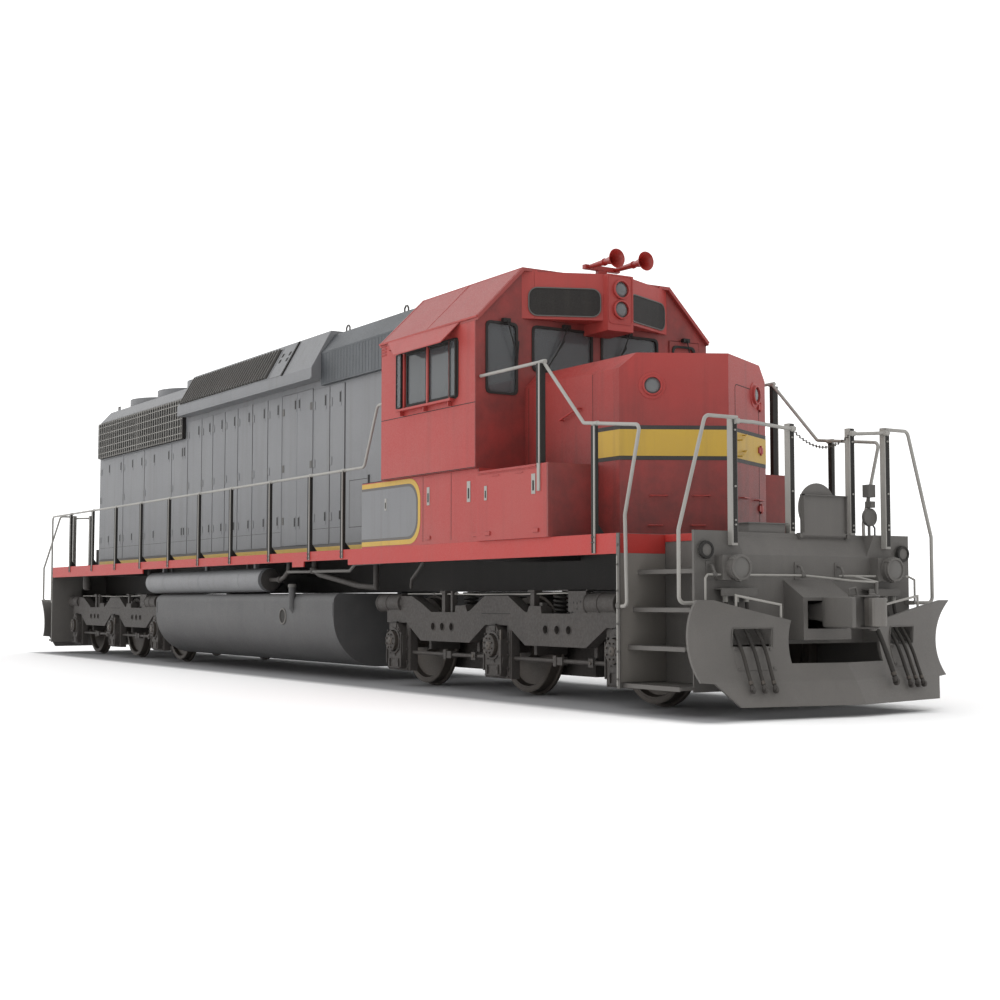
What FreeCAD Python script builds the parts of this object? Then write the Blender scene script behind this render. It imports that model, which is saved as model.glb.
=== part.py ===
"""Six-axle road-switching diesel locomotive, as separate pieces in millimetres.

X runs forward, Y to the left and Z up. The origin is under the middle of the
locomotive, at the lowest point of the wheel flanges. Every driving dimension is a
cell of the sheet "Sizes"; primitives are bound to the cells by expressions, and
profiles that no primitive gives read the same cells through V.
"""
import FreeCAD, Part
import math
import os
import re
from types import SimpleNamespace

doc = FreeCAD.newDocument("Locomotive")
Vec = FreeCAD.Vector

# alias, value in mm (or degrees, or a count), meaning
SIZES = [
    ("platform_half", 9650, "end plates' outer faces, from the middle"),
    ("deck_half", 1520, "outer faces of the side sills"),
    ("deck_top", 1628, "walkway surface"),
    ("deck_plate", 16, "thickness of the deck plate"),
    ("sill_plate", 20, "thickness of the side sills"),
    ("sill_shallow", 122, "depth of the side sills beside the tank"),
    ("sill_deep", 190, "depth of the side sills at the ends"),
    ("deep_front", 3320, "deep part of the sills, front, starts here"),
    ("deep_rear", 4130, "deep part of the sills, rear, starts here"),
    ("tab_from", 1700, "short deep tab on the sills, from"),
    ("tab_to", 2050, "short deep tab on the sills, to"),
    ("end_in", 200, "end plates' edges inside the deck's edges"),
    ("end_plate", 20, "thickness of the end plates"),
    ("end_low", 620, "lower edge of the end plates"),
    ("centre_sill_half", 360, "outer faces of the centre sill webs"),
    ("centre_sill_low", 1120, "underside of the centre sill"),
    ("centre_web", 40, "thickness of the centre sill webs"),
    ("chute_plate", 12, "thickness of the recess's plates"),
    ("recess_deep", 120, "how far the end plates' top recess goes in"),
    ("recess_low", 1418, "underside of the top recess"),
    ("recess_half", 860, "half width of the recess at its top"),
    ("recess_foot", 760, "half width of the recess at its foot"),
    ("pocket_half", 240, "half width of the coupler opening"),
    ("pocket_low", 730, "underside of the coupler opening"),
    ("pocket_top", 1010, "top of the coupler opening"),
    ("pocket_out", 260, "how far the coupler's pocket stands out of the end plate"),
    ("lamp_box_low", 1190, "underside of the walkway lamps' boxes"),
    ("lamp_box_in", 800, "inner side of the walkway lamps' boxes"),
    ("lamp_box_wide", 290, "width of the walkway lamps' boxes"),
    ("lamp_box_high", 220, "height of the walkway lamps' boxes"),
    ("lamp_box_deep", 110, "depth of the walkway lamps' boxes"),
    ("lamp_radius", 112, "radius of the walkway lamps"),
    ("marker_radius", 72, "radius of the marker lamps on the end plates"),
    ("marker_out", 1210, "marker lamps from the middle"),
    ("marker_high", 1455, "marker lamps above the flanges"),
    ("rack_in", 690, "inner end of the hose racks"),
    ("rack_wide", 410, "width of the hose racks"),
    ("rack_out", 100, "how far the hose racks stand out"),
    ("rack_high", 1120, "top of the hose racks"),
    ("patch_high", 4, "height of the end platforms' tread plates"),
    ("patch_clear", 14, "bare deck between a tread plate and the hood or nose"),
    ("well_front", 870, "depth of the front step wells along X"),
    ("well_rear", 400, "depth of the rear step wells along X"),
    ("well_inner", 950, "inner side of the step wells"),
    ("well_low", 215, "underside of the step wells"),
    ("well_plate", 12, "thickness of the step wells' plates"),
    ("well_flange", 45, "width of the flanges on the step wells' outer edges"),
    ("tread_plate", 30, "thickness of a step tread"),
    ("tread_low_top", 262, "top of the lowest tread"),
    ("tread_rise", 342, "rise from tread to tread"),
    ("tread_shift", 60, "how far each tread sits further in"),
    ("tank_clear_rear", 350, "from the rear truck's frame to the fuel tank"),
    ("tank_clear_front", 970, "from the fuel tank to the front truck's frame"),
    ("tank_in", 70, "fuel tank's sides inside the deck's edges"),
    ("tank_low", 180, "underside of the fuel tank"),
    ("tank_top", 1100, "top of the fuel tank"),
    ("tank_low_round", 620, "radius under the tank's sides"),
    ("tank_top_round", 110, "radius over the tank's sides"),
    ("air_back", 480, "how far the air reservoirs reach behind the fuel tank"),
    ("air_long", 4690, "length of the air reservoirs"),
    ("air_radius", 165, "radius of the air reservoirs"),
    ("air_in", 200, "air reservoirs' axes inside the deck's edges"),
    ("air_high", 1290, "air reservoirs' axes above the flanges"),
    ("hood_rear", -8250, "rear wall of the long hood"),
    ("hood_half", 950, "half width of the hood"),
    ("hood_side_top", 4330, "top of the hood's upright sides"),
    ("roof_in", 190, "hood's flat roof inside its sides"),
    ("hood_roof", 4540, "hood roof"),
    ("hood_wall", 40, "thickness of hood walls and doors"),
    ("door_low", 1760, "underside of the hood doors"),
    ("door_high", 3900, "top of the hood doors"),
    ("door_gap", 6, "running gap round a door"),
    ("seat_gap", 0.3, "clearance of hinges, pins and journals in their seats"),
    ("hinge_radius", 8, "radius of the doors' hinge barrels"),
    ("door_proud", 8, "how far doors stand out of the hood's sides"),
    ("door_pair_rear", 76, "rear edge of the opening hood doors"),
    ("door_pair_front", 1096, "front edge of the opening hood doors"),
    ("engine_rear", -3500, "rear of the engine block"),
    ("engine_front", 2200, "front of the generator"),
    ("engine_in", 170, "engine block inside the hood's sides"),
    ("engine_top", 3850, "top of the engine block"),
    ("grille_rear", -8180, "rear end of the radiator grilles"),
    ("grille_front", -3760, "front end of the radiator grilles"),
    ("grille_low", 3640, "underside of the radiator grilles"),
    ("grille_high", 4290, "top of the radiator grilles"),
    ("grille_thick", 60, "thickness of the radiator grilles"),
    ("blister_rear", -3640, "rear of the dynamic brake housing"),
    ("blister_front", 1450, "front of the dynamic brake housing"),
    ("blister_over", 200, "housing's foot outside the hood's sides"),
    ("blister_low", 3975, "underside of the housing"),
    ("blister_foot", 155, "height of the housing's upright foot"),
    ("blister_crown", 100, "housing's roof outside the hood's flat roof"),
    ("blister_rise", 110, "housing's roof above the hood's"),
    ("hatch_clear", 110, "from the filter hatch to the cab"),
    ("hatch_low", 3890, "underside of the filter hatch"),
    ("hatch_over", 60, "filter hatch outside the hood's sides"),
    ("hatch_top", 4600, "top of the filter hatch"),
    ("fan_radius", 610, "radius of the radiator fans"),
    ("fan_ring", 650, "outer radius of the fan housings"),
    ("fan_ring_high", 170, "height of the fan housings"),
    ("fan_first", -7360, "rear radiator fan's axis"),
    ("fan_pitch", 1470, "from fan to fan"),
    ("brake_fan_radius", 480, "radius of the brake grid fans"),
    ("brake_fan_first", -2100, "rear grid fan's axis"),
    ("brake_fan_pitch", 2000, "from grid fan to grid fan"),
    ("stack_x", -1100, "exhaust stack's middle"),
    ("base_behind", 570, "how far the compartments under the cab reach behind it"),
    ("base_top", 2400, "top of the compartments under the cab"),
    ("cab_long", 2117, "length of the cab"),
    ("nose_long", 2209, "from the cab's front wall to the nose's crease"),
    ("cab_over", 45, "cab's sides outside the deck's edges"),
    ("cab_eave", 4008, "lower edge of the cab roof"),
    ("cab_roof", 4578, "top of the cab roof"),
    ("cab_wall", 50, "thickness of the cab's walls and doors"),
    ("roof_plate", 36, "thickness of the cab roof"),
    ("roof_over", 50, "roof's overhang at front and rear"),
    ("floor_plate", 40, "thickness of the cab floor"),
    ("win_rear", 405, "from the cab's rear wall to the side windows"),
    ("win_front", 362, "from the side windows to the cab's front wall"),
    ("side_win_low", 3184, "sill of the side windows"),
    ("side_win_high", 3818, "top of the side windows"),
    ("end_win_low", 3205, "sill of the front side windows"),
    ("end_win_high", 3960, "top of the front windows"),
    ("end_win_clear", 100, "from the hood's sides to the end windows"),
    ("end_win_edge", 135, "end windows' outer edges inside the cab's sides"),
    ("mid_win_in", 67, "inner edge of the centre windows"),
    ("mid_win_out", 844, "outer edge of the centre windows"),
    ("mid_win_low", 3480, "sill of the centre windows"),
    ("door_clear", 72, "from the hood's sides to the cab doors' hinges"),
    ("door_in", 113, "cab doors' outer edges inside the cab's sides"),
    ("cab_door_high", 3975, "top of the cab doors"),
    ("glass", 12, "thickness of the glass"),
    ("nose_in", 7, "nose's sides inside the hood's sides"),
    ("nose_v", 522, "depth of the nose's V-shaped front"),
    ("front_walk", 1064, "walkway from the nose's crease to the end plate"),
    ("nose_top", 3436, "top of the nose"),
    ("nose_bevel", 150, "bevel along the nose's top edges"),
    ("battery_long", 1340, "length of the battery boxes"),
    ("battery_over", 30, "battery boxes' sides outside the deck's edges"),
    ("battery_top", 2355, "top of the battery boxes' lids"),
    ("battery_end", 197, "fixed front end of the battery boxes"),
    ("lid_rear", 24, "fixed rim between the lids and the cab"),
    ("lid_plate", 40, "thickness of the battery boxes' lids"),
    ("sign_in", 565, "number board box's ends inside the cab's sides"),
    ("sign_low", 4030, "underside of the number board box"),
    ("sign_deep", 363, "how far the number board box stands out of the cab"),
    ("lamp_deep", 453, "how far the headlight housing stands out of the cab"),
    ("lamp_half", 170, "half width of the headlight housing"),
    ("lamp_low", 3915, "underside of the headlight housing"),
    ("horn_high", 152, "horns' axes above the cab roof"),
    ("horn_bell", 105, "radius of the horns' bells"),
    ("awning_out", 200, "how far the awnings stand out"),
    ("awning_low", 3862, "outer edge of the awnings"),
    ("rail_in", 20, "side handrails' axes inside the deck's edges"),
    ("rail_radius", 17, "radius of the handrails"),
    ("post_half", 24, "half width of the handrail posts"),
    ("post_deep", 60, "depth of the end posts' channels"),
    ("rail_high", 2600, "long handrails above the flanges"),
    ("plow_top", 1016, "top of the plow's outer tips"),
    ("plow_low", 108, "underside of the plow"),
    ("plow_over", 15, "plow's tips outside the deck's edges"),
    ("plow_plate", 30, "thickness of the plow's blade"),
    ("plow_out", 300, "plow's upper tips ahead of the end plates"),
    ("plow_hollow", 155, "depth of the plow's hollow face behind its tips"),
    ("plow_toe", 100, "plow's lower edge ahead of its tips"),
    ("window_in", 727, "inner edge of the plow's windows"),
    ("window_out", 1096, "outer edge of the plow's windows"),
    ("window_low", 615, "underside of the plow's windows"),
    ("window_high", 768, "top of the plow's windows"),
    ("plow_lead", 320, "how far the plow's middle stands ahead"),
    ("notch_half", 555, "half width of the plow's notch"),
    ("notch_low", 465, "underside of the plow's notch"),
    ("notch_top", 840, "plow's top edge beside the notch"),
    ("step_hinge", 14, "radius of the drop steps' hinge barrels"),
    ("hose_radius", 16, "radius of the control hoses"),
    ("brake_hose_radius", 22, "radius of the brake pipe hose"),
    ("hose_lead", 122, "plow's lead that the control hoses' line is drawn for"),
    ("coupler_high", 910, "coupler's middle"),
    ("coupler_in", 550, "coupler's pivot behind the end plate"),
    ("coupler_pin", 40, "radius of the coupler's pivot pin"),
    ("coupler_out", 840, "pulling face of the knuckle ahead of the end plate"),
    ("knuckle_reach", 175, "knuckle pin's axis behind the pulling face"),
    ("knuckle_pin_out", 150, "knuckle pin's axis from the coupler's middle"),
    ("knuckle_pin", 22, "radius of the knuckle pin"),
    ("truck_clear_front", 100, "from the front truck's frame to the step wells"),
    ("truck_clear_rear", 330, "from the rear truck's frame to the step wells"),
    ("axle_pitch", 2200, "from axle to axle"),
    ("wheel_radius", 508, "tread radius"),
    ("flange_high", 28, "height of the flange"),
    ("wheel_back", 680, "inner faces of the wheels from the middle"),
    ("wheel_wide", 135, "width of a wheel's rim"),
    ("axle_radius", 85, "radius of the axles"),
    ("journal_out", 1250, "outer faces of the journal boxes"),
    ("truck_past", 260, "truck frame's ends beyond the end axles"),
    ("frame_in", 1080, "inner faces of the truck's side frames"),
    ("frame_out", 1210, "outer faces of the truck's side frames"),
    ("chord_top", 880, "top of the side frames between their humps"),
    ("chord_low", 550, "underside of the side frames"),
    ("hump_top", 1060, "top of the side frames' humps"),
    ("arch_top", 750, "top of the side frames' arches over the journals"),
    ("pedestal_low", 190, "underside of the pedestals"),
    ("cylinder_radius", 105, "radius of the brake cylinders"),
    ("cylinder_high", 980, "brake cylinders above the flanges"),
    ("bowl_top", 1060, "top of the truck's centre bowl"),
]

# alias, and the cells that it adds up (a minus sign takes one away)
SUMS = [
    ("end_half", "deck_half -end_in"), ("tank_half", "deck_half -tank_in"),
    ("air_out", "deck_half -air_in"), ("cab_half", "deck_half cab_over"),
    ("battery_out", "deck_half battery_over"), ("rail_out", "deck_half -rail_in"),
    ("truck_half", "axle_pitch truck_past"),
    ("front_truck_x", "platform_half -well_front -truck_clear_front -axle_pitch -truck_past"),
    ("rear_truck_x", "-platform_half well_rear truck_clear_rear axle_pitch truck_past"),
    ("tank_front", "platform_half -well_front -truck_clear_front -axle_pitch -axle_pitch"
                   " -truck_past -truck_past -tank_clear_front"),
    ("tank_rear", "-platform_half well_rear truck_clear_rear axle_pitch axle_pitch"
                  " truck_past truck_past tank_clear_rear"),
    ("hood_roof_half", "hood_half -roof_in"), ("blister_half", "hood_half blister_over"),
    ("blister_top_half", "hood_half -roof_in blister_crown"), ("hatch_half", "hood_half hatch_over"),
    ("engine_half", "hood_half -engine_in"), ("nose_half", "hood_half -nose_in"),
    ("cab_door_in", "hood_half door_clear"), ("cab_door_out", "deck_half cab_over -door_in"),
    ("end_win_in", "hood_half end_win_clear"), ("end_win_out", "deck_half cab_over -end_win_edge"),
    ("sign_half", "deck_half cab_over -sign_in"), ("plow_half", "deck_half plow_over"),
    ("nose_crease", "platform_half -front_walk"), ("nose_corner", "platform_half -front_walk -nose_v"),
    ("cab_front", "platform_half -front_walk -nose_long"), ("cab_rear", "cab_front -cab_long"),
    ("base_rear", "cab_rear -base_behind"), ("side_win_rear", "cab_rear win_rear"),
    ("side_win_front", "cab_front -win_front"), ("battery_front", "cab_front battery_long"),
    ("lid_front", "battery_front -battery_end"), ("sign_front", "cab_front sign_deep"),
    ("lamp_front", "cab_front lamp_deep"),
    ("air_rear", "tank_rear -air_back"), ("air_front", "tank_rear -air_back air_long"),
    ("blister_shoulder", "blister_low blister_foot"), ("blister_top", "hood_roof blister_rise"),
    ("hatch_front", "cab_rear -hatch_clear"),
    ("plow_tip", "platform_half plow_out"), ("plow_waist", "platform_half plow_out -plow_hollow"),
    ("coupler_pivot", "platform_half -coupler_in"), ("coupler_face", "platform_half coupler_out"),
]

V = SimpleNamespace(**{alias: value for alias, value, meaning in SIZES})
spelt = {}
for alias, parts in SUMS:
    total, words = 0, []
    for part in parts.split():
        sign, name = ("-", part[1:]) if part.startswith("-") else ("+", part)
        total += -getattr(V, name) if sign == "-" else getattr(V, name)
        words.append("%s %s" % (sign, spelt.get(name, "Sizes." + name)))
    setattr(V, alias, total)
    spelt[alias] = "(0 %s)" % " ".join(words)
sheet = doc.addObject("Spreadsheet::Sheet", "Sizes")
for row, (alias, value, meaning) in enumerate(SIZES, start=1):
    sheet.set("A%d" % row, meaning)
    sheet.set("B%d" % row, str(value))
    sheet.setAlias("B%d" % row, alias)
doc.recompute()

nodes = []


def bound(expression):
    """The expression with each alias spelt as a cell of the sheet."""
    def cell(match):
        word = match.group()
        return spelt.get(word, "Sizes." + word if hasattr(V, word) else word)
    return re.sub(r"[a-z_][a-z_0-9]*", cell, str(expression))


def place(piece, x, y, z):
    """Bind a piece's place to three expressions."""
    for axis, expression in zip("xyz", (x, y, z)):
        piece.setExpression(".Placement.Base." + axis, bound(expression))
    return piece


def slab(x_range, y_range, z_range):
    """A box between pairs of expressions."""
    box = doc.addObject("Part::Box", "Slab")
    for side, (low, high) in zip(("Length", "Width", "Height"), (x_range, y_range, z_range)):
        box.setExpression(side, bound("(%s) - (%s)" % (high, low)))
    return place(box, x_range[0], y_range[0], z_range[0])


TURNS = {
    "x": FreeCAD.Rotation(Vec(0, 1, 0), 90),
    "y": FreeCAD.Rotation(Vec(1, 0, 0), -90),
    "z": FreeCAD.Rotation(),
}


def rod(radius, start, length, axis):
    """A cylinder from a start point, along one axis."""
    cylinder = doc.addObject("Part::Cylinder", "Rod")
    cylinder.setExpression("Radius", bound(radius))
    cylinder.setExpression("Height", bound(length))
    cylinder.Placement = FreeCAD.Placement(Vec(), TURNS[axis])
    return place(cylinder, *start)


def solid(shape):
    """A piece whose shape is worked out from the sheet's cells in code."""
    feature = doc.addObject("Part::Feature", "Profile")
    feature.Shape = shape
    return feature


def side_of(side, low, high):
    """A range across the locomotive, on the left (1) or the right (-1)."""
    return (low, high) if side > 0 else ("-(%s)" % high, "-(%s)" % low)


def node(label, pieces, cuts=(), touching=True):
    """Name one node: its pieces fused, or side by side, less its cuts."""
    if len(pieces) == 1:
        body = pieces[0]
    else:
        body = doc.addObject("Part::MultiFuse" if touching else "Part::Compound", "Whole")
        if touching:
            body.Shapes = pieces
        else:
            body.Links = pieces
    if cuts:
        tool = cuts[0]
        if len(cuts) > 1:
            tool = doc.addObject("Part::Compound", "Tools")
            tool.Links = list(cuts)
        body_cut = doc.addObject("Part::Cut", "Cut")
        body_cut.Base = body
        body_cut.Tool = tool
        body = body_cut
    body.Label = label
    nodes.append(body)
    return body


def prism(points, direction):
    """A straight prism on a closed outline."""
    wire = Part.makePolygon(points + [points[0]])
    return Part.Face(wire).extrude(direction)


def across(outline, x_from, x_to):
    """A prism along X on an outline of (y, z) points."""
    return prism([Vec(x_from, y, z) for y, z in outline], Vec(x_to - x_from, 0, 0))


def along(outline, y_from, y_to):
    """A prism along Y on an outline of (x, z) points."""
    return prism([Vec(x, y_from, z) for x, z in outline], Vec(0, y_to - y_from, 0))


def upright(outline, z_from, z_to):
    """A prism along Z on an outline of (x, y) points."""
    return prism([Vec(x, y, z_from) for x, y in outline], Vec(0, 0, z_to - z_from))


def mirrored(outline):
    """An outline of (y, z) points given for +Y, closed by its mirror image."""
    return outline + [(-first, second) for first, second in reversed(outline)]


def bent_tube(points, radius, bend):
    """A tube along straight runs that tangent arcs join."""
    path = [Vec(*point) for point in points]
    edges = []
    start = path[0]
    for before, corner, after in zip(path, path[1:], path[2:]):
        way_in = (before - corner).normalize()
        way_out = (after - corner).normalize()
        half = way_in.getAngle(way_out) / 2
        back = bend / math.tan(half)
        arc_start = corner + way_in * back
        arc_end = corner + way_out * back
        middle = (way_in + way_out).normalize()
        arc_mid = corner + middle * (bend / math.sin(half) - bend)
        edges.append(Part.makeLine(start, arc_start))
        edges.append(Part.Arc(arc_start, arc_mid, arc_end).toShape())
        start = arc_end
    edges.append(Part.makeLine(start, path[-1]))
    spine = Part.Wire(edges)
    circle = Part.Wire([Part.makeCircle(radius, path[0], path[1] - path[0])])
    return spine.makePipeShell([circle], True, False)


# ---------------------------------------------------------------- underframe
def across_end(end, low, high):
    """A range along X measured for the front end, turned over for the rear (-1)."""
    return (low, high) if end > 0 else ("-(%s)" % high, "-(%s)" % low)


def turned(shape, end, side=1):
    """A shape made for the front left corner, mirrored to another one."""
    if side < 0:
        shape = shape.mirror(Vec(), Vec(0, 1, 0))
    if end < 0:
        shape = shape.mirror(Vec(), Vec(1, 0, 0))
    return shape


def recess(end, wall):
    """The sloping recess in an end platform's edge, grown by a wall."""
    face, back = V.platform_half, V.platform_half - V.recess_deep - wall
    grown = 1 if wall == 0 else 0
    bar_low = V.deck_top - 38 - wall
    wedge = along([(face + grown, V.recess_low - wall), (face + grown, V.deck_top + grown),
                   (back, V.deck_top + grown), (back, bar_low)], -V.recess_half - 50, V.recess_half + 50)
    sides = across(mirrored([(V.recess_foot + wall, V.recess_low - wall - 1),
                             (V.recess_half + wall, V.deck_top + 2)]), back - 1, face + 2)
    return turned(wedge.common(sides), end)


def underframe():
    """Deck, side sills, centre sill and the plates that rest on the trucks."""
    front_in = "platform_half - well_front"
    rear_in = "platform_half - well_rear"
    deck_z = ("deck_top - deck_plate", "deck_top")
    ends = ("-platform_half + end_plate", "platform_half - end_plate")
    pieces = [
        slab(("-(%s)" % rear_in, front_in), ("-deck_half", "deck_half"), deck_z),
        slab(ends, ("-well_inner", "well_inner"), deck_z),
    ]
    low_shallow = "deck_top - sill_shallow"
    low_deep = "deck_top - sill_deep"
    for side in (1, -1):
        sill_y = side_of(side, "deck_half - sill_plate", "deck_half")
        for start, end, low in (
                ("-(%s)" % rear_in, front_in, low_shallow),
                ("-(%s)" % rear_in, "-deep_rear", low_deep),
                ("tab_from", "tab_to", low_deep),
                ("deep_front", front_in, low_deep)):
            pieces.append(slab((start, end), sill_y, (low, "deck_top")))
        web_y = side_of(side, "centre_sill_half - centre_web", "centre_sill_half")
        pieces.append(slab(ends, web_y, ("centre_sill_low", "deck_top")))
    pieces.append(slab(ends, ("-centre_sill_half", "centre_sill_half"),
                       ("centre_sill_low", "centre_sill_low + centre_web")))
    for truck in ("front_truck_x", "rear_truck_x"):
        pieces.append(slab((truck + " - 350", truck + " + 350"),
                           ("-deck_half + sill_plate", "deck_half - sill_plate"),
                           ("deck_top - sill_deep", "deck_top")))
        pieces.append(rod(300, (truck, 0, "bowl_top + seat_gap"), "centre_sill_low - bowl_top + 20", "z"))
    treads = "deck_top + patch_high"
    post_back = "platform_half - recess_deep - post_deep - 30"
    for end, inner in ((1, "nose_crease + patch_clear"), (-1, "-hood_rear + patch_clear")):
        span = across_end(end, "coupler_pivot - 260", "platform_half - end_plate")
        for side in (1, -1):
            pieces.append(slab(span, side_of(side, "pocket_half", "pocket_half + centre_web"),
                               ("pocket_low", "centre_sill_low + centre_web")))
        pieces.append(slab(span, ("-pocket_half", "pocket_half"), ("pocket_low", "pocket_low + 30")))
        pieces.append(rod("coupler_pin", ("%d * coupler_pivot" % end, 0, "pocket_low"),
                          "centre_sill_low - pocket_low + 10", "z"))
        pieces.append(slab(across_end(end, inner, post_back), ("-well_inner + 30", "well_inner - 30"),
                           ("deck_top - 2", treads)))
    node("underframe", pieces, [solid(recess(1, V.chute_plate)), solid(recess(-1, V.chute_plate))])


def end_plate_group(end):
    """One end's plate, with its recess, coupler pocket, lamps and hose racks."""
    def span(low, high):
        return across_end(end, low, high)
    face, low_box = "platform_half", "lamp_box_low"
    pocket_face = V.platform_half + V.pocket_out
    pocket = turned(along([(V.platform_half - 1, V.pocket_top + 190), (pocket_face, V.pocket_top + 30),
                           (pocket_face, V.pocket_low - 70), (V.platform_half - 1, V.pocket_low - 70)],
                          -V.pocket_half - 50, V.pocket_half + 50), end)
    plate = slab(span("platform_half - end_plate", face), ("-end_half", "end_half"), ("end_low", "deck_top"))
    chute = solid(recess(end, V.chute_plate).cut(recess(end, 0)))
    hollow = doc.addObject("Part::Cut", "Plate")
    hollow.Base = plate
    hollow.Tool = solid(recess(end, 0))
    pieces = [hollow, chute, solid(pocket)]
    for side in (1, -1):
        lamp_out = "lamp_box_in + lamp_box_wide"
        pieces.append(slab(span(face, face + " + lamp_box_deep"), side_of(side, "lamp_box_in", lamp_out),
                           (low_box, low_box + " + lamp_box_high")))
        lamp_x = "platform_half + lamp_box_deep - 1" if end > 0 else "-platform_half - lamp_box_deep - 79"
        pieces.append(rod("lamp_radius", (lamp_x, "%d * (lamp_box_in + lamp_box_wide / 2)" % side,
                                          low_box + " + lamp_box_high / 2"), 80, "x"))
        marker_x = "platform_half - 1" if end > 0 else "-platform_half - 39"
        pieces.append(rod("marker_radius", (marker_x, "%d * marker_out" % side, "marker_high"), 40, "x"))
        rack_y = side_of(side, "rack_in", "rack_in + rack_wide")
        pieces.append(slab(span(face + " - 1", face + " + rack_out"), rack_y,
                           ("rack_high - 12", "rack_high")))
        pieces.append(slab(span(face + " + rack_out - 12", face + " + rack_out"), rack_y,
                           ("rack_high - 70", "rack_high")))
    cock_x = "platform_half - 1" if end > 0 else "-platform_half - 50"
    pieces.append(rod("brake_hose_radius + 8", (cock_x, BRAKE_LINE[0][1] * end, BRAKE_LINE[0][2]), 51, "x"))
    whole = doc.addObject("Part::MultiFuse", "EndPlate")
    whole.Shapes = pieces
    opened = doc.addObject("Part::Cut", "Opened")
    opened.Base = whole
    opened.Tool = slab(span("platform_half - 40", "platform_half + pocket_out + 10"),
                       ("-pocket_half", "pocket_half"), ("pocket_low + 30", "pocket_top"))
    return opened


def end_platforms():
    """The plate across each end, joined with its two stairwells."""
    pieces = []
    for end, depth in ((1, "well_front"), (-1, "well_rear")):
        whole = doc.addObject("Part::MultiFuse", "EndPlatform")
        whole.Shapes = [end_plate_group(end), step_well(end, 1, depth), step_well(end, -1, depth)]
        pieces.append(whole)
    node("end_platforms", pieces, touching=False)


def plow_half(side, end):
    """One half of a plow's blade: a hollow-faced section, lofted to the middle."""
    def section(y, lead):
        top = Vec(V.plow_tip + lead, y, V.plow_top)
        waist = Vec(V.plow_waist + lead, y, (V.window_low + V.window_high) / 2)
        foot = Vec(V.plow_tip + lead - 20, y, V.plow_low + 210)
        toe = Vec(V.plow_tip + lead + V.plow_toe, y, V.plow_low)
        back = Vec(-V.plow_plate, 0, 0)
        front_edge = [Part.Arc(top, waist, foot).toShape(), Part.makeLine(foot, toe)]
        back_edge = [Part.makeLine(toe + back, foot + back),
                     Part.Arc(foot + back, waist + back, top + back).toShape()]
        return Part.Wire(front_edge + [Part.makeLine(toe, toe + back)] + back_edge
                         + [Part.makeLine(top + back, top)])
    blade = Part.makeLoft([section(0, V.plow_lead), section(V.plow_half, 0)], True, True)
    behind, ahead = V.plow_waist - 1000, V.plow_tip + 1000
    wing = V.plow_low + 205
    tools = [
        upright([(behind, -1), (ahead, -1), (ahead, V.notch_half), (behind, V.notch_half)],
                V.notch_low, V.plow_top + 10),
        across([(V.notch_half - 1, V.notch_top), (V.notch_half - 1, V.plow_top + 10),
                (V.plow_half + 1, V.plow_top + 10), (V.plow_half - 150, V.plow_top)], behind, ahead),
        across([(V.plow_half + 1, V.plow_top - 40), (V.plow_half - 45, wing), (V.plow_half - 175, wing - 10),
                (V.plow_half - 335, V.plow_low - 1), (V.plow_half + 1, V.plow_low - 1)], behind, ahead),
        across([(V.window_in, V.window_low), (V.window_in, V.window_high), (V.window_out, V.window_high),
                (V.window_out, V.window_low)], behind, ahead),
    ]
    for tool in tools:
        blade = blade.cut(tool)
    return turned(blade, end, side)


def plows():
    """Hollow-faced plow blades below each end, on brackets from the end plates."""
    pieces = []
    for end in (1, -1):
        blade = plow_half(1, end).fuse(plow_half(-1, end))
        for side in (1, -1):
            for y in (V.window_in - 20, V.window_out + 90):
                ahead = V.plow_lead * (1 - y / V.plow_half)
                reach = V.plow_waist + ahead - V.plow_plate / 2 - V.platform_half
                blade = blade.fuse(turned(Part.makeBox(reach, 20, 240, Vec(V.platform_half, y - 10,
                                                                           V.end_low + 10)), end, side))
        pieces.append(solid(blade))
    node("plows", pieces, touching=False)


def step_well(end, side, depth):
    """A stairwell with treads that climb inward."""
    def span(low, high):
        return across_end(end, low, high)
    inner_x = "platform_half - %s" % depth
    outer_x = "platform_half - end_plate"
    well = [
        slab(span(inner_x, inner_x + " + well_plate"),
             side_of(side, "well_inner", "deck_half"), ("well_low", "deck_top")),
        slab(span(inner_x, inner_x + " + well_flange"),
             side_of(side, "deck_half - well_plate", "deck_half"), ("well_low", "deck_top")),
        slab(span(outer_x + " - well_plate", outer_x),
             side_of(side, "well_inner", "end_half"), ("well_low", "deck_top")),
        slab(span(inner_x, outer_x), side_of(side, "well_inner", "well_inner + well_plate"),
             ("well_low", "deck_top - deck_plate")),
    ]
    for step in range(4):
        tread_top = "tread_low_top + %d * tread_rise" % step
        well.append(slab(span(inner_x, outer_x),
                         side_of(side, "well_inner", "deck_half - 60 - %d * tread_shift" % step),
                         (tread_top + " - tread_plate", tread_top)))
    whole = doc.addObject("Part::MultiFuse", "Well")
    whole.Shapes = well
    return whole


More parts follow.
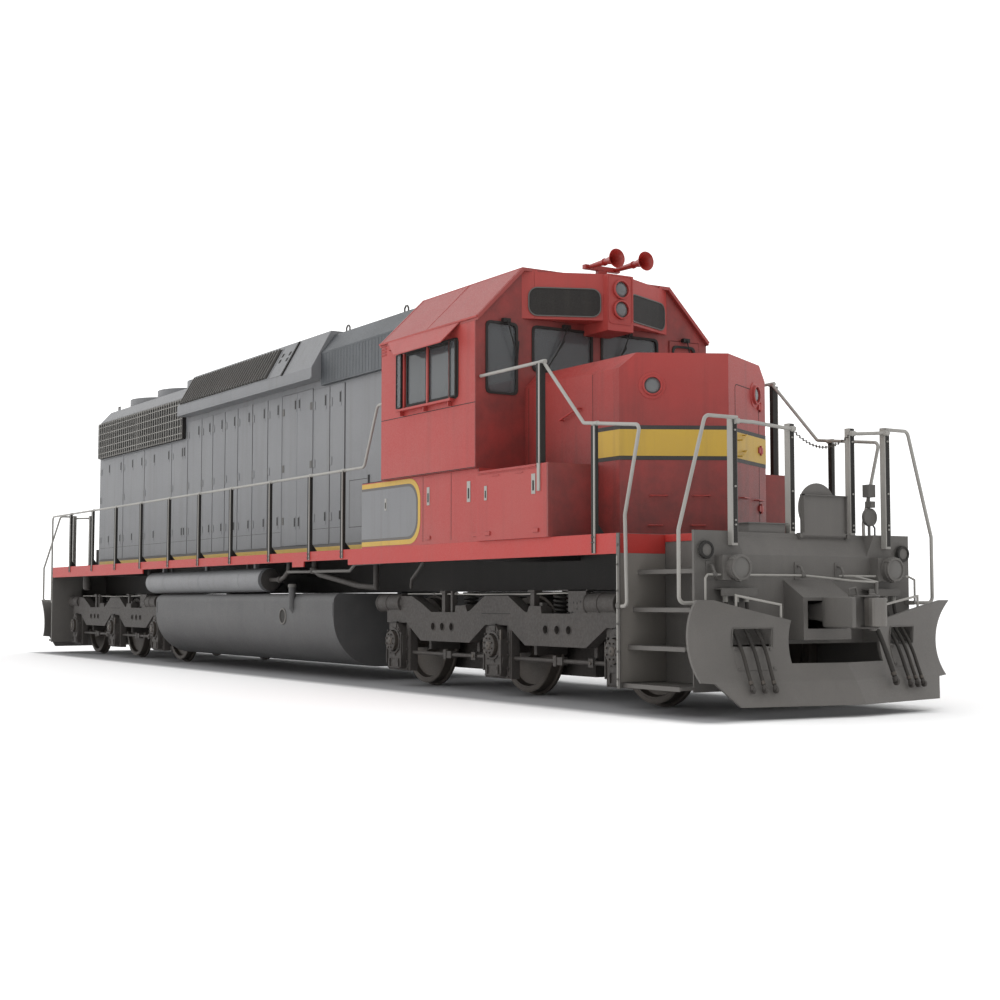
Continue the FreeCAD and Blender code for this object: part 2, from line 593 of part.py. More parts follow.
# ------------------------------------------------------------ tank and engine
def fuel_tank():
    """Fuel tank with sides that curve under, hung from the centre sill."""
    half, low, top = V.tank_half, V.tank_low, V.tank_top
    big, small = V.tank_low_round, V.tank_top_round
    diagonal = math.sqrt(0.5)
    length = V.tank_front - V.tank_rear

    def at(y, z):
        return Vec(V.tank_rear, y, z)
    edges = []
    for sign in (1, -1):
        low_arc = Part.Arc(at(sign * (half - big), low),
                           at(sign * (half - big + big * diagonal), low + big * (1 - diagonal)),
                           at(sign * half, low + big)).toShape()
        top_arc = Part.Arc(at(sign * half, top - small),
                           at(sign * (half - small + small * diagonal),
                              top - small + small * diagonal),
                           at(sign * (half - small), top)).toShape()
        edges += [low_arc, Part.makeLine(at(sign * half, low + big), at(sign * half, top - small)),
                  top_arc]
    edges.append(Part.makeLine(at(half - big, low), at(big - half, low)))
    edges.append(Part.makeLine(at(half - small, top), at(small - half, top)))
    outline = Part.Wire(Part.__sortEdges__(edges))
    tank = solid(Part.Face(outline).extrude(Vec(length, 0, 0)))
    hangers = [slab((x + " - 60", x + " + 60"), ("-centre_sill_half", "centre_sill_half"),
                    ("tank_top", "centre_sill_low"))
               for x in ("tank_rear + 300", "tank_front - 300")]
    node("fuel_tank", [tank] + hangers)


def air_reservoirs():
    """Two long air tanks under the side sills, each on three hangers."""
    pieces = []
    for side in (1, -1):
        y = "%d * air_out" % side
        tank = [rod("air_radius", ("air_rear + 60", y, "air_high"), "air_front - air_rear - 120", "x")]
        for x in ("air_rear", "air_front - 60"):
            tank.append(rod("air_radius - 45", (x, y, "air_high"), 60, "x"))
        for x in ("air_rear + 500", "(air_rear + air_front) / 2", "air_front - 500"):
            tank.append(slab((x + " - 30", x + " + 30"), side_of(side, "air_out - 30", "air_out + 30"),
                             ("air_high + air_radius - 20", "deck_top - deck_plate")))
        whole = doc.addObject("Part::MultiFuse", "Reservoir")
        whole.Shapes = tank
        pieces.append(whole)
    node("air_reservoirs", pieces, touching=False)


def engine():
    """Engine and generator as one plain heavy block."""
    node("engine", [slab(("engine_rear", "engine_front"), ("-engine_half", "engine_half"),
                         ("deck_top", "engine_top"))])


# ------------------------------------------------------------------ long hood
def hood_outline(inset):
    """Hood section as (y, z) points, drawn in by a wall's thickness."""
    slope = math.hypot(V.hood_half - V.hood_roof_half, V.hood_roof - V.hood_side_top)
    drop = inset * (slope - (V.hood_half - V.hood_roof_half)) / (V.hood_roof - V.hood_side_top)
    side_drop = inset * (slope - (V.hood_roof - V.hood_side_top)) / (V.hood_half - V.hood_roof_half)
    return mirrored([(V.hood_half - inset, V.deck_top), (V.hood_half - inset, V.hood_side_top - side_drop),
                     (V.hood_roof_half - drop, V.hood_roof - inset)])


def long_hood():
    """Hood shell over the engine, open where fans, doors and grilles go."""
    outer = across(hood_outline(0), V.hood_rear, V.cab_rear)
    inner = across(hood_outline(V.hood_wall), V.hood_rear + V.hood_wall, V.cab_rear + 1)
    shell = solid(outer.cut(inner))
    cuts = [slab(("hood_rear - 10", "cab_rear + 10"), ("-engine_half", "engine_half"),
                 ("deck_top - 10", "deck_top - 1"))]
    for side in (1, -1):
        cuts.append(slab(("door_pair_rear", "door_pair_front"),
                         side_of(side, "hood_half - hood_wall - 10", "hood_half + 10"),
                         ("door_low", "door_high")))
        cuts.append(slab(("grille_rear + 80", "grille_front - 80"),
                         side_of(side, "hood_half - hood_wall - 10", "hood_half + 10"),
                         ("grille_low + 60", "grille_high - 60")))
    for index in range(3):
        cuts.append(rod("fan_radius", ("fan_first + %d * fan_pitch" % index, 0, "hood_roof - 100"),
                        200, "z"))
    node("long_hood", [shell], cuts)


# Side doors that stay shut: rear and front edge along X, in mm
SHUT_DOORS = [
    (-8170, -6870), (-6870, -5740), (-5740, -4390), (-4390, -3650), (-3650, -3030), (-3030, -2557),
    (-2557, -2050), (-2050, -1545), (-1545, -985), (-985, -423), (-423, 70), (1102, 1626), (1626, 2075),
]


def hood_panels():
    """Shut side doors, as thin leaves on the hood's sides."""
    pieces = []
    for side in (1, -1):
        for rear, front in SHUT_DOORS:
            top = "hatch_low - 20" if front > V.blister_front else "door_high"
            top = "grille_low - 30" if rear < V.grille_front else top
            pieces.append(slab((rear + 12, front - 12), side_of(side, "hood_half", "hood_half + door_proud"),
                               ("door_low", top)))
    node("hood_panels", pieces, touching=False)


def hood_doors():
    """Two leaves a side that swing out on barrels at the pair's outer edges."""
    middle = "(door_pair_rear + door_pair_front) / 2"
    low, high = "door_low + door_gap", "door_high - door_gap"
    for side, hand in ((-1, "right"), (1, "left")):
        barrel_y = "%d * (hood_half + hinge_radius + seat_gap)" % side
        for which, edge, span in (
                ("rear", "door_pair_rear", ("door_pair_rear + door_gap", middle + " - door_gap / 2")),
                ("front", "door_pair_front", (middle + " + door_gap / 2", "door_pair_front - door_gap"))):
            leaf = slab(span, side_of(side, "hood_half - hood_wall + door_proud", "hood_half + door_proud"),
                        (low, high))
            barrel = rod("hinge_radius", (edge, barrel_y, low), "%s - (%s)" % (high, low), "z")
            node("hood_door_%s_%s" % (hand, which), [leaf, barrel])


def radiator_grilles():
    """Radiator air grilles, one a side."""
    pieces = []
    for side in (1, -1):
        pieces.append(slab(("grille_rear", "grille_front"),
                           side_of(side, "hood_half", "hood_half + grille_thick"),
                           ("grille_low", "grille_high")))
    node("radiator_grilles", pieces, touching=False)


def brake_housing():
    """Dynamic brake housing across the roof, open under its two fans."""
    outline = mirrored([(V.blister_half, V.blister_low), (V.blister_half, V.blister_shoulder),
                        (V.blister_top_half, V.blister_top)])
    shell = across(outline, V.blister_rear, V.blister_front)
    roof = across(hood_outline(0), V.blister_rear - 10, V.blister_front + 10)
    shell = shell.cut(roof)
    cuts = [rod("brake_fan_radius", ("brake_fan_first + %d * brake_fan_pitch" % index, 0, "hood_roof - 5"),
                300, "z") for index in range(2)]
    cuts.append(slab(("stack_x - 250", "stack_x + 250"), (-150, 150), ("hood_roof - 10", "blister_top + 10")))
    holed = doc.addObject("Part::Cut", "Housing")
    holed.Base = solid(shell)
    holed.Tool = doc.addObject("Part::Compound", "Tools")
    holed.Tool.Links = cuts
    pieces = [holed]
    for index in range(2):
        x = "brake_fan_first + %d * brake_fan_pitch" % index
        pieces.append(slab((x + " - brake_fan_radius - 10", x + " + brake_fan_radius + 10"), (-20, 20),
                           ("blister_top - 12", "blister_top")))
    node("brake_housing", pieces)


def filter_hatch():
    """Removable roof hatch over the central air compartment."""
    outline = mirrored([(V.hatch_half, V.hatch_low), (V.hatch_half, V.hood_side_top),
                        (V.hood_roof_half + 40, V.hatch_top)])
    hatch = across(outline, V.blister_front, V.hatch_front).cut(
        across(hood_outline(0), V.blister_front - 10, V.hatch_front + 10))
    node("filter_hatch", [solid(hatch)])


def fan_housings():
    """Round rings over the radiator fans, with a cross of guard bars."""
    pieces = []
    for index in range(3):
        x = "fan_first + %d * fan_pitch" % index
        ring = doc.addObject("Part::Cut", "Ring")
        ring.Base = rod("fan_ring", (x, 0, "hood_roof"), "fan_ring_high", "z")
        ring.Tool = rod("fan_radius + 10", (x, 0, "hood_roof - 5"), "fan_ring_high + 10", "z")
        bars = [ring]
        top = ("hood_roof + fan_ring_high - 12", "hood_roof + fan_ring_high")
        bars.append(slab((x + " - fan_radius - 20", x + " + fan_radius + 20"), (-15, 15), top))
        bars.append(slab((x + " - 15", x + " + 15"), ("-fan_radius - 20", "fan_radius + 20"), top))
        bars.append(rod(90, (x, 0, "hood_roof + fan_ring_high - 12"), 12, "z"))
        whole = doc.addObject("Part::MultiFuse", "Housing")
        whole.Shapes = bars
        pieces.append(whole)
    node("fan_housings", pieces, touching=False)


def rotor(label, x, radius, low, high, carrier_top):
    """A fan: hub, shaft and eight blades in one plane."""
    pieces = [rod(110, (x, 0, low), "%s - (%s)" % (high, low), "z"),
              rod(30, (x, 0, low), "%s - (%s)" % (carrier_top, low), "z")]
    for blade in range(8):
        paddle = doc.addObject("Part::Box", "Blade")
        paddle.setExpression("Length", bound("%s - 65" % radius))
        paddle.Width = 150
        paddle.Height = 14
        turn = FreeCAD.Rotation(Vec(0, 0, 1), 45 * blade).multiply(FreeCAD.Rotation(Vec(1, 0, 0), 22))
        paddle.Placement = FreeCAD.Placement(Vec(), turn)
        angle = math.radians(45 * blade)
        place(paddle, "%s + %.3f" % (x, 60 * math.cos(angle)), "%.3f" % (60 * math.sin(angle)),
              "(%s + %s) / 2 - 30" % (low, high))
        pieces.append(paddle)
    node(label, pieces)


def fans():
    """Three radiator fans and two brake grid fans."""
    for index, name in enumerate(("rear", "middle", "front")):
        rotor("radiator_fan_" + name, "fan_first + %d * fan_pitch" % index, "fan_radius - 30",
              "hood_roof + 20", "hood_roof + 110", "hood_roof + fan_ring_high - 12 - seat_gap")
    for index, name in enumerate(("rear", "front")):
        rotor("brake_fan_" + name, "brake_fan_first + %d * brake_fan_pitch" % index,
              "brake_fan_radius - 30", "hood_roof + 12", "hood_roof + 82", "blister_top - 12 - seat_gap")


def exhaust_stack():
    """Flat exhaust stack through the brake housing."""
    outer = slab(("stack_x - 250", "stack_x + 250"), (-150, 150), ("hood_roof", "blister_top + 60"))
    node("exhaust_stack", [outer],
         [slab(("stack_x - 225", "stack_x + 225"), (-125, 125), ("hood_roof + 60", "blister_top + 70"))])


# ------------------------------------------------------------------------ cab
def roof_line(inset):
    """Cab roof's eave and ridge points, drawn in by a thickness."""
    drop = inset * math.sqrt(2)
    sum_yz = V.cab_half + V.cab_eave - drop
    return (V.cab_half, sum_yz - V.cab_half), (sum_yz - (V.cab_roof - inset), V.cab_roof - inset)


def cab_base():
    """Compartments under the cab, out to the deck's edges, with the cab's floor on them."""
    pieces = [slab(("cab_rear", "cab_front"), ("-deck_half", "deck_half"), ("deck_top", "base_top")),
              slab(("cab_rear + cab_wall", "cab_front - cab_wall"),
                   ("-cab_half + cab_wall", "cab_half - cab_wall"), ("base_top", "base_top + floor_plate"))]
    for side in (1, -1):
        pieces.append(slab(("base_rear", "cab_rear"), side_of(side, "hood_half", "deck_half"),
                           ("deck_top", "base_top")))
    node("cab_base", pieces)


def window_cuts():
    """Openings for the cab's windows and doors."""
    cuts = []
    for side in (1, -1):
        cuts.append(slab(("side_win_rear", "side_win_front"),
                         side_of(side, "cab_half - cab_wall - 10", "cab_half + 10"),
                         ("side_win_low", "side_win_high")))
        cuts.append(slab(("cab_front - cab_wall - 10", "cab_front + 10"),
                         side_of(side, "mid_win_in", "mid_win_out"), ("mid_win_low", "end_win_high")))
    door_z = ("base_top + floor_plate", "cab_door_high")
    window_z = ("end_win_low", "end_win_high")
    for end, door_side in (("cab_front", 1), ("cab_rear + cab_wall", -1)):
        wall = (end + " - cab_wall - 10", end + " + 10")
        cuts.append(slab(wall, side_of(door_side, "cab_door_in", "cab_door_out"), door_z))
        cuts.append(slab(wall, side_of(-door_side, "end_win_in", "end_win_out"), window_z))
    return cuts


def cab_walls():
    """Four hollow cab walls with windows and door openings."""
    eave, ridge = roof_line(V.roof_plate)
    outer = across(mirrored([(V.cab_half, V.base_top), eave, ridge]), V.cab_rear, V.cab_front)
    inner_eave, inner_ridge = roof_line(V.roof_plate)
    inside = V.cab_half - V.cab_wall
    inner = across(mirrored([(inside, V.base_top - 1), (inside, inner_eave[1] + V.cab_wall),
                             (inner_ridge[0], inner_ridge[1] + 1)]),
                   V.cab_rear + V.cab_wall, V.cab_front - V.cab_wall)
    node("cab_walls", [solid(outer.cut(inner))], window_cuts())


def cab_roof():
    """Three-faced roof plate, over the walls by its overhang."""
    outer = mirrored([roof_line(V.roof_plate)[0], roof_line(0)[0], roof_line(0)[1]])
    inner = mirrored([(V.cab_half, roof_line(V.roof_plate)[0][1] - 1)] + list(roof_line(V.roof_plate)))
    start, end = V.cab_rear - V.roof_over, V.cab_front + V.roof_over
    roof = across(outer, start, end).cut(across(inner, start - 1, end + 1))
    node("cab_roof", [solid(roof)])


def cab_glass():
    """Window panes, seated in the middle of the walls' openings."""
    pieces = []
    for side in (1, -1):
        pieces.append(slab(("side_win_rear", "side_win_front"),
                           side_of(side, "cab_half - cab_wall / 2", "cab_half - cab_wall / 2 + glass"),
                           ("side_win_low", "side_win_high")))
        pieces.append(slab(("cab_front - cab_wall / 2", "cab_front - cab_wall / 2 + glass"),
                           side_of(side, "mid_win_in", "mid_win_out"), ("mid_win_low", "end_win_high")))
    for end, side in (("cab_front", -1), ("cab_rear + cab_wall", 1)):
        pieces.append(slab((end + " - cab_wall / 2", end + " - cab_wall / 2 + glass"),
                           side_of(side, "end_win_in", "end_win_out"), ("end_win_low", "end_win_high")))
    node("cab_glass", pieces, touching=False)


def cab_doors():
    """Front door beside the nose and rear door beside the hood, on barrels, each with its pane."""
    low, high = "base_top + floor_plate + door_gap", "cab_door_high - door_gap"
    hole_z = ("end_win_low + 40", "end_win_high - 50")
    for label, facing, side, wall in (
            ("cab_door_front", 1, 1, ("cab_front - cab_wall", "cab_front + 4")),
            ("cab_door_rear", -1, -1, ("cab_rear - 4", "cab_rear + cab_wall"))):
        outside = "cab_front" if facing > 0 else "cab_rear"
        hole_y = side_of(side, "end_win_in + 20", "end_win_out - 50")
        frame = doc.addObject("Part::Cut", "Leaf")
        leaf_y = side_of(side, "cab_door_in + door_gap", "cab_door_out - door_gap")
        frame.Base = slab(wall, leaf_y, (low, high))
        frame.Tool = slab((wall[0] + " - 5", wall[1] + " + 5"), hole_y, hole_z)
        barrel = rod("hinge_radius", ("%s + %d * (hinge_radius + seat_gap)" % (outside, facing),
                                      "%d * cab_door_in" % side, low), "%s - (%s)" % (high, low), "z")
        hung = doc.addObject("Part::MultiFuse", "Hung")
        hung.Shapes = [frame, barrel]
        pane_x = wall[0] + " + cab_wall / 2"
        pane = slab((pane_x, pane_x + " + glass"), hole_y, hole_z)
        node(label, [hung, pane], touching=False)


def cab_interior():
    """Three crew seats on posts, and the engineer's control stand."""
    pieces = []
    floor = "base_top + floor_plate"
    for back, y in (("cab_front - 927", -1050), ("cab_rear + 690", 1050), ("cab_front - 627", 1050)):
        seat = [rod(60, (back, y, floor), 420, "z"),
                slab((back + " - 240", back + " + 240"), (y - 240, y + 240),
                     (floor + " + 420", floor + " + 520")),
                slab((back + " - 240", back + " - 160"), (y - 230, y + 230),
                     (floor + " + 520", floor + " + 1020"))]
        whole = doc.addObject("Part::MultiFuse", "Seat")
        whole.Shapes = seat
        pieces.append(whole)
    stand = doc.addObject("Part::MultiFuse", "Stand")
    stand.Shapes = [slab(("cab_front - 617", "cab_front - 217"), (-1000, -480), (floor, floor + " + 950")),
                    slab(("cab_front - 717", "cab_front - 177"), (-1040, -460),
                         (floor + " + 950", floor + " + 1130"))]
    node("cab_interior", pieces + [stand], touching=False)


def nose():
    """Closed nose: V-shaped front and bevelled top edges."""
    plan = [(V.cab_front, -V.nose_half), (V.nose_corner, -V.nose_half), (V.nose_crease, 0),
            (V.nose_corner, V.nose_half), (V.cab_front, V.nose_half)]
    section = mirrored([(V.nose_half, V.deck_top), (V.nose_half, V.nose_top - V.nose_bevel),
                        (V.nose_half - V.nose_bevel, V.nose_top)])
    body = upright(plan, V.deck_top, V.nose_top).common(
        across(section, V.cab_front - 1, V.nose_crease + 1))
    node("nose", [solid(body)])


def sign_box():
    """Number board box across the cab's brow, with the headlight housing."""
    plan = [(V.cab_front, -V.sign_half), (V.sign_front, -V.lamp_half), (V.sign_front, V.lamp_half),
            (V.cab_front, V.sign_half)]
    box = upright(plan, V.sign_low, V.cab_roof - V.roof_plate)
    below_roof = across(mirrored([(V.cab_half, V.sign_low - 1), (V.cab_half, V.cab_eave),
                                  (V.sign_half, V.cab_roof)]), V.cab_front - 1, V.lamp_front)
    gap = V.roof_over + 10
    notch = across(mirrored([roof_line(V.roof_plate + 3)[0], roof_line(-10)[0], roof_line(-10)[1]]),
                   V.cab_front - 1, V.cab_front + gap)
    box = box.common(below_roof).cut(notch)
    housing = slab(("cab_front", "lamp_front"), ("-lamp_half", "lamp_half"),
                   ("lamp_low", "cab_roof - roof_plate - 10"))
    node("sign_box", [solid(box), housing])


def horns():
    """Two trumpet horns on one manifold over the front of the cab's roof."""
    axis_z = V.cab_roof + V.horn_high
    start = V.cab_front - 130
    pieces = [Part.makeBox(60, 480, 50, Vec(start - 50, -60, axis_z - 25)),
              Part.makeBox(60, 120, V.horn_high - 25, Vec(start - 50, 120, V.cab_roof))]
    for front, y in ((V.cab_front + 390, 0), (V.cab_front + 445, 355)):
        length = front - start
        pieces.append(Part.makeCone(24, 36, length - 170, Vec(start, y, axis_z), Vec(1, 0, 0)))
        pieces.append(Part.makeCone(36, V.horn_bell, 170, Vec(front - 170, y, axis_z), Vec(1, 0, 0)))
    node("horns", [solid(pieces[0].fuse(pieces[1:]))])


def awnings():
    """Awnings over the side windows."""
    pieces = []
    for side in (1, -1):
        top = V.cab_eave - 20
        outline = [(V.cab_half, top), (V.cab_half, top - 25), (V.cab_half + V.awning_out, V.awning_low),
                   (V.cab_half + V.awning_out + 6, V.awning_low + 18)]
        awning = across([(side * y, z) for y, z in outline], V.side_win_rear - 165, V.side_win_front + 295)
        pieces.append(solid(awning))
    node("awnings", pieces, touching=False)


def battery_boxes():
    """Battery boxes on both sides of the nose, under lids hinged at their outer edges."""
    pieces = []
    for side in (-1, 1):
        across_box = side_of(side, "nose_half", "battery_out")
        pieces.append(slab(("cab_front", "battery_front"), across_box,
                           ("deck_top", "battery_top - lid_plate")))
        for rim in (("lid_front + door_gap", "battery_front"), ("cab_front", "cab_front + lid_rear")):
            pieces.append(slab(rim, across_box, ("battery_top - lid_plate", "battery_top")))
    node("battery_boxes", pieces)
    under = "battery_top - lid_plate + seat_gap"
    for side, hand in ((-1, "right"), (1, "left")):
        barrel_y = "%d * (battery_out + hinge_radius + seat_gap)" % side
        span = ("cab_front + lid_rear + door_gap", "lid_front")
        node("battery_lid_" + hand, [
            slab(span, side_of(side, "nose_half + door_gap", "battery_out + 4"), (under, "battery_top")),
            rod("hinge_radius", (span[0], barrel_y, "battery_top - lid_plate / 2"),
                "%s - (%s)" % (span[1], span[0]), "x")])


# ------------------------------------------------------------------ handrails
LONG_POSTS = (949, -422, -1667, -2948, -4262, -5542, -6820, -8144)
# Long handrails' front posts, behind the compartments under the cab
CAB_POSTS = (531, 1478)


def side_handrails():
    """Handrails down both sides, with their posts on the side sills."""
    pieces = []
    for side in (1, -1):
        y = side * V.rail_out
        high, end_z = V.rail_high, 960
        low = V.deck_top - V.sill_shallow + 20
        rear_x = -V.platform_half + 270
        rear_foot = V.well_rear - V.platform_half - V.well_flange
        long_rail = bent_tube([(V.cab_rear, y, 3310), (V.cab_rear - 220, y, 3310),
                               (V.cab_rear - 560, y, high), (rear_x, y, high), (rear_x, y, end_z),
                               (rear_foot, y, end_z)], V.rail_radius, 80)
        foot_x = V.platform_half - V.well_front + V.well_flange
        battery_post, nose_post = V.battery_front - 159, V.nose_crease - 146
        nose_rail = bent_tube([(V.cab_front, y, 3368), (battery_post, y, 3368),
                               (V.nose_corner + 186, y, 2688), (V.platform_half - 530, y, 2590),
                               (V.platform_half - 760, y, 1788), (foot_x + 90, y, end_z),
                               (foot_x, y, end_z)], V.rail_radius, 50)
        pieces += [solid(long_rail), solid(nose_rail)]
        for x, foot, face, top in ((battery_post, 2085, "battery_out", 3340),
                                   (nose_post, V.deck_top - 180, "deck_half", 2640)):
            step = "battery_top + 4" if face == "battery_out" else "deck_top + 4"
            pieces.append(slab((x - 24, x + 24), side_of(side, face, face + " + 12"), (foot, step)))
            pieces.append(slab((x - 24, x + 24), side_of(side, "rail_out - 8", face + " + 12"), (step, top)))
        for x in LONG_POSTS + tuple(V.base_rear - behind for behind in CAB_POSTS):
            pieces.append(slab((x - 24, x + 24), side_of(side, "deck_half", "deck_half + 12"),
                               (low, "deck_top + 60")))
            pieces.append(slab((x - 24, x + 24), side_of(side, "rail_out - 8", "deck_half + 12"),
                               ("deck_top + 60", "rail_high")))
    node("side_handrails", pieces, touching=False)


def channel_post(end, x, y, z_range):
    """An upright channel, open towards the walkway."""
    half, outer, wall = "post_half + 8", x + " + post_deep", 8
    low_y, high_y = "%s - (%s)" % (y, half), "%s + %s" % (y, half)
    whole = doc.addObject("Part::MultiFuse", "Post")
    whole.Shapes = [
        slab(across_end(end, "%s - %d" % (outer, wall), outer), (low_y, high_y), z_range),
        slab(across_end(end, x, outer), (low_y, "%s + %d" % (low_y, wall)), z_range),
        slab(across_end(end, x, outer), ("%s - %d" % (high_y, wall), high_y), z_range)]
    return whole


def end_handrails():
    """Channel posts at both ends, and the outer rails that bend down to the plates' edges."""
    pieces = []
    top = V.rail_high + 50
    inner_x = "platform_half - recess_deep - post_deep - 20"
    for end in (1, -1):
        rail_x = end * (V.platform_half + V.post_deep + V.rail_radius)
        for side, post_y in ((-1, 905), (1, 990)):
            hand = end * side
            pieces.append(channel_post(end, "platform_half", "%d * %d" % (hand, post_y),
                                       ("deck_top - 130", "rail_high + 50")))
            out_y, edge = V.deck_half + 35, V.end_half - 30
            rail = bent_tube([(rail_x, hand * (post_y - 20), top - 20), (rail_x, hand * 1250, top - 20),
                              (rail_x, hand * out_y, 1620), (rail_x, hand * out_y, 990),
                              (rail_x, hand * edge, 990)], V.rail_radius, 60)
            clamp = slab(across_end(end, "platform_half", "platform_half + post_deep + rail_radius"),
                         side_of(hand, "end_half - 50", "end_half - 10"), (970, 1010))
            whole = doc.addObject("Part::MultiFuse", "Rail")
            whole.Shapes = [solid(rail), clamp]
            pieces.append(whole)
        for y in (-40, 730):
            pieces.append(channel_post(end, inner_x, "%d * %d" % (end, y), ("deck_top", "rail_high + 50")))
    node("end_handrails", pieces, touching=False)


# ------------------------------------------------------------------- couplers
def coupler(end, name):
    """Swinging coupler: shank with its eye, head with guard arm and ears, and the knuckle."""
    def span(low, high):
        return (low, high) if end > 0 else ("-(%s)" % high, "-(%s)" % low)
    mid = "coupler_high"
    back, face = "coupler_face - 500", "coupler_face - 230"
    pivot_x = "%d * coupler_pivot" % end
    pin_x, pin_y = "%d * (coupler_face - knuckle_reach)" % end, "%d * knuckle_pin_out" % end
    ear = "130 + seat_gap"
    pieces = [slab(span("coupler_pivot", back), (-95, 95), (mid + " - 90", mid + " + 90")),
              rod(130, (pivot_x, 0, mid + " - 90"), 180, "z"),
              slab(span(back, face), (-230, 230), (mid + " - 150", mid + " + 150")),
              slab(span(face, "coupler_face - 40"), side_of(-end, 150, 250),
                   (mid + " - 150", mid + " + 150")),
              rod("knuckle_pin", (pin_x, pin_y, mid + " - 150"), 300, "z")]
    for low in (mid + " - 150", "%s + %s" % (mid, ear)):
        ear_x = span(face, "coupler_face - knuckle_reach + 40")
        pieces.append(slab(ear_x, side_of(end, "knuckle_pin_out - 50", "knuckle_pin_out + 50"),
                           (low, "%s + 20 - seat_gap" % low)))
    node("coupler_" + name, pieces, [rod("coupler_pin + seat_gap", (pivot_x, 0, mid + " - 100"), 200, "z")])
    low, height = mid + " - 130", 260
    knuckle = [rod(55, (pin_x, pin_y, low), height, "z"),
               slab(span("coupler_face - knuckle_reach", "coupler_face"),
                    side_of(end, "knuckle_pin_out - 50", "knuckle_pin_out + 55"), (low, low + " + 260")),
               slab(span("coupler_face - 80", "coupler_face"),
                    side_of(end, "knuckle_pin_out - 170", "knuckle_pin_out"), (low, low + " + 260"))]
    node("knuckle_" + name, knuckle,
         [rod("knuckle_pin + seat_gap", (pin_x, pin_y, low + " - 10"), height + 20, "z")])


def drop_step(end, name):
    """Raised bridge plate on a hinge barrel, that folds down over the coupler."""
    edge = "platform_half - recess_deep"
    y = (30, 590) if end > 0 else (-590, -30)
    barrel_x = "%d * (%s + step_hinge + seat_gap)" % (end, edge)
    barrel_z = "deck_top - step_hinge - 2"
    span = across_end(end, edge + " + 8", edge + " + 2 * step_hinge + 6")
    whole = [rod("step_hinge", (barrel_x, y[0], barrel_z), "%s - (%s)" % (y[1], y[0]), "y"),
             slab(span, y, (barrel_z, "deck_top + 365"))]
    disc_x = edge + " + 8" if end > 0 else "-(%s + 20)" % edge
    whole.append(rod(235, (disc_x, 240 * end, "deck_top + 240"), 12, "x"))
    node("drop_step_" + name, whole)


# --------------------------------------------------------------------- trucks
def wheelset(label, x):
    """An axle with its two wheels, turned about Y."""
    tread, flange = V.wheel_radius, V.wheel_radius + V.flange_high
    back, face = V.wheel_back, V.wheel_back + V.wheel_wide
    half = [(0, V.axle_radius), (back - 60, V.axle_radius), (back - 60, 140), (back, 150),
            (back + 30, 400), (back, 440), (back, flange), (back + 28, flange), (back + 36, tread),
            (face, tread - 4), (face, 440), (back + 80, 420), (back + 60, 160), (face + 20, 140),
            (face + 20, V.axle_radius), (V.journal_out + 6, V.axle_radius), (V.journal_out + 6, 115),
            (V.journal_out + 56, 115), (V.journal_out + 56, 0), (0, 0)]
    z = tread + V.flange_high
    face_half = Part.Face(Part.makePolygon([Vec(x, y, z + r) for y, r in half + [half[0]]]))
    turned = face_half.revolve(Vec(x, 0, z), Vec(0, 1, 0), 360)
    other = turned.mirror(Vec(x, 0, z), Vec(0, 1, 0))
    node(label, [solid(turned.fuse(other))])


def frame_outline(centre):
    """A truck's side frame as (x, z) points: humps, dips and arches over the journals."""
    half, pitch = V.truck_half, V.axle_pitch
    arch, foot = 220, 560
    top = [(235, V.hump_top), (foot - 15, V.chord_top + 20), (foot + 40, V.chord_top + 8),
           (foot + 80, V.chord_top + 75), (850, V.chord_top + 75), (865, V.chord_top),
           (pitch - 800, V.chord_top), (pitch - 600, V.hump_top - 90), (pitch - 350, V.hump_top),
           (pitch - 80, V.hump_top), (half - 190, V.hump_top - 70), (half, V.hump_top - 170)]
    low = [(half, V.arch_top), (pitch - arch, V.arch_top), (pitch - foot, V.chord_low),
           (foot, V.chord_low), (arch, V.arch_top)]
    ahead = top + low
    return [(centre + x, z) for x, z in ahead + [(-x, z) for x, z in reversed(ahead)]]


def journal_outline(x):
    """A journal box as (x, z) points, wide at the axle and narrow at its crown."""
    wide, crown, axle_z = 200, V.arch_top - 5, V.wheel_radius + V.flange_high
    return [(x - 60, crown), (x + 60, crown), (x + wide - 10, axle_z + 64), (x + wide, axle_z - 136),
            (x + wide - 50, V.pedestal_low + 25), (x - wide + 50, V.pedestal_low + 25),
            (x - wide, axle_z - 136), (x - wide + 10, axle_z + 64)]


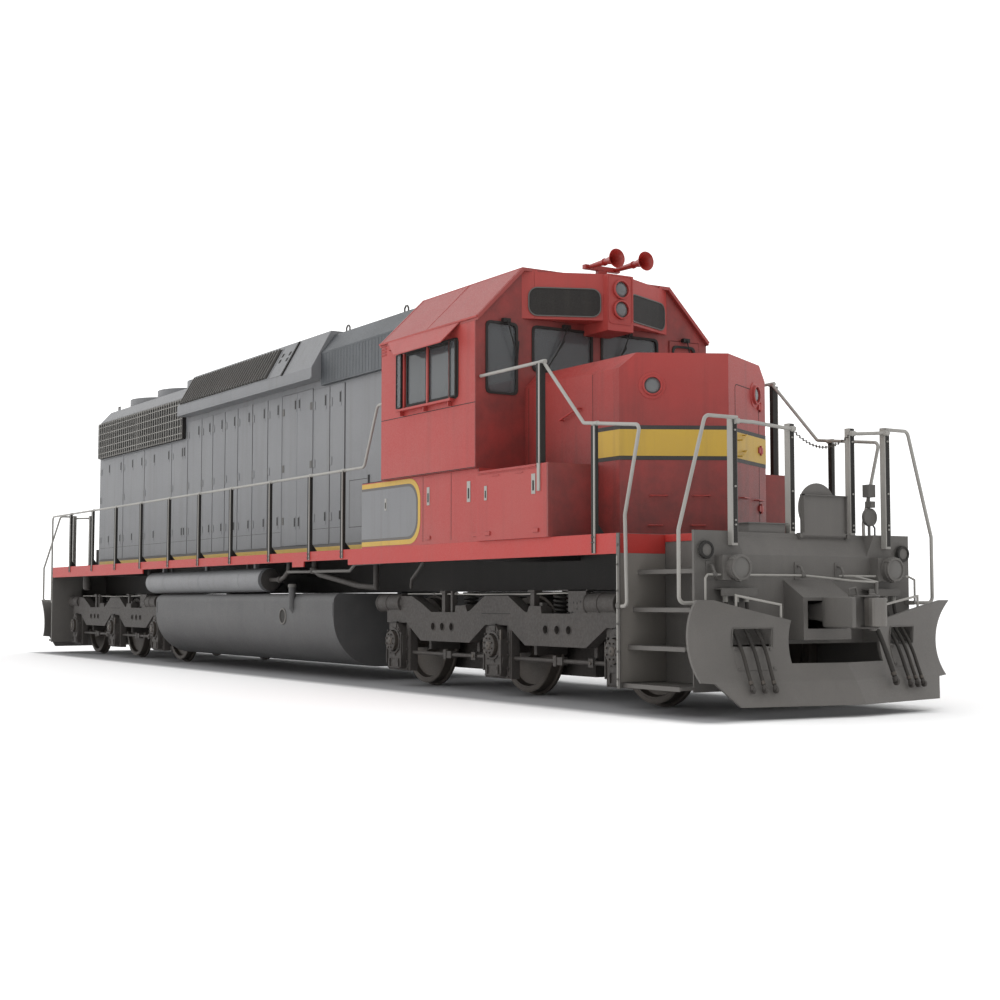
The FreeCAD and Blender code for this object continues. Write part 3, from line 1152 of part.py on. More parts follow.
def truck(name, centre):
    """Three-axle truck: side frames, brakes, journal boxes, cross beams, bowl and motors."""
    x = "%s_truck_x" % name
    axles = (-1, 0, 1)
    pieces = []
    cuts = []
    axle_z = "wheel_radius + flange_high"
    for side in (1, -1):
        y = side_of(side, "frame_in", "frame_out")
        low, high = sorted((side * V.frame_in, side * V.frame_out))
        pieces.append(solid(along(frame_outline(centre), low, high)))
        box_low, box_high = sorted((side * (V.frame_in - 30), side * V.journal_out))
        for axle in axles:
            at = "%s + %d * axle_pitch" % (x, axle)
            for leg in (-1, 1):
                leg_x = "%s + %d * (truck_past - 45)" % (at, leg)
                pieces.append(slab((leg_x + " - 45", leg_x + " + 45"),
                                   side_of(side, "frame_in", "frame_out - 30"),
                                   ("pedestal_low", "arch_top + 10")))
                if axle * leg < 1:
                    shoe = "%s + %d * (wheel_radius + flange_high + 30)" % (at, leg)
                    pieces.append(slab((shoe + " - 25", shoe + " + 25"),
                                       side_of(side, "wheel_back + 20", "frame_in + 5"), (450, 650)))
            pieces.append(slab((at + " - truck_past", at + " + truck_past"),
                               side_of(side, "frame_in + 30", "frame_out - 30"),
                               ("pedestal_low", "pedestal_low + 40")))
            pieces.append(solid(along(journal_outline(centre + axle * V.axle_pitch), box_low, box_high)))
            cuts.append(rod("axle_radius + seat_gap",
                            (at, "frame_in - 60" if side > 0 else "-journal_out - 30", axle_z), 260, "y"))
        for gap in (-1, 1):
            start = "%s + %s" % (x, "truck_past - 5" if gap > 0 else "truck_past - 5 - axle_pitch")
            pieces.append(rod(22, (start, "%d * (frame_in + 50)" % side, 405),
                              "axle_pitch - 2 * truck_past + 10", "x"))
            between = "%s + %d * axle_pitch / 2" % (x, gap)
            pieces.append(slab((between + " - 70", between + " + 70"),
                               side_of(side, "frame_in + 15", "frame_in + 85"), (365, 445)))
            for hole in (-205, 0, 205):
                cuts.append(rod(42, ("%s + %d * (axle_pitch / 2 + 45) + %d" % (x, gap, hole),
                                     y[0] + " - 10", 718), "frame_out - frame_in + 20", "y"))
        cylinder_y = "%d * (frame_out - 65)" % side
        for start, length in ((x + " - truck_half - 220", 560), (x + " + truck_half - 830", 520)):
            pieces.append(rod("cylinder_radius", (start, cylinder_y, "cylinder_high"), length, "x"))
            pieces.append(rod("cylinder_radius - 40", (start + " - 30", cylinder_y, "cylinder_high"),
                              40, "x"))
    for beam in (-1, 1):
        at = "%s + %d * axle_pitch / 2" % (x, beam)
        pieces.append(slab((at + " - 200", at + " + 200"), ("-frame_in - 5", "frame_in + 5"), (620, 860)))
    for side in (1, -1):
        pieces.append(slab((x + " - axle_pitch / 2", x + " + axle_pitch / 2"), side_of(side, 300, 560),
                           (800, 980)))
    pieces.append(slab((x + " - 330", x + " + 330"), (-560, 560), (800, 980)))
    pieces.append(rod(320, (x, 0, 970), "bowl_top - 970", "z"))
    for axle, turn in ((-1, 1), (0, 1), (1, -1)):
        at = "%s + %d * axle_pitch" % (x, axle)
        near, far = "axle_radius + 35", "axle_pitch / 2 - 200"
        span = (at + " + " + near, at + " + " + far)
        if turn < 0:
            span = (at + " - (%s)" % far, at + " - (%s)" % near)
        pieces.append(slab(span, (-560, 560), (220, 760)))
    node(name + "_truck_frame", pieces, cuts)
    for axle, word in zip(axles, ("rear", "middle", "front")):
        wheelset("%s_truck_wheelset_%s" % (name, word), centre + axle * V.axle_pitch)


# ---------------------------------------------------------------------- hoses
# Control hoses: ahead of the end plate, above the flanges, and how much of the plow's lead each
# point follows
HOSE_LINE = [(50, 1108, 0), (50, 1005, 0), (78, 900, 0), (138, 812, 0.4), (212, 730, 1),
             (292, 630, 1), (362, 510, 1), (415, 390, 1), (475, 280, 1)]
# name, top and foot across the locomotive
HOSES = [
    ("hose_right_outer", -1015, -1070), ("hose_right_middle", -890, -955), ("hose_right_inner", -774, -852),
    ("hose_left_inner", 829, 767), ("hose_left_middle", 947, 880), ("hose_left_outer", 1054, 980),
]
# Brake pipe hose: ahead of the end plate, across, above the flanges
BRAKE_LINE = [(50, 460, 950), (145, 460, 950), (240, 463, 918), (328, 468, 855), (398, 474, 760),
              (450, 481, 655), (494, 490, 545), (533, 502, 435), (568, 516, 325)]


def hose(label, points, radius):
    """A hanging hose: straight runs joined by arcs as large as the runs allow."""
    path = [Vec(*point) for point in points]
    edges = []
    radii = []
    start = path[0]
    for before, corner, after in zip(path, path[1:], path[2:]):
        way_in, way_out = before - corner, after - corner
        back = 0.45 * min(way_in.Length, way_out.Length)
        way_in.normalize()
        way_out.normalize()
        half = way_in.getAngle(way_out) / 2
        bend = back * math.tan(half)
        middle = (way_in + way_out).normalize()
        arc_end = corner + way_out * back
        edges.append(Part.makeLine(start, corner + way_in * back))
        edges.append(Part.Arc(corner + way_in * back, corner + middle * (bend / math.sin(half) - bend),
                              arc_end).toShape())
        radii.append(bend)
        start = arc_end
    edges.append(Part.makeLine(start, path[-1]))
    spine = Part.Wire(edges)
    circle = Part.Wire([Part.makeCircle(radius, path[0], path[1] - path[0])])
    tube = spine.makePipeShell([circle], True, False)
    share = tube.Volume / (math.pi * radius ** 2 * spine.Length)
    print(label, "length %.0f" % spine.Length, "tightest %.0f" % min(radii), "volume share %.3f" % share)
    node(label, [solid(tube)])
    way = (path[-1] - path[-2]).normalize()
    head = Part.makeCylinder(radius + 6, 42, path[-1], way)
    jaw = Part.makeCylinder(radius + 14, 26, path[-1] + way * (radius + 16) - Vec(0, 13, 0), Vec(0, 1, 0))
    return solid(head.fuse(jaw))


def hoses():
    """Control hoses through the front plow's windows and the brake pipe hose, with their couplings."""
    couplings = []
    for label, top_y, foot_y in HOSES:
        points = []
        for index, (ahead, z, follows) in enumerate(HOSE_LINE):
            y = top_y + (foot_y - top_y) * max(index - 1, 0) / (len(HOSE_LINE) - 2)
            lead = V.plow_lead * (1 - abs(y) / V.plow_half) - V.hose_lead
            points.append((V.platform_half + ahead + follows * lead, y, z))
        couplings.append(hose(label, points, V.hose_radius))
    couplings.append(hose("brake_hose", [(V.platform_half + ahead, y, z) for ahead, y, z in BRAKE_LINE],
                          V.brake_hose_radius))
    node("hose_couplings", couplings, touching=False)


for build in (underframe, end_platforms, plows, fuel_tank, air_reservoirs, engine,
              long_hood, hood_panels, hood_doors, radiator_grilles, brake_housing, filter_hatch,
              fan_housings, fans, exhaust_stack, cab_base, cab_walls, cab_roof, cab_glass,
              cab_doors, cab_interior, nose, sign_box, horns, awnings,
              battery_boxes, side_handrails, end_handrails, hoses):
    build()
for end, name in ((1, "front"), (-1, "rear")):
    coupler(end, name)
    drop_step(end, name)
truck("front", V.front_truck_x)
truck("rear", V.rear_truck_x)

doc.recompute()
for thing in doc.Objects:
    if "Invalid" in thing.State or "Error" in thing.State:
        raise RuntimeError("%s failed: %s" % (thing.Label, thing.State))
os.makedirs("parts", exist_ok=True)
for body in nodes:
    if body.Shape.isNull() or not body.Shape.isValid():
        raise RuntimeError(body.Label + " has no valid shape")
    body.Shape.exportStep("parts/%s.step" % body.Label)
print("nodes", len(nodes))
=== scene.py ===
"""Looks of a six-axle diesel road-switcher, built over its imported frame.

Lengths are metres in the frame's own axes: +X forward, +Y to the left, +Z up.
"""
from __future__ import annotations

import logging
import math
from dataclasses import dataclass, field
from enum import Enum
from typing import Callable, Sequence

import bmesh
import bpy
from mathutils import Matrix, Vector

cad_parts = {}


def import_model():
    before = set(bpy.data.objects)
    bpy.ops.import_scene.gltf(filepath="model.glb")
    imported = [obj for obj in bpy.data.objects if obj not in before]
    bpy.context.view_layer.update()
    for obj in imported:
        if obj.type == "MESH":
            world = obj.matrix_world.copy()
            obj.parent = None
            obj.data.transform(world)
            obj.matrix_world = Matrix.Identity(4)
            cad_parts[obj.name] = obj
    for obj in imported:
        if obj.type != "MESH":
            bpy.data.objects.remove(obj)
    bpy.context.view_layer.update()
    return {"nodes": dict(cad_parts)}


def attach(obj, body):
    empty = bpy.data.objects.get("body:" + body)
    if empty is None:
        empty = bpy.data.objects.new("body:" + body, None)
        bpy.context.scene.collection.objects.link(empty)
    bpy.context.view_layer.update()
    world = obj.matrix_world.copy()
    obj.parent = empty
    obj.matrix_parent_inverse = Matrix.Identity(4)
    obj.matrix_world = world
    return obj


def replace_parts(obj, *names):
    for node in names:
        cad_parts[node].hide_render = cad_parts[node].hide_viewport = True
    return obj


log = logging.getLogger("locomotive")
Point = tuple[float, float, float]
Pair = tuple[float, float]

# Right and left of the object, and its two ends
SIDES = (-1, 1)
ENDS = ((1, "front"), (-1, "rear"))
HANDS = ((-1, "right"), (1, "left"))
# Directions of turned bodies
UP, AHEAD = (0, 0, 1), (1, 0, 0)
# Faces that meet at less than this many degrees are shaded as one
SMOOTH_BELOW = 35


# ------------------------------------------------------------------ small tools
def linear(hex_colour: str) -> tuple[float, float, float, float]:
    """Turn an sRGB hex colour into the linear colour that a shader takes.

    Args:
        hex_colour: six hex digits, with or without a leading hash.

    Returns:
        Linear red, green, blue and an alpha of one.
    """
    digits = hex_colour.lstrip("#")
    channels = [int(digits[place:place + 2], 16) / 255 for place in (0, 2, 4)]
    red, green, blue = [part / 12.92 if part <= 0.04045 else ((part + 0.055) / 1.055) ** 2.4
                        for part in channels]
    return (red, green, blue, 1.0)


def add(tree: bpy.types.NodeTree, kind: str, settings: dict | None = None,
        links: dict | None = None) -> bpy.types.Node:
    """Add one node to a tree.

    Args:
        tree: material or geometry tree that takes the node.
        kind: the node's class name.
        settings: socket names, socket numbers or attributes, with their values.
        links: socket names or numbers, with the output that feeds each.

    Returns:
        The new node.
    """
    node = tree.nodes.new(kind)
    for name, value in (settings or {}).items():
        if isinstance(name, str) and hasattr(node, name):
            setattr(node, name, value)
        else:
            node.inputs[name].default_value = value
    for name, source in (links or {}).items():
        tree.links.new(source, node.inputs[name])
    return node


def ramp(tree: bpy.types.NodeTree, value: bpy.types.NodeSocket, given: Pair,
         wanted: Pair) -> bpy.types.NodeSocket:
    """Map one range of values to another, and stop at its ends.

    Args:
        tree: the tree that takes the node.
        value: what is mapped.
        given: the value's range.
        wanted: the result's range.

    Returns:
        The result's socket.
    """
    return add(tree, "ShaderNodeMapRange", {"From Min": given[0], "From Max": given[1],
                                            "To Min": wanted[0], "To Max": wanted[1]},
               {"Value": value}).outputs["Result"]


def reckon(tree: bpy.types.NodeTree, operation: str, first: bpy.types.NodeSocket,
           second: bpy.types.NodeSocket | float = 0.0, clamp: bool = False) -> bpy.types.NodeSocket:
    """Work out one sum.

    Args:
        tree: the tree that takes the node.
        operation: the sum's name, such as MULTIPLY.
        first: its first value.
        second: its second value, where it has one.
        clamp: whether the result stays between nought and one.

    Returns:
        The result's socket.
    """
    node = add(tree, "ShaderNodeMath", {"operation": operation, "use_clamp": clamp}, {0: first})
    if isinstance(second, bpy.types.NodeSocket):
        tree.links.new(second, node.inputs[1])
    else:
        node.inputs[1].default_value = second
    return node.outputs["Value"]


def noise(tree: bpy.types.NodeTree, place: bpy.types.NodeSocket, scale: float, detail: float,
          roughness: float = 0.5) -> bpy.types.NodeSocket:
    """Give a cloudy pattern's value.

    Args:
        tree: the material's tree.
        place: the coordinates that it follows.
        scale: patches in a metre.
        detail: octaves.
        roughness: how strong the finer octaves are.

    Returns:
        The pattern's socket.
    """
    return add(tree, "ShaderNodeTexNoise", {"Scale": scale, "Detail": detail, "Roughness": roughness},
               {"Vector": place}).outputs["Fac"]


def stand(name: str, data: bpy.types.ID) -> bpy.types.Object:
    """Make an object of some data and put it in the scene.

    Args:
        name: the object's name.
        data: its mesh, curve, camera or lamp.

    Returns:
        The object.
    """
    thing = bpy.data.objects.new(name, data)
    bpy.context.scene.collection.objects.link(thing)
    return thing


def blank(name: str) -> tuple[bpy.types.Material, bpy.types.Node]:
    """Begin a material.

    Args:
        name: its name.

    Returns:
        The material and its shader.
    """
    material = bpy.data.materials.new(name)
    material.use_nodes = True
    return material, material.node_tree.nodes["Principled BSDF"]


def circle(middle: Vector, way: Vector, radius: float, sides: int) -> list[Vector]:
    """Set points round a direction.

    Args:
        middle: the circle's middle.
        way: the direction, one long.
        radius: the circle's radius.
        sides: how many points.

    Returns:
        The points in order.
    """
    aside = way.orthogonal().normalized()
    over = way.cross(aside)
    turns = [2 * math.pi * step / sides for step in range(sides)]
    return [middle + (aside * math.cos(turn) + over * math.sin(turn)) * radius for turn in turns]


def about(middle: float, half: float) -> Pair:
    """Give the range that reaches equally far to both sides of a middle."""
    return (middle - half, middle + half)


def span_of(side: int, low: float, high: float) -> Pair:
    """Mirror a range to one side.

    Args:
        side: one or minus one.
        low: smaller distance from the middle.
        high: larger distance from the middle.

    Returns:
        The range in rising order.
    """
    return (low, high) if side > 0 else (-high, -low)


# -------------------------------------------------------------------- finishes
@dataclass(frozen=True)
class Paint:
    """Sprayed enamel on steel plate, aged outdoors: soft fading, rain streaks and road dust, and on some finishes
    painted shade in patches on the faces that look forward.
    """

    name: str
    colour: str
    faded: str
    dust: str = "6E675F"
    fade: float = 0.45
    streaks: float = 0.25
    dusty: float = 0.25
    dust_base: float = 0.0
    dust_top: float = 2.2
    front_shade_and_grime: float = 0.0
    front_shade_from: float = 0.0
    roughness: float = 0.5
    metallic: float = 0.0
    bump: float = 0.0006
    grain_mm: float = 6.0
    edge: float = 0.006

    def make(self) -> bpy.types.Material:
        """Build the material.

        Returns:
            A material on Object coordinates.
        """
        material, shader = blank(self.name)
        tree = material.node_tree
        place = add(tree, "ShaderNodeTexCoord").outputs["Object"]
        colour = self.surface_colour(tree, place)
        tree.links.new(self.dirtied(tree, place, colour), shader.inputs["Base Color"])
        shader.inputs["Metallic"].default_value = self.metallic
        fine = noise(tree, place, 1000 / self.grain_mm / 2, 4.0)
        rough = ramp(tree, fine, (0.3, 0.7), (self.roughness - 0.08, self.roughness + 0.12))
        tree.links.new(rough, shader.inputs["Roughness"])
        softened = add(tree, "ShaderNodeBevel", {"samples": 4, "Radius": self.edge})
        bump = add(tree, "ShaderNodeBump", {"Strength": 0.35, "Distance": self.bump * 4},
                   {"Height": fine, "Normal": softened.outputs["Normal"]})
        tree.links.new(bump.outputs["Normal"], shader.inputs["Normal"])
        return material

    def surface_colour(self, tree: bpy.types.NodeTree,
                       place: bpy.types.NodeSocket) -> bpy.types.NodeSocket:
        """Give the clean colour, here one fading paint.

        Args:
            tree: the material's tree.
            place: Object coordinates.

        Returns:
            The colour's socket.
        """
        amount = ramp(tree, noise(tree, place, 0.9, 6.0, 0.62), (0.35, 0.68), (0.0, self.fade))
        return mix(tree, amount, linear(self.colour), linear(self.faded))

    def dirtied(self, tree: bpy.types.NodeTree, place: bpy.types.NodeSocket,
                colour: bpy.types.NodeSocket) -> bpy.types.NodeSocket:
        """Lay rain streaks and road dust over a colour, and painted shade in patches on what lies ahead of a plane
        across X.

        Args:
            tree: the material's tree.
            place: Object coordinates.
            colour: the clean colour.

        Returns:
            The dirtied colour's socket.
        """
        stretched = add(tree, "ShaderNodeMapping", {"Scale": (5.0, 5.0, 0.28)}, {"Vector": place})
        streak = noise(tree, stretched.outputs["Vector"], 1.6, 5.0, 0.6)
        wash = ramp(tree, streak, (0.5, 0.78), (0.0, self.streaks))
        washed = mix(tree, wash, colour, linear(self.dust))
        height = add(tree, "ShaderNodeSeparateXYZ", {}, {"Vector": place})
        low = ramp(tree, height.outputs["Z"], (self.dust_base, self.dust_top), (self.dusty, 0.0))
        patches = reckon(tree, "MULTIPLY", noise(tree, place, 3.4, 7.0, 0.66), 1.7)
        thick = reckon(tree, "MULTIPLY", low, patches, clamp=True)
        dusted = mix(tree, thick, washed, linear(self.dust))
        if not self.front_shade_and_grime:
            return dusted
        # painted shade: what lies ahead of a plane across X, the faces that look forward and away from the light,
        # is darkened in patches
        ahead = ramp(tree, height.outputs["X"], (self.front_shade_from, self.front_shade_from + 0.02), (0.0, self.front_shade_and_grime))
        shade_and_grime = reckon(tree, "MULTIPLY", ahead, patches, clamp=True)
        return mix(tree, shade_and_grime, dusted, linear(self.dust))


def mix(tree: bpy.types.NodeTree, amount: bpy.types.NodeSocket | float,
        first: bpy.types.NodeSocket | Sequence[float],
        second: bpy.types.NodeSocket | Sequence[float]) -> bpy.types.NodeSocket:
    """Blend two colours.

    Args:
        tree: the material's tree.
        amount: how much of the second, from nought to one.
        first: a socket or a linear colour.
        second: a socket or a linear colour.

    Returns:
        The blend's socket.
    """
    node = add(tree, "ShaderNodeMix", {"data_type": "RGBA"})
    for number, value in ((0, amount), (6, first), (7, second)):
        if isinstance(value, bpy.types.NodeSocket):
            tree.links.new(value, node.inputs[number])
        else:
            node.inputs[number].default_value = value
    return node.outputs[2]


@dataclass(frozen=True)
class Pane:
    """Flat tinted safety glass: dark, smooth and a little dusty."""

    name: str
    tint: str = "5A5E60"
    roughness: float = 0.10
    clear: float = 0.30

    def make(self) -> bpy.types.Material:
        """Build the material.

        Returns:
            A glass-like material that a blender view and an export both keep.
        """
        material, shader = blank(self.name)
        shader.inputs["Base Color"].default_value = linear(self.tint)
        shader.inputs["Roughness"].default_value = self.roughness
        shader.inputs["Alpha"].default_value = 1.0 - self.clear
        return material


class Finish(Enum):
    """The object's finishes, one for each real surface."""

    # red enamel gone chalky: fades towards pink on broad faces, brown dust gathers low down
    RED = Paint("weathered_red_enamel", "A0332F", "9C4A44", "53392F", fade=0.5, streaks=0.2, dusty=0.16)
    # the same enamel on the cab's roof, bleached by the sun
    ROOF_RED = Paint("sun_bleached_red_enamel", "923633", "96504B", "5A403A", fade=0.6, streaks=0.2,
                     dusty=0.2)
    # the same enamel on the cab: clean sides, and the wall that looks forward darkened in patches, partly grime and
    # partly painted shade on the face turned from the light
    CAB_RED = Paint("cab_red_enamel", "A0332F", "9C4A44", "3E2624", fade=0.5, streaks=0.2, dusty=0.0,
                    front_shade_and_grime=0.56, front_shade_from=6.35)
    # the same enamel on the battery boxes, with painted shade in patches on their forward ends, the faces turned
    # from the light
    BOX_RED = Paint("box_enamel_front_shade", "A0332F", "9C4A44", "3E2624", fade=0.5, streaks=0.2, dusty=0.1,
                    front_shade_and_grime=0.55, front_shade_from=7.68)
    # the same enamel on the nose: soot and brake dust thrown up from ahead darken it downwards
    NOSE_RED = Paint("sooty_nose_enamel", "A0332F", "93403B", "3A2523", fade=0.5, streaks=0.35, dusty=0.62,
                     dust_base=2.0, dust_top=3.5)
    # the same enamel on the sill in a brighter copy, painted light on its sunlit face, with a dusty lower edge
    SILL_RED = Paint("sill_red_enamel", "AA2B26", "A0362F", "6E5850", fade=0.4, streaks=0.1, dusty=0.03)
    # grey hood enamel: long rain streaks and a slow drift between lighter and darker panels
    GREY = Paint("hood_grey_enamel", "767779", "6B6C6F", "57524E", fade=0.6, streaks=0.3, dusty=0.25)
    # zinc-coated sheet: cooler and darker, with a broken, slightly metallic spangle
    ZINC = Paint("galvanised_hatch", "4A4D50", "5E6266", "3A3835", fade=0.7, streaks=0.3, metallic=0.4)
    # underframe paint under a coat of pale road dust that hides its sheen
    DARK = Paint("dusty_underframe_paint", "555350", "63605D", "6C6864", fade=0.6, dusty=0.45,
                 roughness=0.62)
    # rolled tank steel: broad soft patches where splashed oil darkened the dust
    TANK = Paint("dusty_tank_steel", "3E3E3F", "535354", "5E5C5A", fade=0.6, dusty=0.35, roughness=0.55)
    # sand-cast steel: coarse skin that catches light in grains, brake dust in its hollows
    CAST = Paint("rough_cast_steel", "322F2D", "413D3A", "4E4945", fade=0.6, dusty=0.45,
                 roughness=0.66, bump=0.002, grain_mm=14.0)
    # dark oily steel under the deck, also used as painted shade on the underframe's faces that look down and on the
    # dark blocks under the centre sill; it also darkens the nose band's edges and the reservoirs' end caps
    SHADE = Paint("dark_steel_and_painted_shade", "2E2C2B", "3A3735", "48433F", fade=0.6, dusty=0.3, roughness=0.6)
    # pale step-well plate: dry dust, and painted light that lifts the well's rear wall out of its shade
    DUST_AND_PAINTED_LIGHT = Paint("dusty_plate_painted_light", "76726D", "6A6661", "7D7871", fade=0.6, dusty=0.4, roughness=0.75)
    # knuckle steel painted much lighter than the head: worn metal, and a painted highlight on its face
    WORN_AND_HIGHLIGHT = Paint("knuckle_steel_worn_and_highlit", "6C6A67", "75706A", "554B43", fade=0.7, dusty=0.3, metallic=0.3,
                 roughness=0.5)
    # flat black paint inside grilles and vents, browned by soot
    BLACK = Paint("matt_black_paint", "161514", "26231F", "3E3934", fade=0.5, dusty=0.3, roughness=0.7)
    # off-white rail paint, rubbed smooth by gloves
    RAIL = Paint("pale_handrail_paint", "9B9994", "84827E", "6A6259", fade=0.5, edge=0.002)
    # tyre and pin steel: brown film with bare metal shining through
    STEEL = Paint("worn_wheel_steel", "4A4541", "5C554F", "6A6259", metallic=0.5, roughness=0.5)
    # newer glossy red on the cast horns
    HORN = Paint("red_horn_enamel", "9A2721", "88352C", fade=0.4, edge=0.002, roughness=0.35)
    # stripe enamel, thinner than the body's, dulled by the same dust
    YELLOW = Paint("stripe_yellow_enamel", "BE9B36", "AE8C45", "6E5F45", fade=0.5)
    # hose and gasket rubber: fine grain, bloomed grey where it bends
    RUBBER = Paint("black_rubber", "1A1918", "2A2826", "5A534B", fade=0.5, roughness=0.75, grain_mm=2.0)
    # seat vinyl: fine leather grain, polished where it is sat on
    VINYL = Paint("worn_black_vinyl", "1D1B1A", "2B2725", fade=0.5, roughness=0.55, grain_mm=3.0)
    # tinted safety glass: nearly black from outside, with the cab only just showing
    GLASS = Pane("dark_window_glass")
    # pressed glass lamp lenses, grey with dust
    LENS = Pane("lamp_lens", tint="6A6D6E", roughness=0.2, clear=0.1)
    # lenses low on the platforms, almost as dull as the dust round them
    DULL_LENS = Pane("dusty_lamp_lens", tint="5C5A57", roughness=0.45, clear=0.0)


@dataclass
class PaintShop:
    """Makes each finish once and gives it to pieces."""

    made: dict = field(default_factory=dict)

    def material(self, finish: Finish) -> bpy.types.Material:
        """Give a finish's material, made on its first use."""
        if finish not in self.made:
            self.made[finish] = finish.value.make()
        return self.made[finish]

    def dress(self, thing: bpy.types.Object, finish: Finish) -> None:
        """Put one finish on every slot of an object."""
        material = self.material(finish)
        if not thing.material_slots:
            thing.data.materials.append(material)
        for slot in thing.material_slots:
            slot.material = material


# Side sills are red outside this distance from the middle; the rest of the underframe is not
SILL_FACE = 1.505
# A face whose normal's Z lies below this looks down; on the underframe such faces are painted dark as shade
LOOKS_DOWN = -0.5

# The trucks' bodies and their middles along X
TRUCKS = (("front_truck", 6.22), ("rear_truck", -6.46))

# Node name beginnings and the finish of each: the first one that fits is taken
NODE_FINISHES: tuple[tuple[str, Finish], ...] = (
    ("underframe", Finish.SILL_RED), ("end_platforms", Finish.DARK), ("plows", Finish.DARK),
    ("fuel_tank", Finish.TANK), ("air_reservoirs", Finish.GREY), ("engine", Finish.DARK),
    ("long_hood", Finish.GREY), ("hood_", Finish.GREY), ("radiator_grilles", Finish.BLACK),
    ("brake_housing", Finish.GREY), ("filter_hatch", Finish.ZINC), ("fan_housings", Finish.GREY),
    ("radiator_fan", Finish.BLACK), ("brake_fan", Finish.BLACK), ("exhaust_stack", Finish.BLACK),
    ("cab_glass", Finish.GLASS), ("cab_interior", Finish.VINYL),
    ("cab_roof", Finish.ROOF_RED), ("cab_walls", Finish.CAB_RED), ("cab_door", Finish.CAB_RED),
    ("cab_", Finish.RED),
    ("nose", Finish.NOSE_RED), ("sign_box", Finish.RED), ("horns", Finish.HORN), ("awnings", Finish.RED),
    ("battery", Finish.BOX_RED), ("side_handrails", Finish.RAIL), ("end_handrails", Finish.RAIL),
    ("coupler", Finish.CAST), ("knuckle", Finish.WORN_AND_HIGHLIGHT), ("drop_step", Finish.DARK),
    ("hose_couplings", Finish.CAST), ("hose_", Finish.RUBBER), ("brake_hose", Finish.RUBBER),
    ("front_truck_wheelset", Finish.STEEL), ("rear_truck_wheelset", Finish.STEEL),
    ("front_truck", Finish.CAST), ("rear_truck", Finish.CAST),
)


# ------------------------------------------------------------------ mesh tools
def rounded(across: Pair, up: Pair, radius: float, steps: int = 5) -> list[Pair]:
    """Outline of a rectangle with round corners.

    Args:
        across: range along the first direction.
        up: range along the second direction.
        radius: radius of the corners.
        steps: points on each corner.

    Returns:
        The outline's points in order.
    """
    points = []
    corners = ((across[1] - radius, up[1] - radius, 0), (across[0] + radius, up[1] - radius, 90),
               (across[0] + radius, up[0] + radius, 180), (across[1] - radius, up[0] + radius, 270))
    for centre_a, centre_b, start in corners:
        for step in range(steps + 1):
            angle = math.radians(start + 90 * step / steps)
            points.append((centre_a + radius * math.cos(angle), centre_b + radius * math.sin(angle)))
    return points


def spread(axis: str, outline: Sequence[Pair], level: float) -> list[Point]:
    """Set a flat outline across one axis.

    Args:
        axis: x, y or z, the outline's normal.
        outline: pairs along the other two axes, in their order.
        level: place along the axis.

    Returns:
        The outline's points in space.
    """
    if axis == "x":
        return [(level, first, second) for first, second in outline]
    if axis == "y":
        return [(first, level, second) for first, second in outline]
    return [(first, second, level) for first, second in outline]


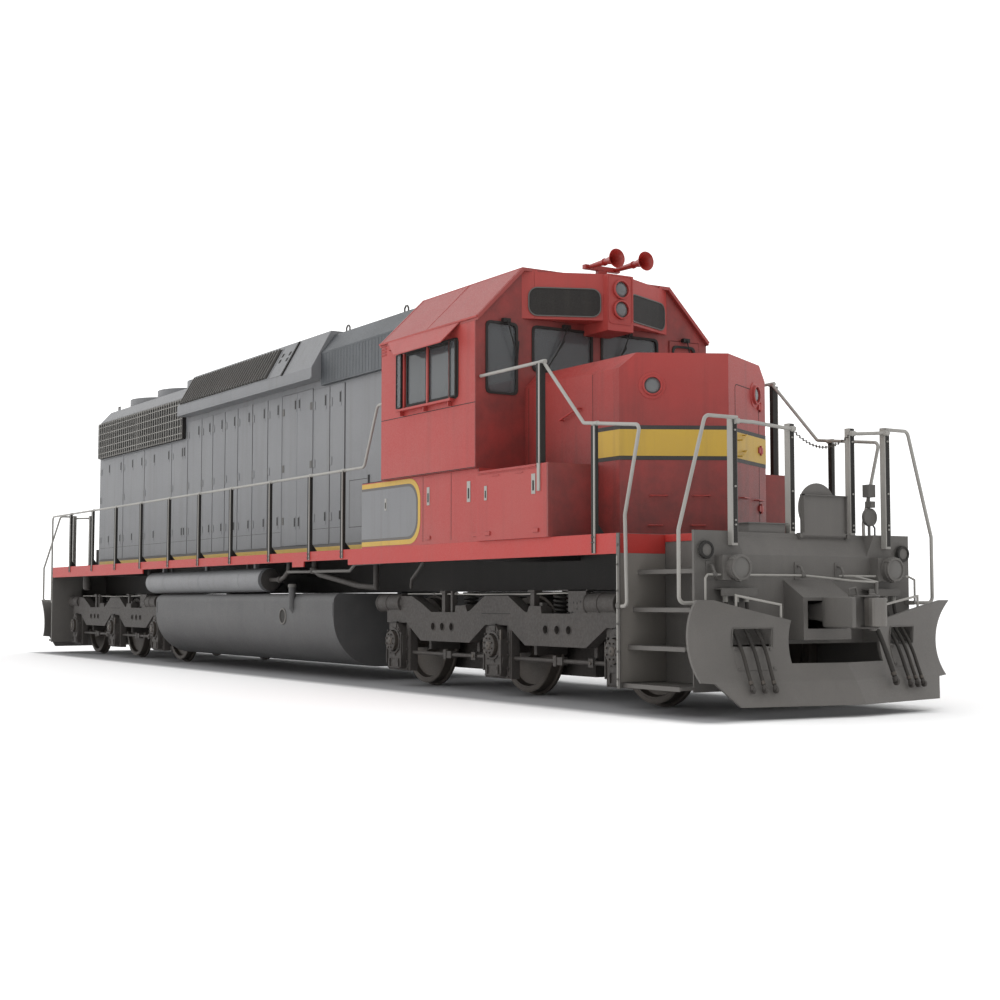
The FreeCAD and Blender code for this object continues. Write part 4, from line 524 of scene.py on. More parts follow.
@dataclass
class Form:
    """One piece in the making: closed solids in metres, each with its finish."""

    name: str
    shop: PaintShop
    body: str = "locomotive"
    slot: str = "dark_metal"
    work: bmesh.types.BMesh = field(default_factory=bmesh.new)
    finishes: list = field(default_factory=list)
    stand: Matrix = field(default_factory=Matrix)

    def at(self, place: Point, heading: float = 0.0, lean: float = 0.0) -> Form:
        """Set what comes next on a place of its own.

        Args:
            place: the new origin.
            heading: degrees that its +X points to the left of forward.
            lean: degrees that its +X points down.

        Returns:
            The form itself.
        """
        self.stand = (Matrix.Translation(place) @ Matrix.Rotation(math.radians(heading), 4, "Z")
                      @ Matrix.Rotation(math.radians(lean), 4, "Y"))
        return self

    def loft(self, rings: Sequence[Sequence[Point]], finish: Finish, endless: bool = False) -> None:
        """Skin a row of loops into one closed solid.

        Args:
            rings: loops with the same number of points.
            finish: the solid's finish.
            endless: whether the last loop joins the first, as round a window frame.
        """
        if finish not in self.finishes:
            self.finishes.append(finish)
        loops = [[self.work.verts.new(self.stand @ Vector(point)) for point in ring] for ring in rings]
        pairs = list(zip(loops, loops[1:]))
        if endless:
            pairs.append((loops[-1], loops[0]))
        faces = [self.work.faces.new((near[index], near[(index + 1) % len(near)],
                                      far[(index + 1) % len(near)], far[index]))
                 for near, far in pairs for index in range(len(near))]
        if not endless:
            faces += [self.work.faces.new(loops[0]), self.work.faces.new(loops[-1])]
        for face in faces:
            face.material_index = self.finishes.index(finish)
            face.smooth = True

    def prism(self, axis: str, outline: Sequence[Pair], low: float, high: float, finish: Finish) -> None:
        """Add a straight prism on an outline across one axis."""
        self.loft([spread(axis, outline, low), spread(axis, outline, high)], finish)

    def block(self, x: Pair, y: Pair, z: Pair, finish: Finish) -> None:
        """Add a rectangular bar or plate."""
        self.prism("z", [(x[0], y[0]), (x[1], y[0]), (x[1], y[1]), (x[0], y[1])], z[0], z[1], finish)

    def layer(self, side: int, face: float, sunk: float = 0.002) -> Callable[..., None]:
        """Get ready to lay thin plates on a face that looks to one side.

        Args:
            side: one or minus one.
            face: the face's distance from the middle.
            sunk: how deep the plates sit in the face.

        Returns:
            A function of a plate's X and Z ranges, how far it stands proud, its finish and,
            where it lies on another face, that face's distance.
        """
        def lay(x: Pair, z: Pair, proud: float, finish: Finish, at: float = face) -> None:
            """Lay one plate."""
            self.block(x, span_of(side, at - sunk, at + proud), z, finish)
        return lay

    def border(self, axis: str, outer: Sequence[Pair], inner: Sequence[Pair], low: float, high: float,
               finish: Finish) -> None:
        """Add a flat frame between two outlines with the same number of points."""
        self.loft([spread(axis, outer, low), spread(axis, outer, high), spread(axis, inner, high),
                   spread(axis, inner, low)], finish, endless=True)

    def turned(self, base: Point, way: Point, profile: Sequence[Pair], finish: Finish,
               sides: int = 24, endless: bool = False) -> None:
        """Add a turned body.

        Args:
            base: start of its axis.
            way: direction of its axis.
            profile: pairs of length along the axis and radius.
            finish: its finish.
            sides: faces round it.
            endless: whether the profile closes on itself, as a ring's does.
        """
        axis = Vector(way).normalized()
        rings = [[tuple(point) for point in circle(Vector(base) + axis * along, axis, radius, sides)]
                 for along, radius in profile]
        self.loft(rings, finish, endless)

    def pipe(self, points: Sequence[Point], radius: float, finish: Finish, sides: int = 10) -> None:
        """Add a rigid pipe or rod with mitred bends.

        Args:
            points: its axis.
            radius: its radius.
            finish: its finish.
            sides: faces round it.
        """
        path = [Vector(point) for point in points]
        ring = circle(path[0], (path[1] - path[0]).normalized(), radius, sides)
        rings = [[tuple(point) for point in ring]]
        for index in range(1, len(path)):
            way = (path[index] - path[index - 1]).normalized()
            onward = (path[index + 1] - path[index]).normalized() if index + 1 < len(path) else way
            normal = (way + onward).normalized()
            ring = [point + way * ((path[index] - point).dot(normal) / way.dot(normal)) for point in ring]
            rings.append([tuple(point) for point in ring])
        self.loft(rings, finish)

    def done(self) -> bpy.types.Object:
        """Close the piece, dress it and let it ride on its body.

        Returns:
            The finished object.
        """
        bmesh.ops.recalc_face_normals(self.work, faces=self.work.faces)
        mesh = bpy.data.meshes.new(self.name)
        self.work.to_mesh(mesh)
        self.work.free()
        mesh.set_sharp_from_angle(angle=math.radians(SMOOTH_BELOW))
        return settle(mesh, self.name, [self.shop.material(finish) for finish in self.finishes],
                      self.body)


def settle(mesh: bpy.types.Mesh, name: str, materials: Sequence[bpy.types.Material], body: str) -> bpy.types.Object:
    """Make an object of a finished mesh and let it ride on its body.

    Args:
        mesh: the piece's mesh, in its place.
        name: the piece's name.
        materials: the mesh's materials in order, or none where it has its own.
        body: the body that carries it.

    Returns:
        The object.
    """
    for material in materials:
        mesh.materials.append(material)
    mesh.name = name
    thing = stand(name, mesh)
    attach(thing, body)
    log.info("%s: %d faces on %s", name, len(mesh.polygons), body)
    return thing


# ---------------------------------------------------------------- repeated pieces
class Repeat(Enum):
    """What a Geometry Nodes tree sets again and again."""

    FASTENER = "fastener"
    SLAT = "slat"
    COIL = "coil"


@dataclass
class Repeats:
    """Geometry Nodes trees for bolts, slats and springs, and the pieces made with them."""

    shop: PaintShop
    trees: dict = field(default_factory=dict)

    def start(self, kind: Repeat, inputs: Sequence[tuple[str, str]]) -> tuple:
        """Begin a tree with its named inputs.

        Args:
            kind: what the tree repeats.
            inputs: names and socket types after the geometry.

        Returns:
            The tree and its input node.
        """
        tree = bpy.data.node_groups.new(kind.value, "GeometryNodeTree")
        tree.interface.new_socket("Places", in_out="INPUT", socket_type="NodeSocketGeometry")
        for name, socket_type in inputs:
            tree.interface.new_socket(name, in_out="INPUT", socket_type=socket_type)
        tree.interface.new_socket("Pieces", in_out="OUTPUT", socket_type="NodeSocketGeometry")
        return tree, add(tree, "NodeGroupInput")

    def close(self, tree: bpy.types.NodeTree, given: bpy.types.Node,
              instances: bpy.types.NodeSocket) -> None:
        """End a tree: real geometry with its finish."""
        real = add(tree, "GeometryNodeRealizeInstances", {}, {"Geometry": instances})
        dressed = add(tree, "GeometryNodeSetMaterial", {},
                      {"Geometry": real.outputs["Geometry"], "Material": given.outputs["Finish"]})
        add(tree, "NodeGroupOutput", {}, {"Pieces": dressed.outputs["Geometry"]})

    def facing(self, tree: bpy.types.NodeTree) -> bpy.types.NodeSocket:
        """Turn +Z to each place's own direction."""
        way = add(tree, "GeometryNodeInputNamedAttribute", {"data_type": "FLOAT_VECTOR", "Name": "way"})
        turn = add(tree, "FunctionNodeAlignRotationToVector", {"axis": "Z"},
                   {"Vector": way.outputs["Attribute"]})
        return turn.outputs["Rotation"]

    def fastener(self) -> bpy.types.NodeTree:
        """Bolt or rivet heads that stand on their places."""
        tree, given = self.start(Repeat.FASTENER, (
            ("Across", "NodeSocketFloat"), ("High", "NodeSocketFloat"), ("Sides", "NodeSocketInt"),
            ("Finish", "NodeSocketMaterial")))
        foot, crown = (reckon(tree, "MULTIPLY", given.outputs["Across"], share) for share in (0.5, 0.4))
        head = add(tree, "GeometryNodeMeshCone", {}, {
            "Vertices": given.outputs["Sides"], "Radius Bottom": foot, "Radius Top": crown,
            "Depth": given.outputs["High"]})
        placed = add(tree, "GeometryNodeInstanceOnPoints", {}, {
            "Points": given.outputs["Places"], "Instance": head.outputs["Mesh"],
            "Rotation": self.facing(tree)})
        self.close(tree, given, placed.outputs["Instances"])
        return tree

    def slat(self) -> bpy.types.NodeTree:
        """Bars of one size in rows, leaning by one angle."""
        tree, given = self.start(Repeat.SLAT, (
            ("Count", "NodeSocketInt"), ("Step", "NodeSocketVector"), ("Bar", "NodeSocketVector"),
            ("Lean", "NodeSocketVector"), ("Finish", "NodeSocketMaterial")))
        row = add(tree, "GeometryNodeMeshLine", {"mode": "OFFSET"},
                  {"Count": given.outputs["Count"], "Offset": given.outputs["Step"]})
        bar = add(tree, "GeometryNodeMeshCube", {}, {"Size": given.outputs["Bar"]})
        lean = add(tree, "FunctionNodeEulerToRotation", {}, {"Euler": given.outputs["Lean"]})
        bars = add(tree, "GeometryNodeInstanceOnPoints", {}, {
            "Points": row.outputs["Mesh"], "Instance": bar.outputs["Mesh"],
            "Rotation": lean.outputs["Rotation"]})
        rows = add(tree, "GeometryNodeInstanceOnPoints", {}, {
            "Points": given.outputs["Places"], "Instance": bars.outputs["Instances"]})
        self.close(tree, given, rows.outputs["Instances"])
        return tree

    def coil(self) -> bpy.types.NodeTree:
        """Upright coil springs, from their feet."""
        tree, given = self.start(Repeat.COIL, (
            ("Turns", "NodeSocketFloat"), ("Radius", "NodeSocketFloat"), ("High", "NodeSocketFloat"),
            ("Wire", "NodeSocketFloat"), ("Finish", "NodeSocketMaterial")))
        spiral = add(tree, "GeometryNodeCurveSpiral", {"Resolution": 14}, {
            "Rotations": given.outputs["Turns"], "Start Radius": given.outputs["Radius"],
            "End Radius": given.outputs["Radius"], "Height": given.outputs["High"]})
        wire = add(tree, "GeometryNodeCurvePrimitiveCircle", {"Resolution": 8},
                   {"Radius": given.outputs["Wire"]})
        spring = add(tree, "GeometryNodeCurveToMesh", {"Fill Caps": True}, {
            "Curve": spiral.outputs["Curve"], "Profile Curve": wire.outputs["Curve"]})
        placed = add(tree, "GeometryNodeInstanceOnPoints", {}, {
            "Points": given.outputs["Places"], "Instance": spring.outputs["Mesh"]})
        self.close(tree, given, placed.outputs["Instances"])
        return tree

    def make(self, name: str, kind: Repeat, places: Sequence[Point], inputs: dict, finish: Finish,
             body: str = "locomotive", slot: str = "dark_metal",
             ways: Sequence[Point] = ()) -> bpy.types.Object:
        """Set one kind of piece on its places.

        Args:
            name: the piece's name.
            kind: what to repeat.
            places: where each stands, or where each row starts.
            inputs: the tree's named sizes.
            finish: the finish of all of them.
            body: the body that carries them.
            slot: not used.
            ways: the direction each one faces, where they differ.

        Returns:
            The finished object.
        """
        if kind not in self.trees:
            self.trees[kind] = {Repeat.FASTENER: self.fastener, Repeat.SLAT: self.slat,
                                Repeat.COIL: self.coil}[kind]()
        tree = self.trees[kind]
        seeds = bpy.data.meshes.new(name + ".places")
        seeds.from_pydata([tuple(place) for place in places], [], [])
        if ways:
            kept = seeds.attributes.new("way", "FLOAT_VECTOR", "POINT")
            for number, way in enumerate(ways):
                kept.data[number].vector = way
        holder = stand(name + ".places", seeds)
        modifier = holder.modifiers.new("repeat", "NODES")
        modifier.node_group = tree
        values = dict(inputs, Finish=self.shop.material(finish))
        for item in tree.interface.items_tree:
            if item.in_out == "INPUT" and item.name in values:
                modifier[item.identifier] = values[item.name]
        graph = bpy.context.evaluated_depsgraph_get()
        mesh = bpy.data.meshes.new_from_object(holder.evaluated_get(graph), depsgraph=graph)
        holder.modifiers.remove(modifier)
        bpy.data.objects.remove(holder)
        return settle(mesh, name, (), body)

    def bolts(self, name: str, places: Sequence[Point], ways: Sequence[Point],
              size: tuple[float, float, int], finish: Finish, body: str = "locomotive") -> None:
        """Stand bolt or rivet heads on their places.

        Args:
            name: the piece's name.
            places: where each head stands.
            ways: the direction that each one faces.
            size: a head's width, height and number of sides.
            finish: the finish of all of them.
            body: the body that carries them.
        """
        across, high, sides = size
        self.make(name, Repeat.FASTENER, places, {"Across": across, "High": high, "Sides": sides}, finish,
                  body=body, ways=ways)

    def bars(self, name: str, places: Sequence[Point], count: int, step: Point, bar: Point,
             finish: Finish, lean: float = 0.0, slot: str = "black_metal") -> None:
        """Set rows of equal bars.

        Args:
            name: the piece's name.
            places: the middle of each row's first bar.
            count: bars in a row.
            step: from one bar to the next.
            bar: a bar's size.
            finish: the finish of all of them.
            lean: radians that each bar turns about X.
            slot: handed on to make, which does not use it.
        """
        self.make(name, Repeat.SLAT, places,
                  {"Count": count, "Step": step, "Bar": bar, "Lean": (lean, 0.0, 0.0)}, finish, slot=slot)


# ------------------------------------------------------------------------ hoses
@dataclass
class Hoses:
    """Air hoses that hang at the front end, with their couplings."""

    shop: PaintShop
    face: float = 9.65
    half: float = 1.535
    lead: float = 0.32
    line_lead: float = 0.122
    # ahead of the end plate, height, and how much of the plow's lead each point follows
    line: tuple[Point, ...] = (
        (0.050, 1.108, 0.0), (0.050, 1.005, 0.0), (0.078, 0.900, 0.0), (0.138, 0.812, 0.4),
        (0.212, 0.730, 1.0), (0.292, 0.630, 1.0), (0.362, 0.510, 1.0), (0.415, 0.390, 1.0),
        (0.475, 0.280, 1.0))
    # node, top and foot across, real length
    runs: tuple[tuple[str, float, float, float], ...] = (
        ("hose_right_outer", -1.015, -1.070, 0.938), ("hose_right_middle", -0.890, -0.955, 0.953),
        ("hose_right_inner", -0.774, -0.852, 0.968), ("hose_left_inner", 0.829, 0.767, 0.976),
        ("hose_left_middle", 0.947, 0.880, 0.961), ("hose_left_outer", 1.054, 0.980, 0.949))
    # brake pipe hose: ahead of the end plate, across, height
    brake: tuple[Point, ...] = (
        (0.050, 0.460, 0.950), (0.145, 0.460, 0.950), (0.240, 0.463, 0.918), (0.328, 0.468, 0.855),
        (0.398, 0.474, 0.760), (0.450, 0.481, 0.655), (0.494, 0.490, 0.545), (0.533, 0.502, 0.435),
        (0.568, 0.516, 0.325))

    def route(self, top: float, foot: float) -> list[Point]:
        """Control points of one control hose."""
        points = []
        for index, (ahead, height, follows) in enumerate(self.line):
            across = top + (foot - top) * max(index - 1, 0) / (len(self.line) - 2)
            lead = self.lead * (1 - abs(across) / self.half) - self.line_lead
            points.append((self.face + ahead + follows * lead, across, height))
        return points

    def hose(self, node: str, points: Sequence[Point], radius: float) -> bpy.types.Object:
        """Make one hose as a smooth curve through its control points' hull.

        Args:
            node: the CAD node that it stands for.
            points: the spline's control points.
            radius: the hose's radius.

        Returns:
            The hose.
        """
        curve = bpy.data.curves.new("air_" + node, "CURVE")
        curve.dimensions = "3D"
        curve.bevel_depth = radius
        curve.bevel_resolution = 6
        curve.use_fill_caps = True
        spline = curve.splines.new("NURBS")
        spline.points.add(len(points) - 1)
        for target, point in zip(spline.points, points):
            target.co = (*point, 1.0)
        spline.order_u = 3
        spline.use_endpoint_u = True
        spline.resolution_u = 12
        curve.materials.append(self.shop.material(Finish.RUBBER))
        thing = stand("air_" + node, curve)
        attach(thing, "locomotive")
        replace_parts(thing, node)
        return thing

    def coupling(self, node: str, points: Sequence[Point], radius: float) -> bpy.types.Object:
        """Make a hose's metal coupling on its free end, and the nipple at its top.

        Args:
            node: the hose's CAD node.
            points: the hose's control points.
            radius: the hose's radius.

        Returns:
            The coupling.
        """
        form = Form("coupling_" + node, self.shop, slot="steel")
        end = Vector(points[-1])
        way = (end - Vector(points[-2])).normalized()
        clamp = end - way * 0.05
        form.turned(tuple(clamp), tuple(way), [(0, radius + 0.001), (0.002, radius + 0.004),
                                               (0.03, radius + 0.004), (0.032, radius + 0.001)],
                    Finish.STEEL, 20)
        form.turned(tuple(end - way * 0.004), tuple(way),
                    [(0, radius), (0.006, radius + 0.006), (0.036, radius + 0.006), (0.044, radius - 0.002)],
                    Finish.CAST, 20)
        jaw = end + way * (radius + 0.016)
        form.turned((jaw.x, jaw.y - 0.013, jaw.z), (0, 1, 0),
                    [(0, radius + 0.010), (0.004, radius + 0.014), (0.022, radius + 0.014),
                     (0.026, radius + 0.010)], Finish.CAST, 24)
        form.turned((jaw.x, jaw.y - 0.0145, jaw.z), (0, 1, 0), [(0, radius - 0.004), (0.029, radius - 0.004)],
                    Finish.BLACK, 20)
        top = Vector(points[0])
        down = (Vector(points[1]) - top).normalized()
        form.turned(tuple(top - down * 0.012), tuple(down),
                    [(0, radius + 0.003), (0.05, radius + 0.003), (0.052, radius + 0.008),
                     (0.12, radius + 0.008), (0.123, radius + 0.002)],
                    Finish.CAST if radius > 0.02 else Finish.RAIL, 12)
        made = form.done()
        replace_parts(made, "hose_couplings")
        return made

    def build(self) -> None:
        rows = [(node, self.route(top, foot), 0.016, length) for node, top, foot, length in self.runs]
        rows.append(("brake_hose", [(self.face + ahead, across, height)
                                    for ahead, across, height in self.brake], 0.022, 0.889))
        for node, points, radius, length in rows:
            hose = self.hose(node, points, radius)
            coupling = self.coupling(node, points, radius)


# -------------------------------------------------------------------------- cab
@dataclass
class Cab:
    """Window frames, wipers, lamps, boards, latches and seams of the cab and its base."""

    shop: PaintShop
    repeats: Repeats
    side: float = 1.565
    front: float = 6.377
    rear: float = 4.26
    base_side: float = 1.52
    gasket: float = 0.013
    # how far the battery boxes stand out beyond the base
    box_out: float = 0.03
    # degrees that each half of the brow points outwards
    brow_turn: float = 23.63

    def gasket_on(self, form: Form, across: Pair, up: Pair, low: float, high: float, axis: str = "x") -> None:
        """Add a rubber gasket with round corners round an opening."""
        edge = self.gasket
        outer = rounded((across[0] - edge, across[1] + edge), (up[0] - edge, up[1] + edge), 0.06)
        inner = rounded((across[0] + edge, across[1] - edge), (up[0] + edge, up[1] - edge), 0.055)
        form.border(axis, outer, inner, low, high, Finish.RUBBER)

    def windows(self) -> None:
        """Gaskets of the fixed windows and the side windows' sashes."""
        form = Form("window_gaskets", self.shop, slot="rubber_black")
        face = (self.front - 0.006, self.front + 0.012)
        self.gasket_on(form, (-1.43, -1.05), (3.205, 3.96), *face)
        for side in SIDES:
            self.gasket_on(form, span_of(side, 0.067, 0.844), (3.48, 3.96), *face)
            self.gasket_on(form, (4.665, 6.015), (3.184, 3.818),
                           *span_of(side, self.side - 0.006, self.side + 0.008), axis="y")
        self.gasket_on(form, (1.05, 1.43), (3.205, 3.96), self.rear - 0.012, self.rear + 0.006)
        form.done()
        for name, body, across, face in (
                ("front_door_gasket", "cab_door_front_leaf", (1.07, 1.38), self.front + 0.002),
                ("rear_door_gasket", "cab_door_rear_leaf", (-1.38, -1.07), self.rear - 0.004)):
            door = Form(name, self.shop, body, "rubber_black")
            self.gasket_on(door, across, (3.245, 3.91), face, face + 0.014)
            door.done()
        sashes = Form("side_window_sashes", self.shop, slot="red_paint")
        for side in SIDES:
            for start, end, outside in ((4.86, 5.33, 0.006), (5.36, 5.82, -0.002)):
                level = span_of(side, self.side - 0.012 + outside, self.side - 0.004 + outside)
                outer = rounded((start, end), (3.20, 3.80), 0.02)
                inner = rounded((start + 0.022, end - 0.022), (3.222, 3.778), 0.015)
                sashes.border("y", outer, inner, *level, Finish.BLACK)
            for x in (4.80, 5.34, 5.84):
                sashes.block((x, x + 0.034), span_of(side, self.side - 0.012, self.side + 0.012),
                             (3.19, 3.812), Finish.RED)
            for start, end in ((4.672, 4.792), (5.882, 6.008)):
                outer = rounded((start, end), (3.19, 3.81), 0.012)
                inner = rounded((start + 0.014, end - 0.014), (3.204, 3.796), 0.01)
                sashes.border("y", outer, inner, *span_of(side, self.side + 0.012, self.side + 0.034),
                              Finish.RUBBER)
                sashes.prism("y", rounded((start + 0.01, end - 0.01), (3.20, 3.80), 0.01),
                             *span_of(side, self.side + 0.018, self.side + 0.026), Finish.GLASS)
            sill = span_of(side, self.side - 0.002, self.side + 0.062)
            sashes.prism("x", [(sill[0], 3.150), (sill[1], 3.150), (sill[1], 3.176), (sill[0], 3.176)],
                         4.72, 5.95, Finish.RED)
            for x in (4.80, 5.34, 5.88):
                sashes.block(about(x, 0.008), span_of(side, self.side - 0.001, self.side + 0.05),
                             (3.10, 3.152), Finish.RED)
        sashes.done()

    def wipers(self) -> None:
        """Motor boxes, arms and blades of the windscreen wipers."""
        form = Form("wipers", self.shop, slot="black_metal")
        face = self.front + 0.012
        for y, lean, long, top in ((-1.20, -0.14, 0.40, 3.985), (-0.42, 0.16, 0.34, 3.985),
                                   (0.42, 0.16, 0.34, 3.985), (1.24, -0.10, 0.40, 3.985)):
            form.block((face - 0.012, face + 0.040), about(y, 0.045), about(top, 0.022), Finish.BLACK)
            foot = (face + 0.032, y - lean, top - long)
            form.pipe([(face + 0.045, y, top), (face + 0.045, y - lean * 0.4, top - long * 0.45), foot],
                      0.007, Finish.BLACK, 6)
            way = 0.5 if abs(y) > 1 else -0.8
            dy = 0.17 * way * (1 if lean > 0 else -0.2)
            form.pipe([(face + 0.020, foot[1] - dy, foot[2] + 0.19),
                       (face + 0.020, foot[1] + dy, foot[2] - 0.19)], 0.008, Finish.RUBBER, 6)
        form.done()

    def boards(self) -> None:
        """Blank number boards on the angled brow, and the twin headlight."""
        form = Form("number_boards", self.shop, slot="black_metal")
        for side in SIDES:
            form.at((6.57, side * 0.558, 4.218), side * self.brow_turn)
            outer = rounded((-0.40, 0.40), (-0.158, 0.158), 0.10)
            inner = rounded((-0.388, 0.388), (-0.146, 0.146), 0.09)
            form.border("x", outer, inner, -0.004, 0.016, Finish.DARK)
            form.prism("x", inner, -0.004, 0.010, Finish.BLACK)
        form.done()
        lamp = Form("headlight", self.shop, slot="red_paint")
        for height in (4.37, 4.15):
            lamp.turned((6.826, 0, height), AHEAD,
                        [(0, 0.088), (0, 0.104), (0.030, 0.104), (0.034, 0.098), (0.034, 0.088)],
                        Finish.RED, 32, endless=True)
            lamp.turned((6.828, 0, height), AHEAD, [(0, 0.089), (0.006, 0.084)], Finish.DARK, 32)
            lamp.turned((6.832, 0, height), AHEAD,
                        [(0, 0.080), (0.012, 0.070), (0.020, 0.045), (0.023, 0.010)], Finish.LENS, 32)
        lamp.border("x", rounded((-0.165, 0.165), (3.99, 4.53), 0.05),
                    rounded((-0.15, 0.15), (4.005, 4.515), 0.04), 6.828, 6.836, Finish.RED)
        for side in SIDES:
            lamp.prism("z", [(6.370, side * 0.998), (6.451, side * 0.830), (6.370, side * 0.830)], 4.032,
                       4.560, Finish.RED)
        lamp.done()

    def base(self) -> None:
        """Latches, seams and the outlined panel of the cab's base and battery boxes."""
        form = Form("base_seams_and_panels", self.shop, slot="red_paint")
        for side in SIDES:
            plate = form.layer(side, self.base_side)
            rear, top, low = 3.692, 2.385, 1.645
            for inset, proud, finish in ((0.0, 0.002, Finish.YELLOW), (0.055, 0.003, Finish.DARK),
                                         (0.085, 0.004, Finish.GREY)):
                front = 5.12 - inset
                radius = 0.25 - inset * 0.6
                curve = rounded((rear, front), (low + inset, top - inset), radius, 8)
                outline = [(rear, low + inset)] + curve[27:] + curve[:9] + [(rear, top - inset)]
                form.prism("y", outline, *span_of(side, self.base_side - 0.002, self.base_side + proud),
                           finish)
            for x in (5.18, 5.80, 6.372):
                plate(about(x, 0.004), (1.66, 2.39), 0.0008, Finish.BLACK)
            plate((3.70, 6.37), (2.396, 2.404), 0.0015, Finish.BLACK)
            plate((4.262, 6.374), (3.088, 3.096), 0.0012, Finish.BLACK, self.side)
            plate((4.262, 6.374), (2.402, 2.410), 0.0012, Finish.BLACK, self.side)
            for x, z, wide, high, at in ((4.30, 2.12, 0.05, 0.14, self.base_side + 0.003),
                                         (5.30, 2.16, 0.06, 0.20, self.base_side),
                                         (6.17, 2.16, 0.07, 0.22, self.base_side),
                                         (6.56, 2.12, 0.05, 0.15, self.base_side + self.box_out),
                                         (7.46, 2.16, 0.07, 0.20, self.base_side + self.box_out)):
                plate(about(x, wide / 2), about(z, high / 2), 0.004, Finish.RAIL, at)
                plate(about(x, wide / 5), (z - high / 3, z + high / 6), 0.006, Finish.BLACK, at)
            for x in (6.75, 7.20):
                plate(about(x, 0.07), (2.285, 2.295), 0.006, Finish.RED, self.base_side + self.box_out)
            for x, z in ((5.3, 1.70), (6.3, 1.70), (6.6, 1.70), (7.5, 1.70)):
                plate(about(x, 0.05), about(z, 0.02), 0.012, Finish.RED,
                      self.base_side + (self.box_out if x > self.front else 0))
        form.done()
        vents = [(self.rear + 0.06, side * (self.side + 0.003), 3.86) for side in SIDES]
        self.repeats.bars("cab_vents", vents, 4, (0.0, 0.0, 0.035), (0.11, 0.012, 0.012), Finish.RED, 0.5,
                          "red_paint")

    def roof(self) -> None:
        """Drip strips and weld seams of the cab's roof, the horns and the window awnings."""
        form = Form("roof_strips", self.shop, slot="red_paint")
        for side in SIDES:
            form.block((4.22, 6.42), span_of(side, self.side - 0.001, self.side + 0.016), (3.985, 4.005),
                       Finish.RED)
            for x in (4.26, 5.32, 6.40):
                form.pipe([(x, side * (self.side - 0.002), 4.008), (x, side * 0.998, 4.575)], 0.005,
                          Finish.RED, 6)
            form.pipe([(4.22, side * 0.995, 4.576), (6.42, side * 0.995, 4.576)], 0.006, Finish.RED, 6)
        form.done()
        horn = Form("trumpet_horns", self.shop, slot="horn_red")
        start, level = 6.247, 4.73
        horn.block((start - 0.05, start + 0.01), (-0.06, 0.42), about(level, 0.025), Finish.HORN)
        horn.block((start - 0.048, start + 0.008), (0.12, 0.24), (4.575, level - 0.02), Finish.HORN)
        for front, y in ((6.767, 0.0), (6.822, 0.355)):
            long = front - start
            horn.turned((start, y, level), AHEAD,
                        [(0, 0.024), (long - 0.17, 0.036), (long - 0.09, 0.052), (long - 0.03, 0.084),
                         (long - 0.002, 0.107), (long, 0.103), (long - 0.03, 0.076), (long - 0.09, 0.044),
                         (long - 0.17, 0.026), (long - 0.20, 0.012)], Finish.HORN, 36)
            horn.turned((front - 0.24, y, level), AHEAD,
                        [(0, 0.030), (0, 0.042), (0.02, 0.042), (0.02, 0.030)], Finish.HORN, 24, endless=True)
        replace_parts(horn.done(), "horns")
        flaps = Form("window_awnings", self.shop, slot="red_paint")
        for side in SIDES:
            over = [(4.39, side * 1.562, 4.014), (6.06, side * 1.562, 4.002), (5.95, side * 1.745, 3.777),
                    (4.88, side * 1.745, 3.777)]
            flaps.loft([over, [(x, y - side * 0.004, z - 0.012) for x, y, z in over]], Finish.RED)
            for x in (4.62, 5.24, 5.86):
                flaps.pipe([(x, side * 1.562, 3.86), (x, side * 1.660, 3.868)], 0.006, Finish.RED, 6)
        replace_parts(flaps.done(), "awnings")

    def build(self) -> None:
        """Build everything on the cab."""
        self.windows()
        self.wipers()
        self.boards()
        self.base()
        self.roof()


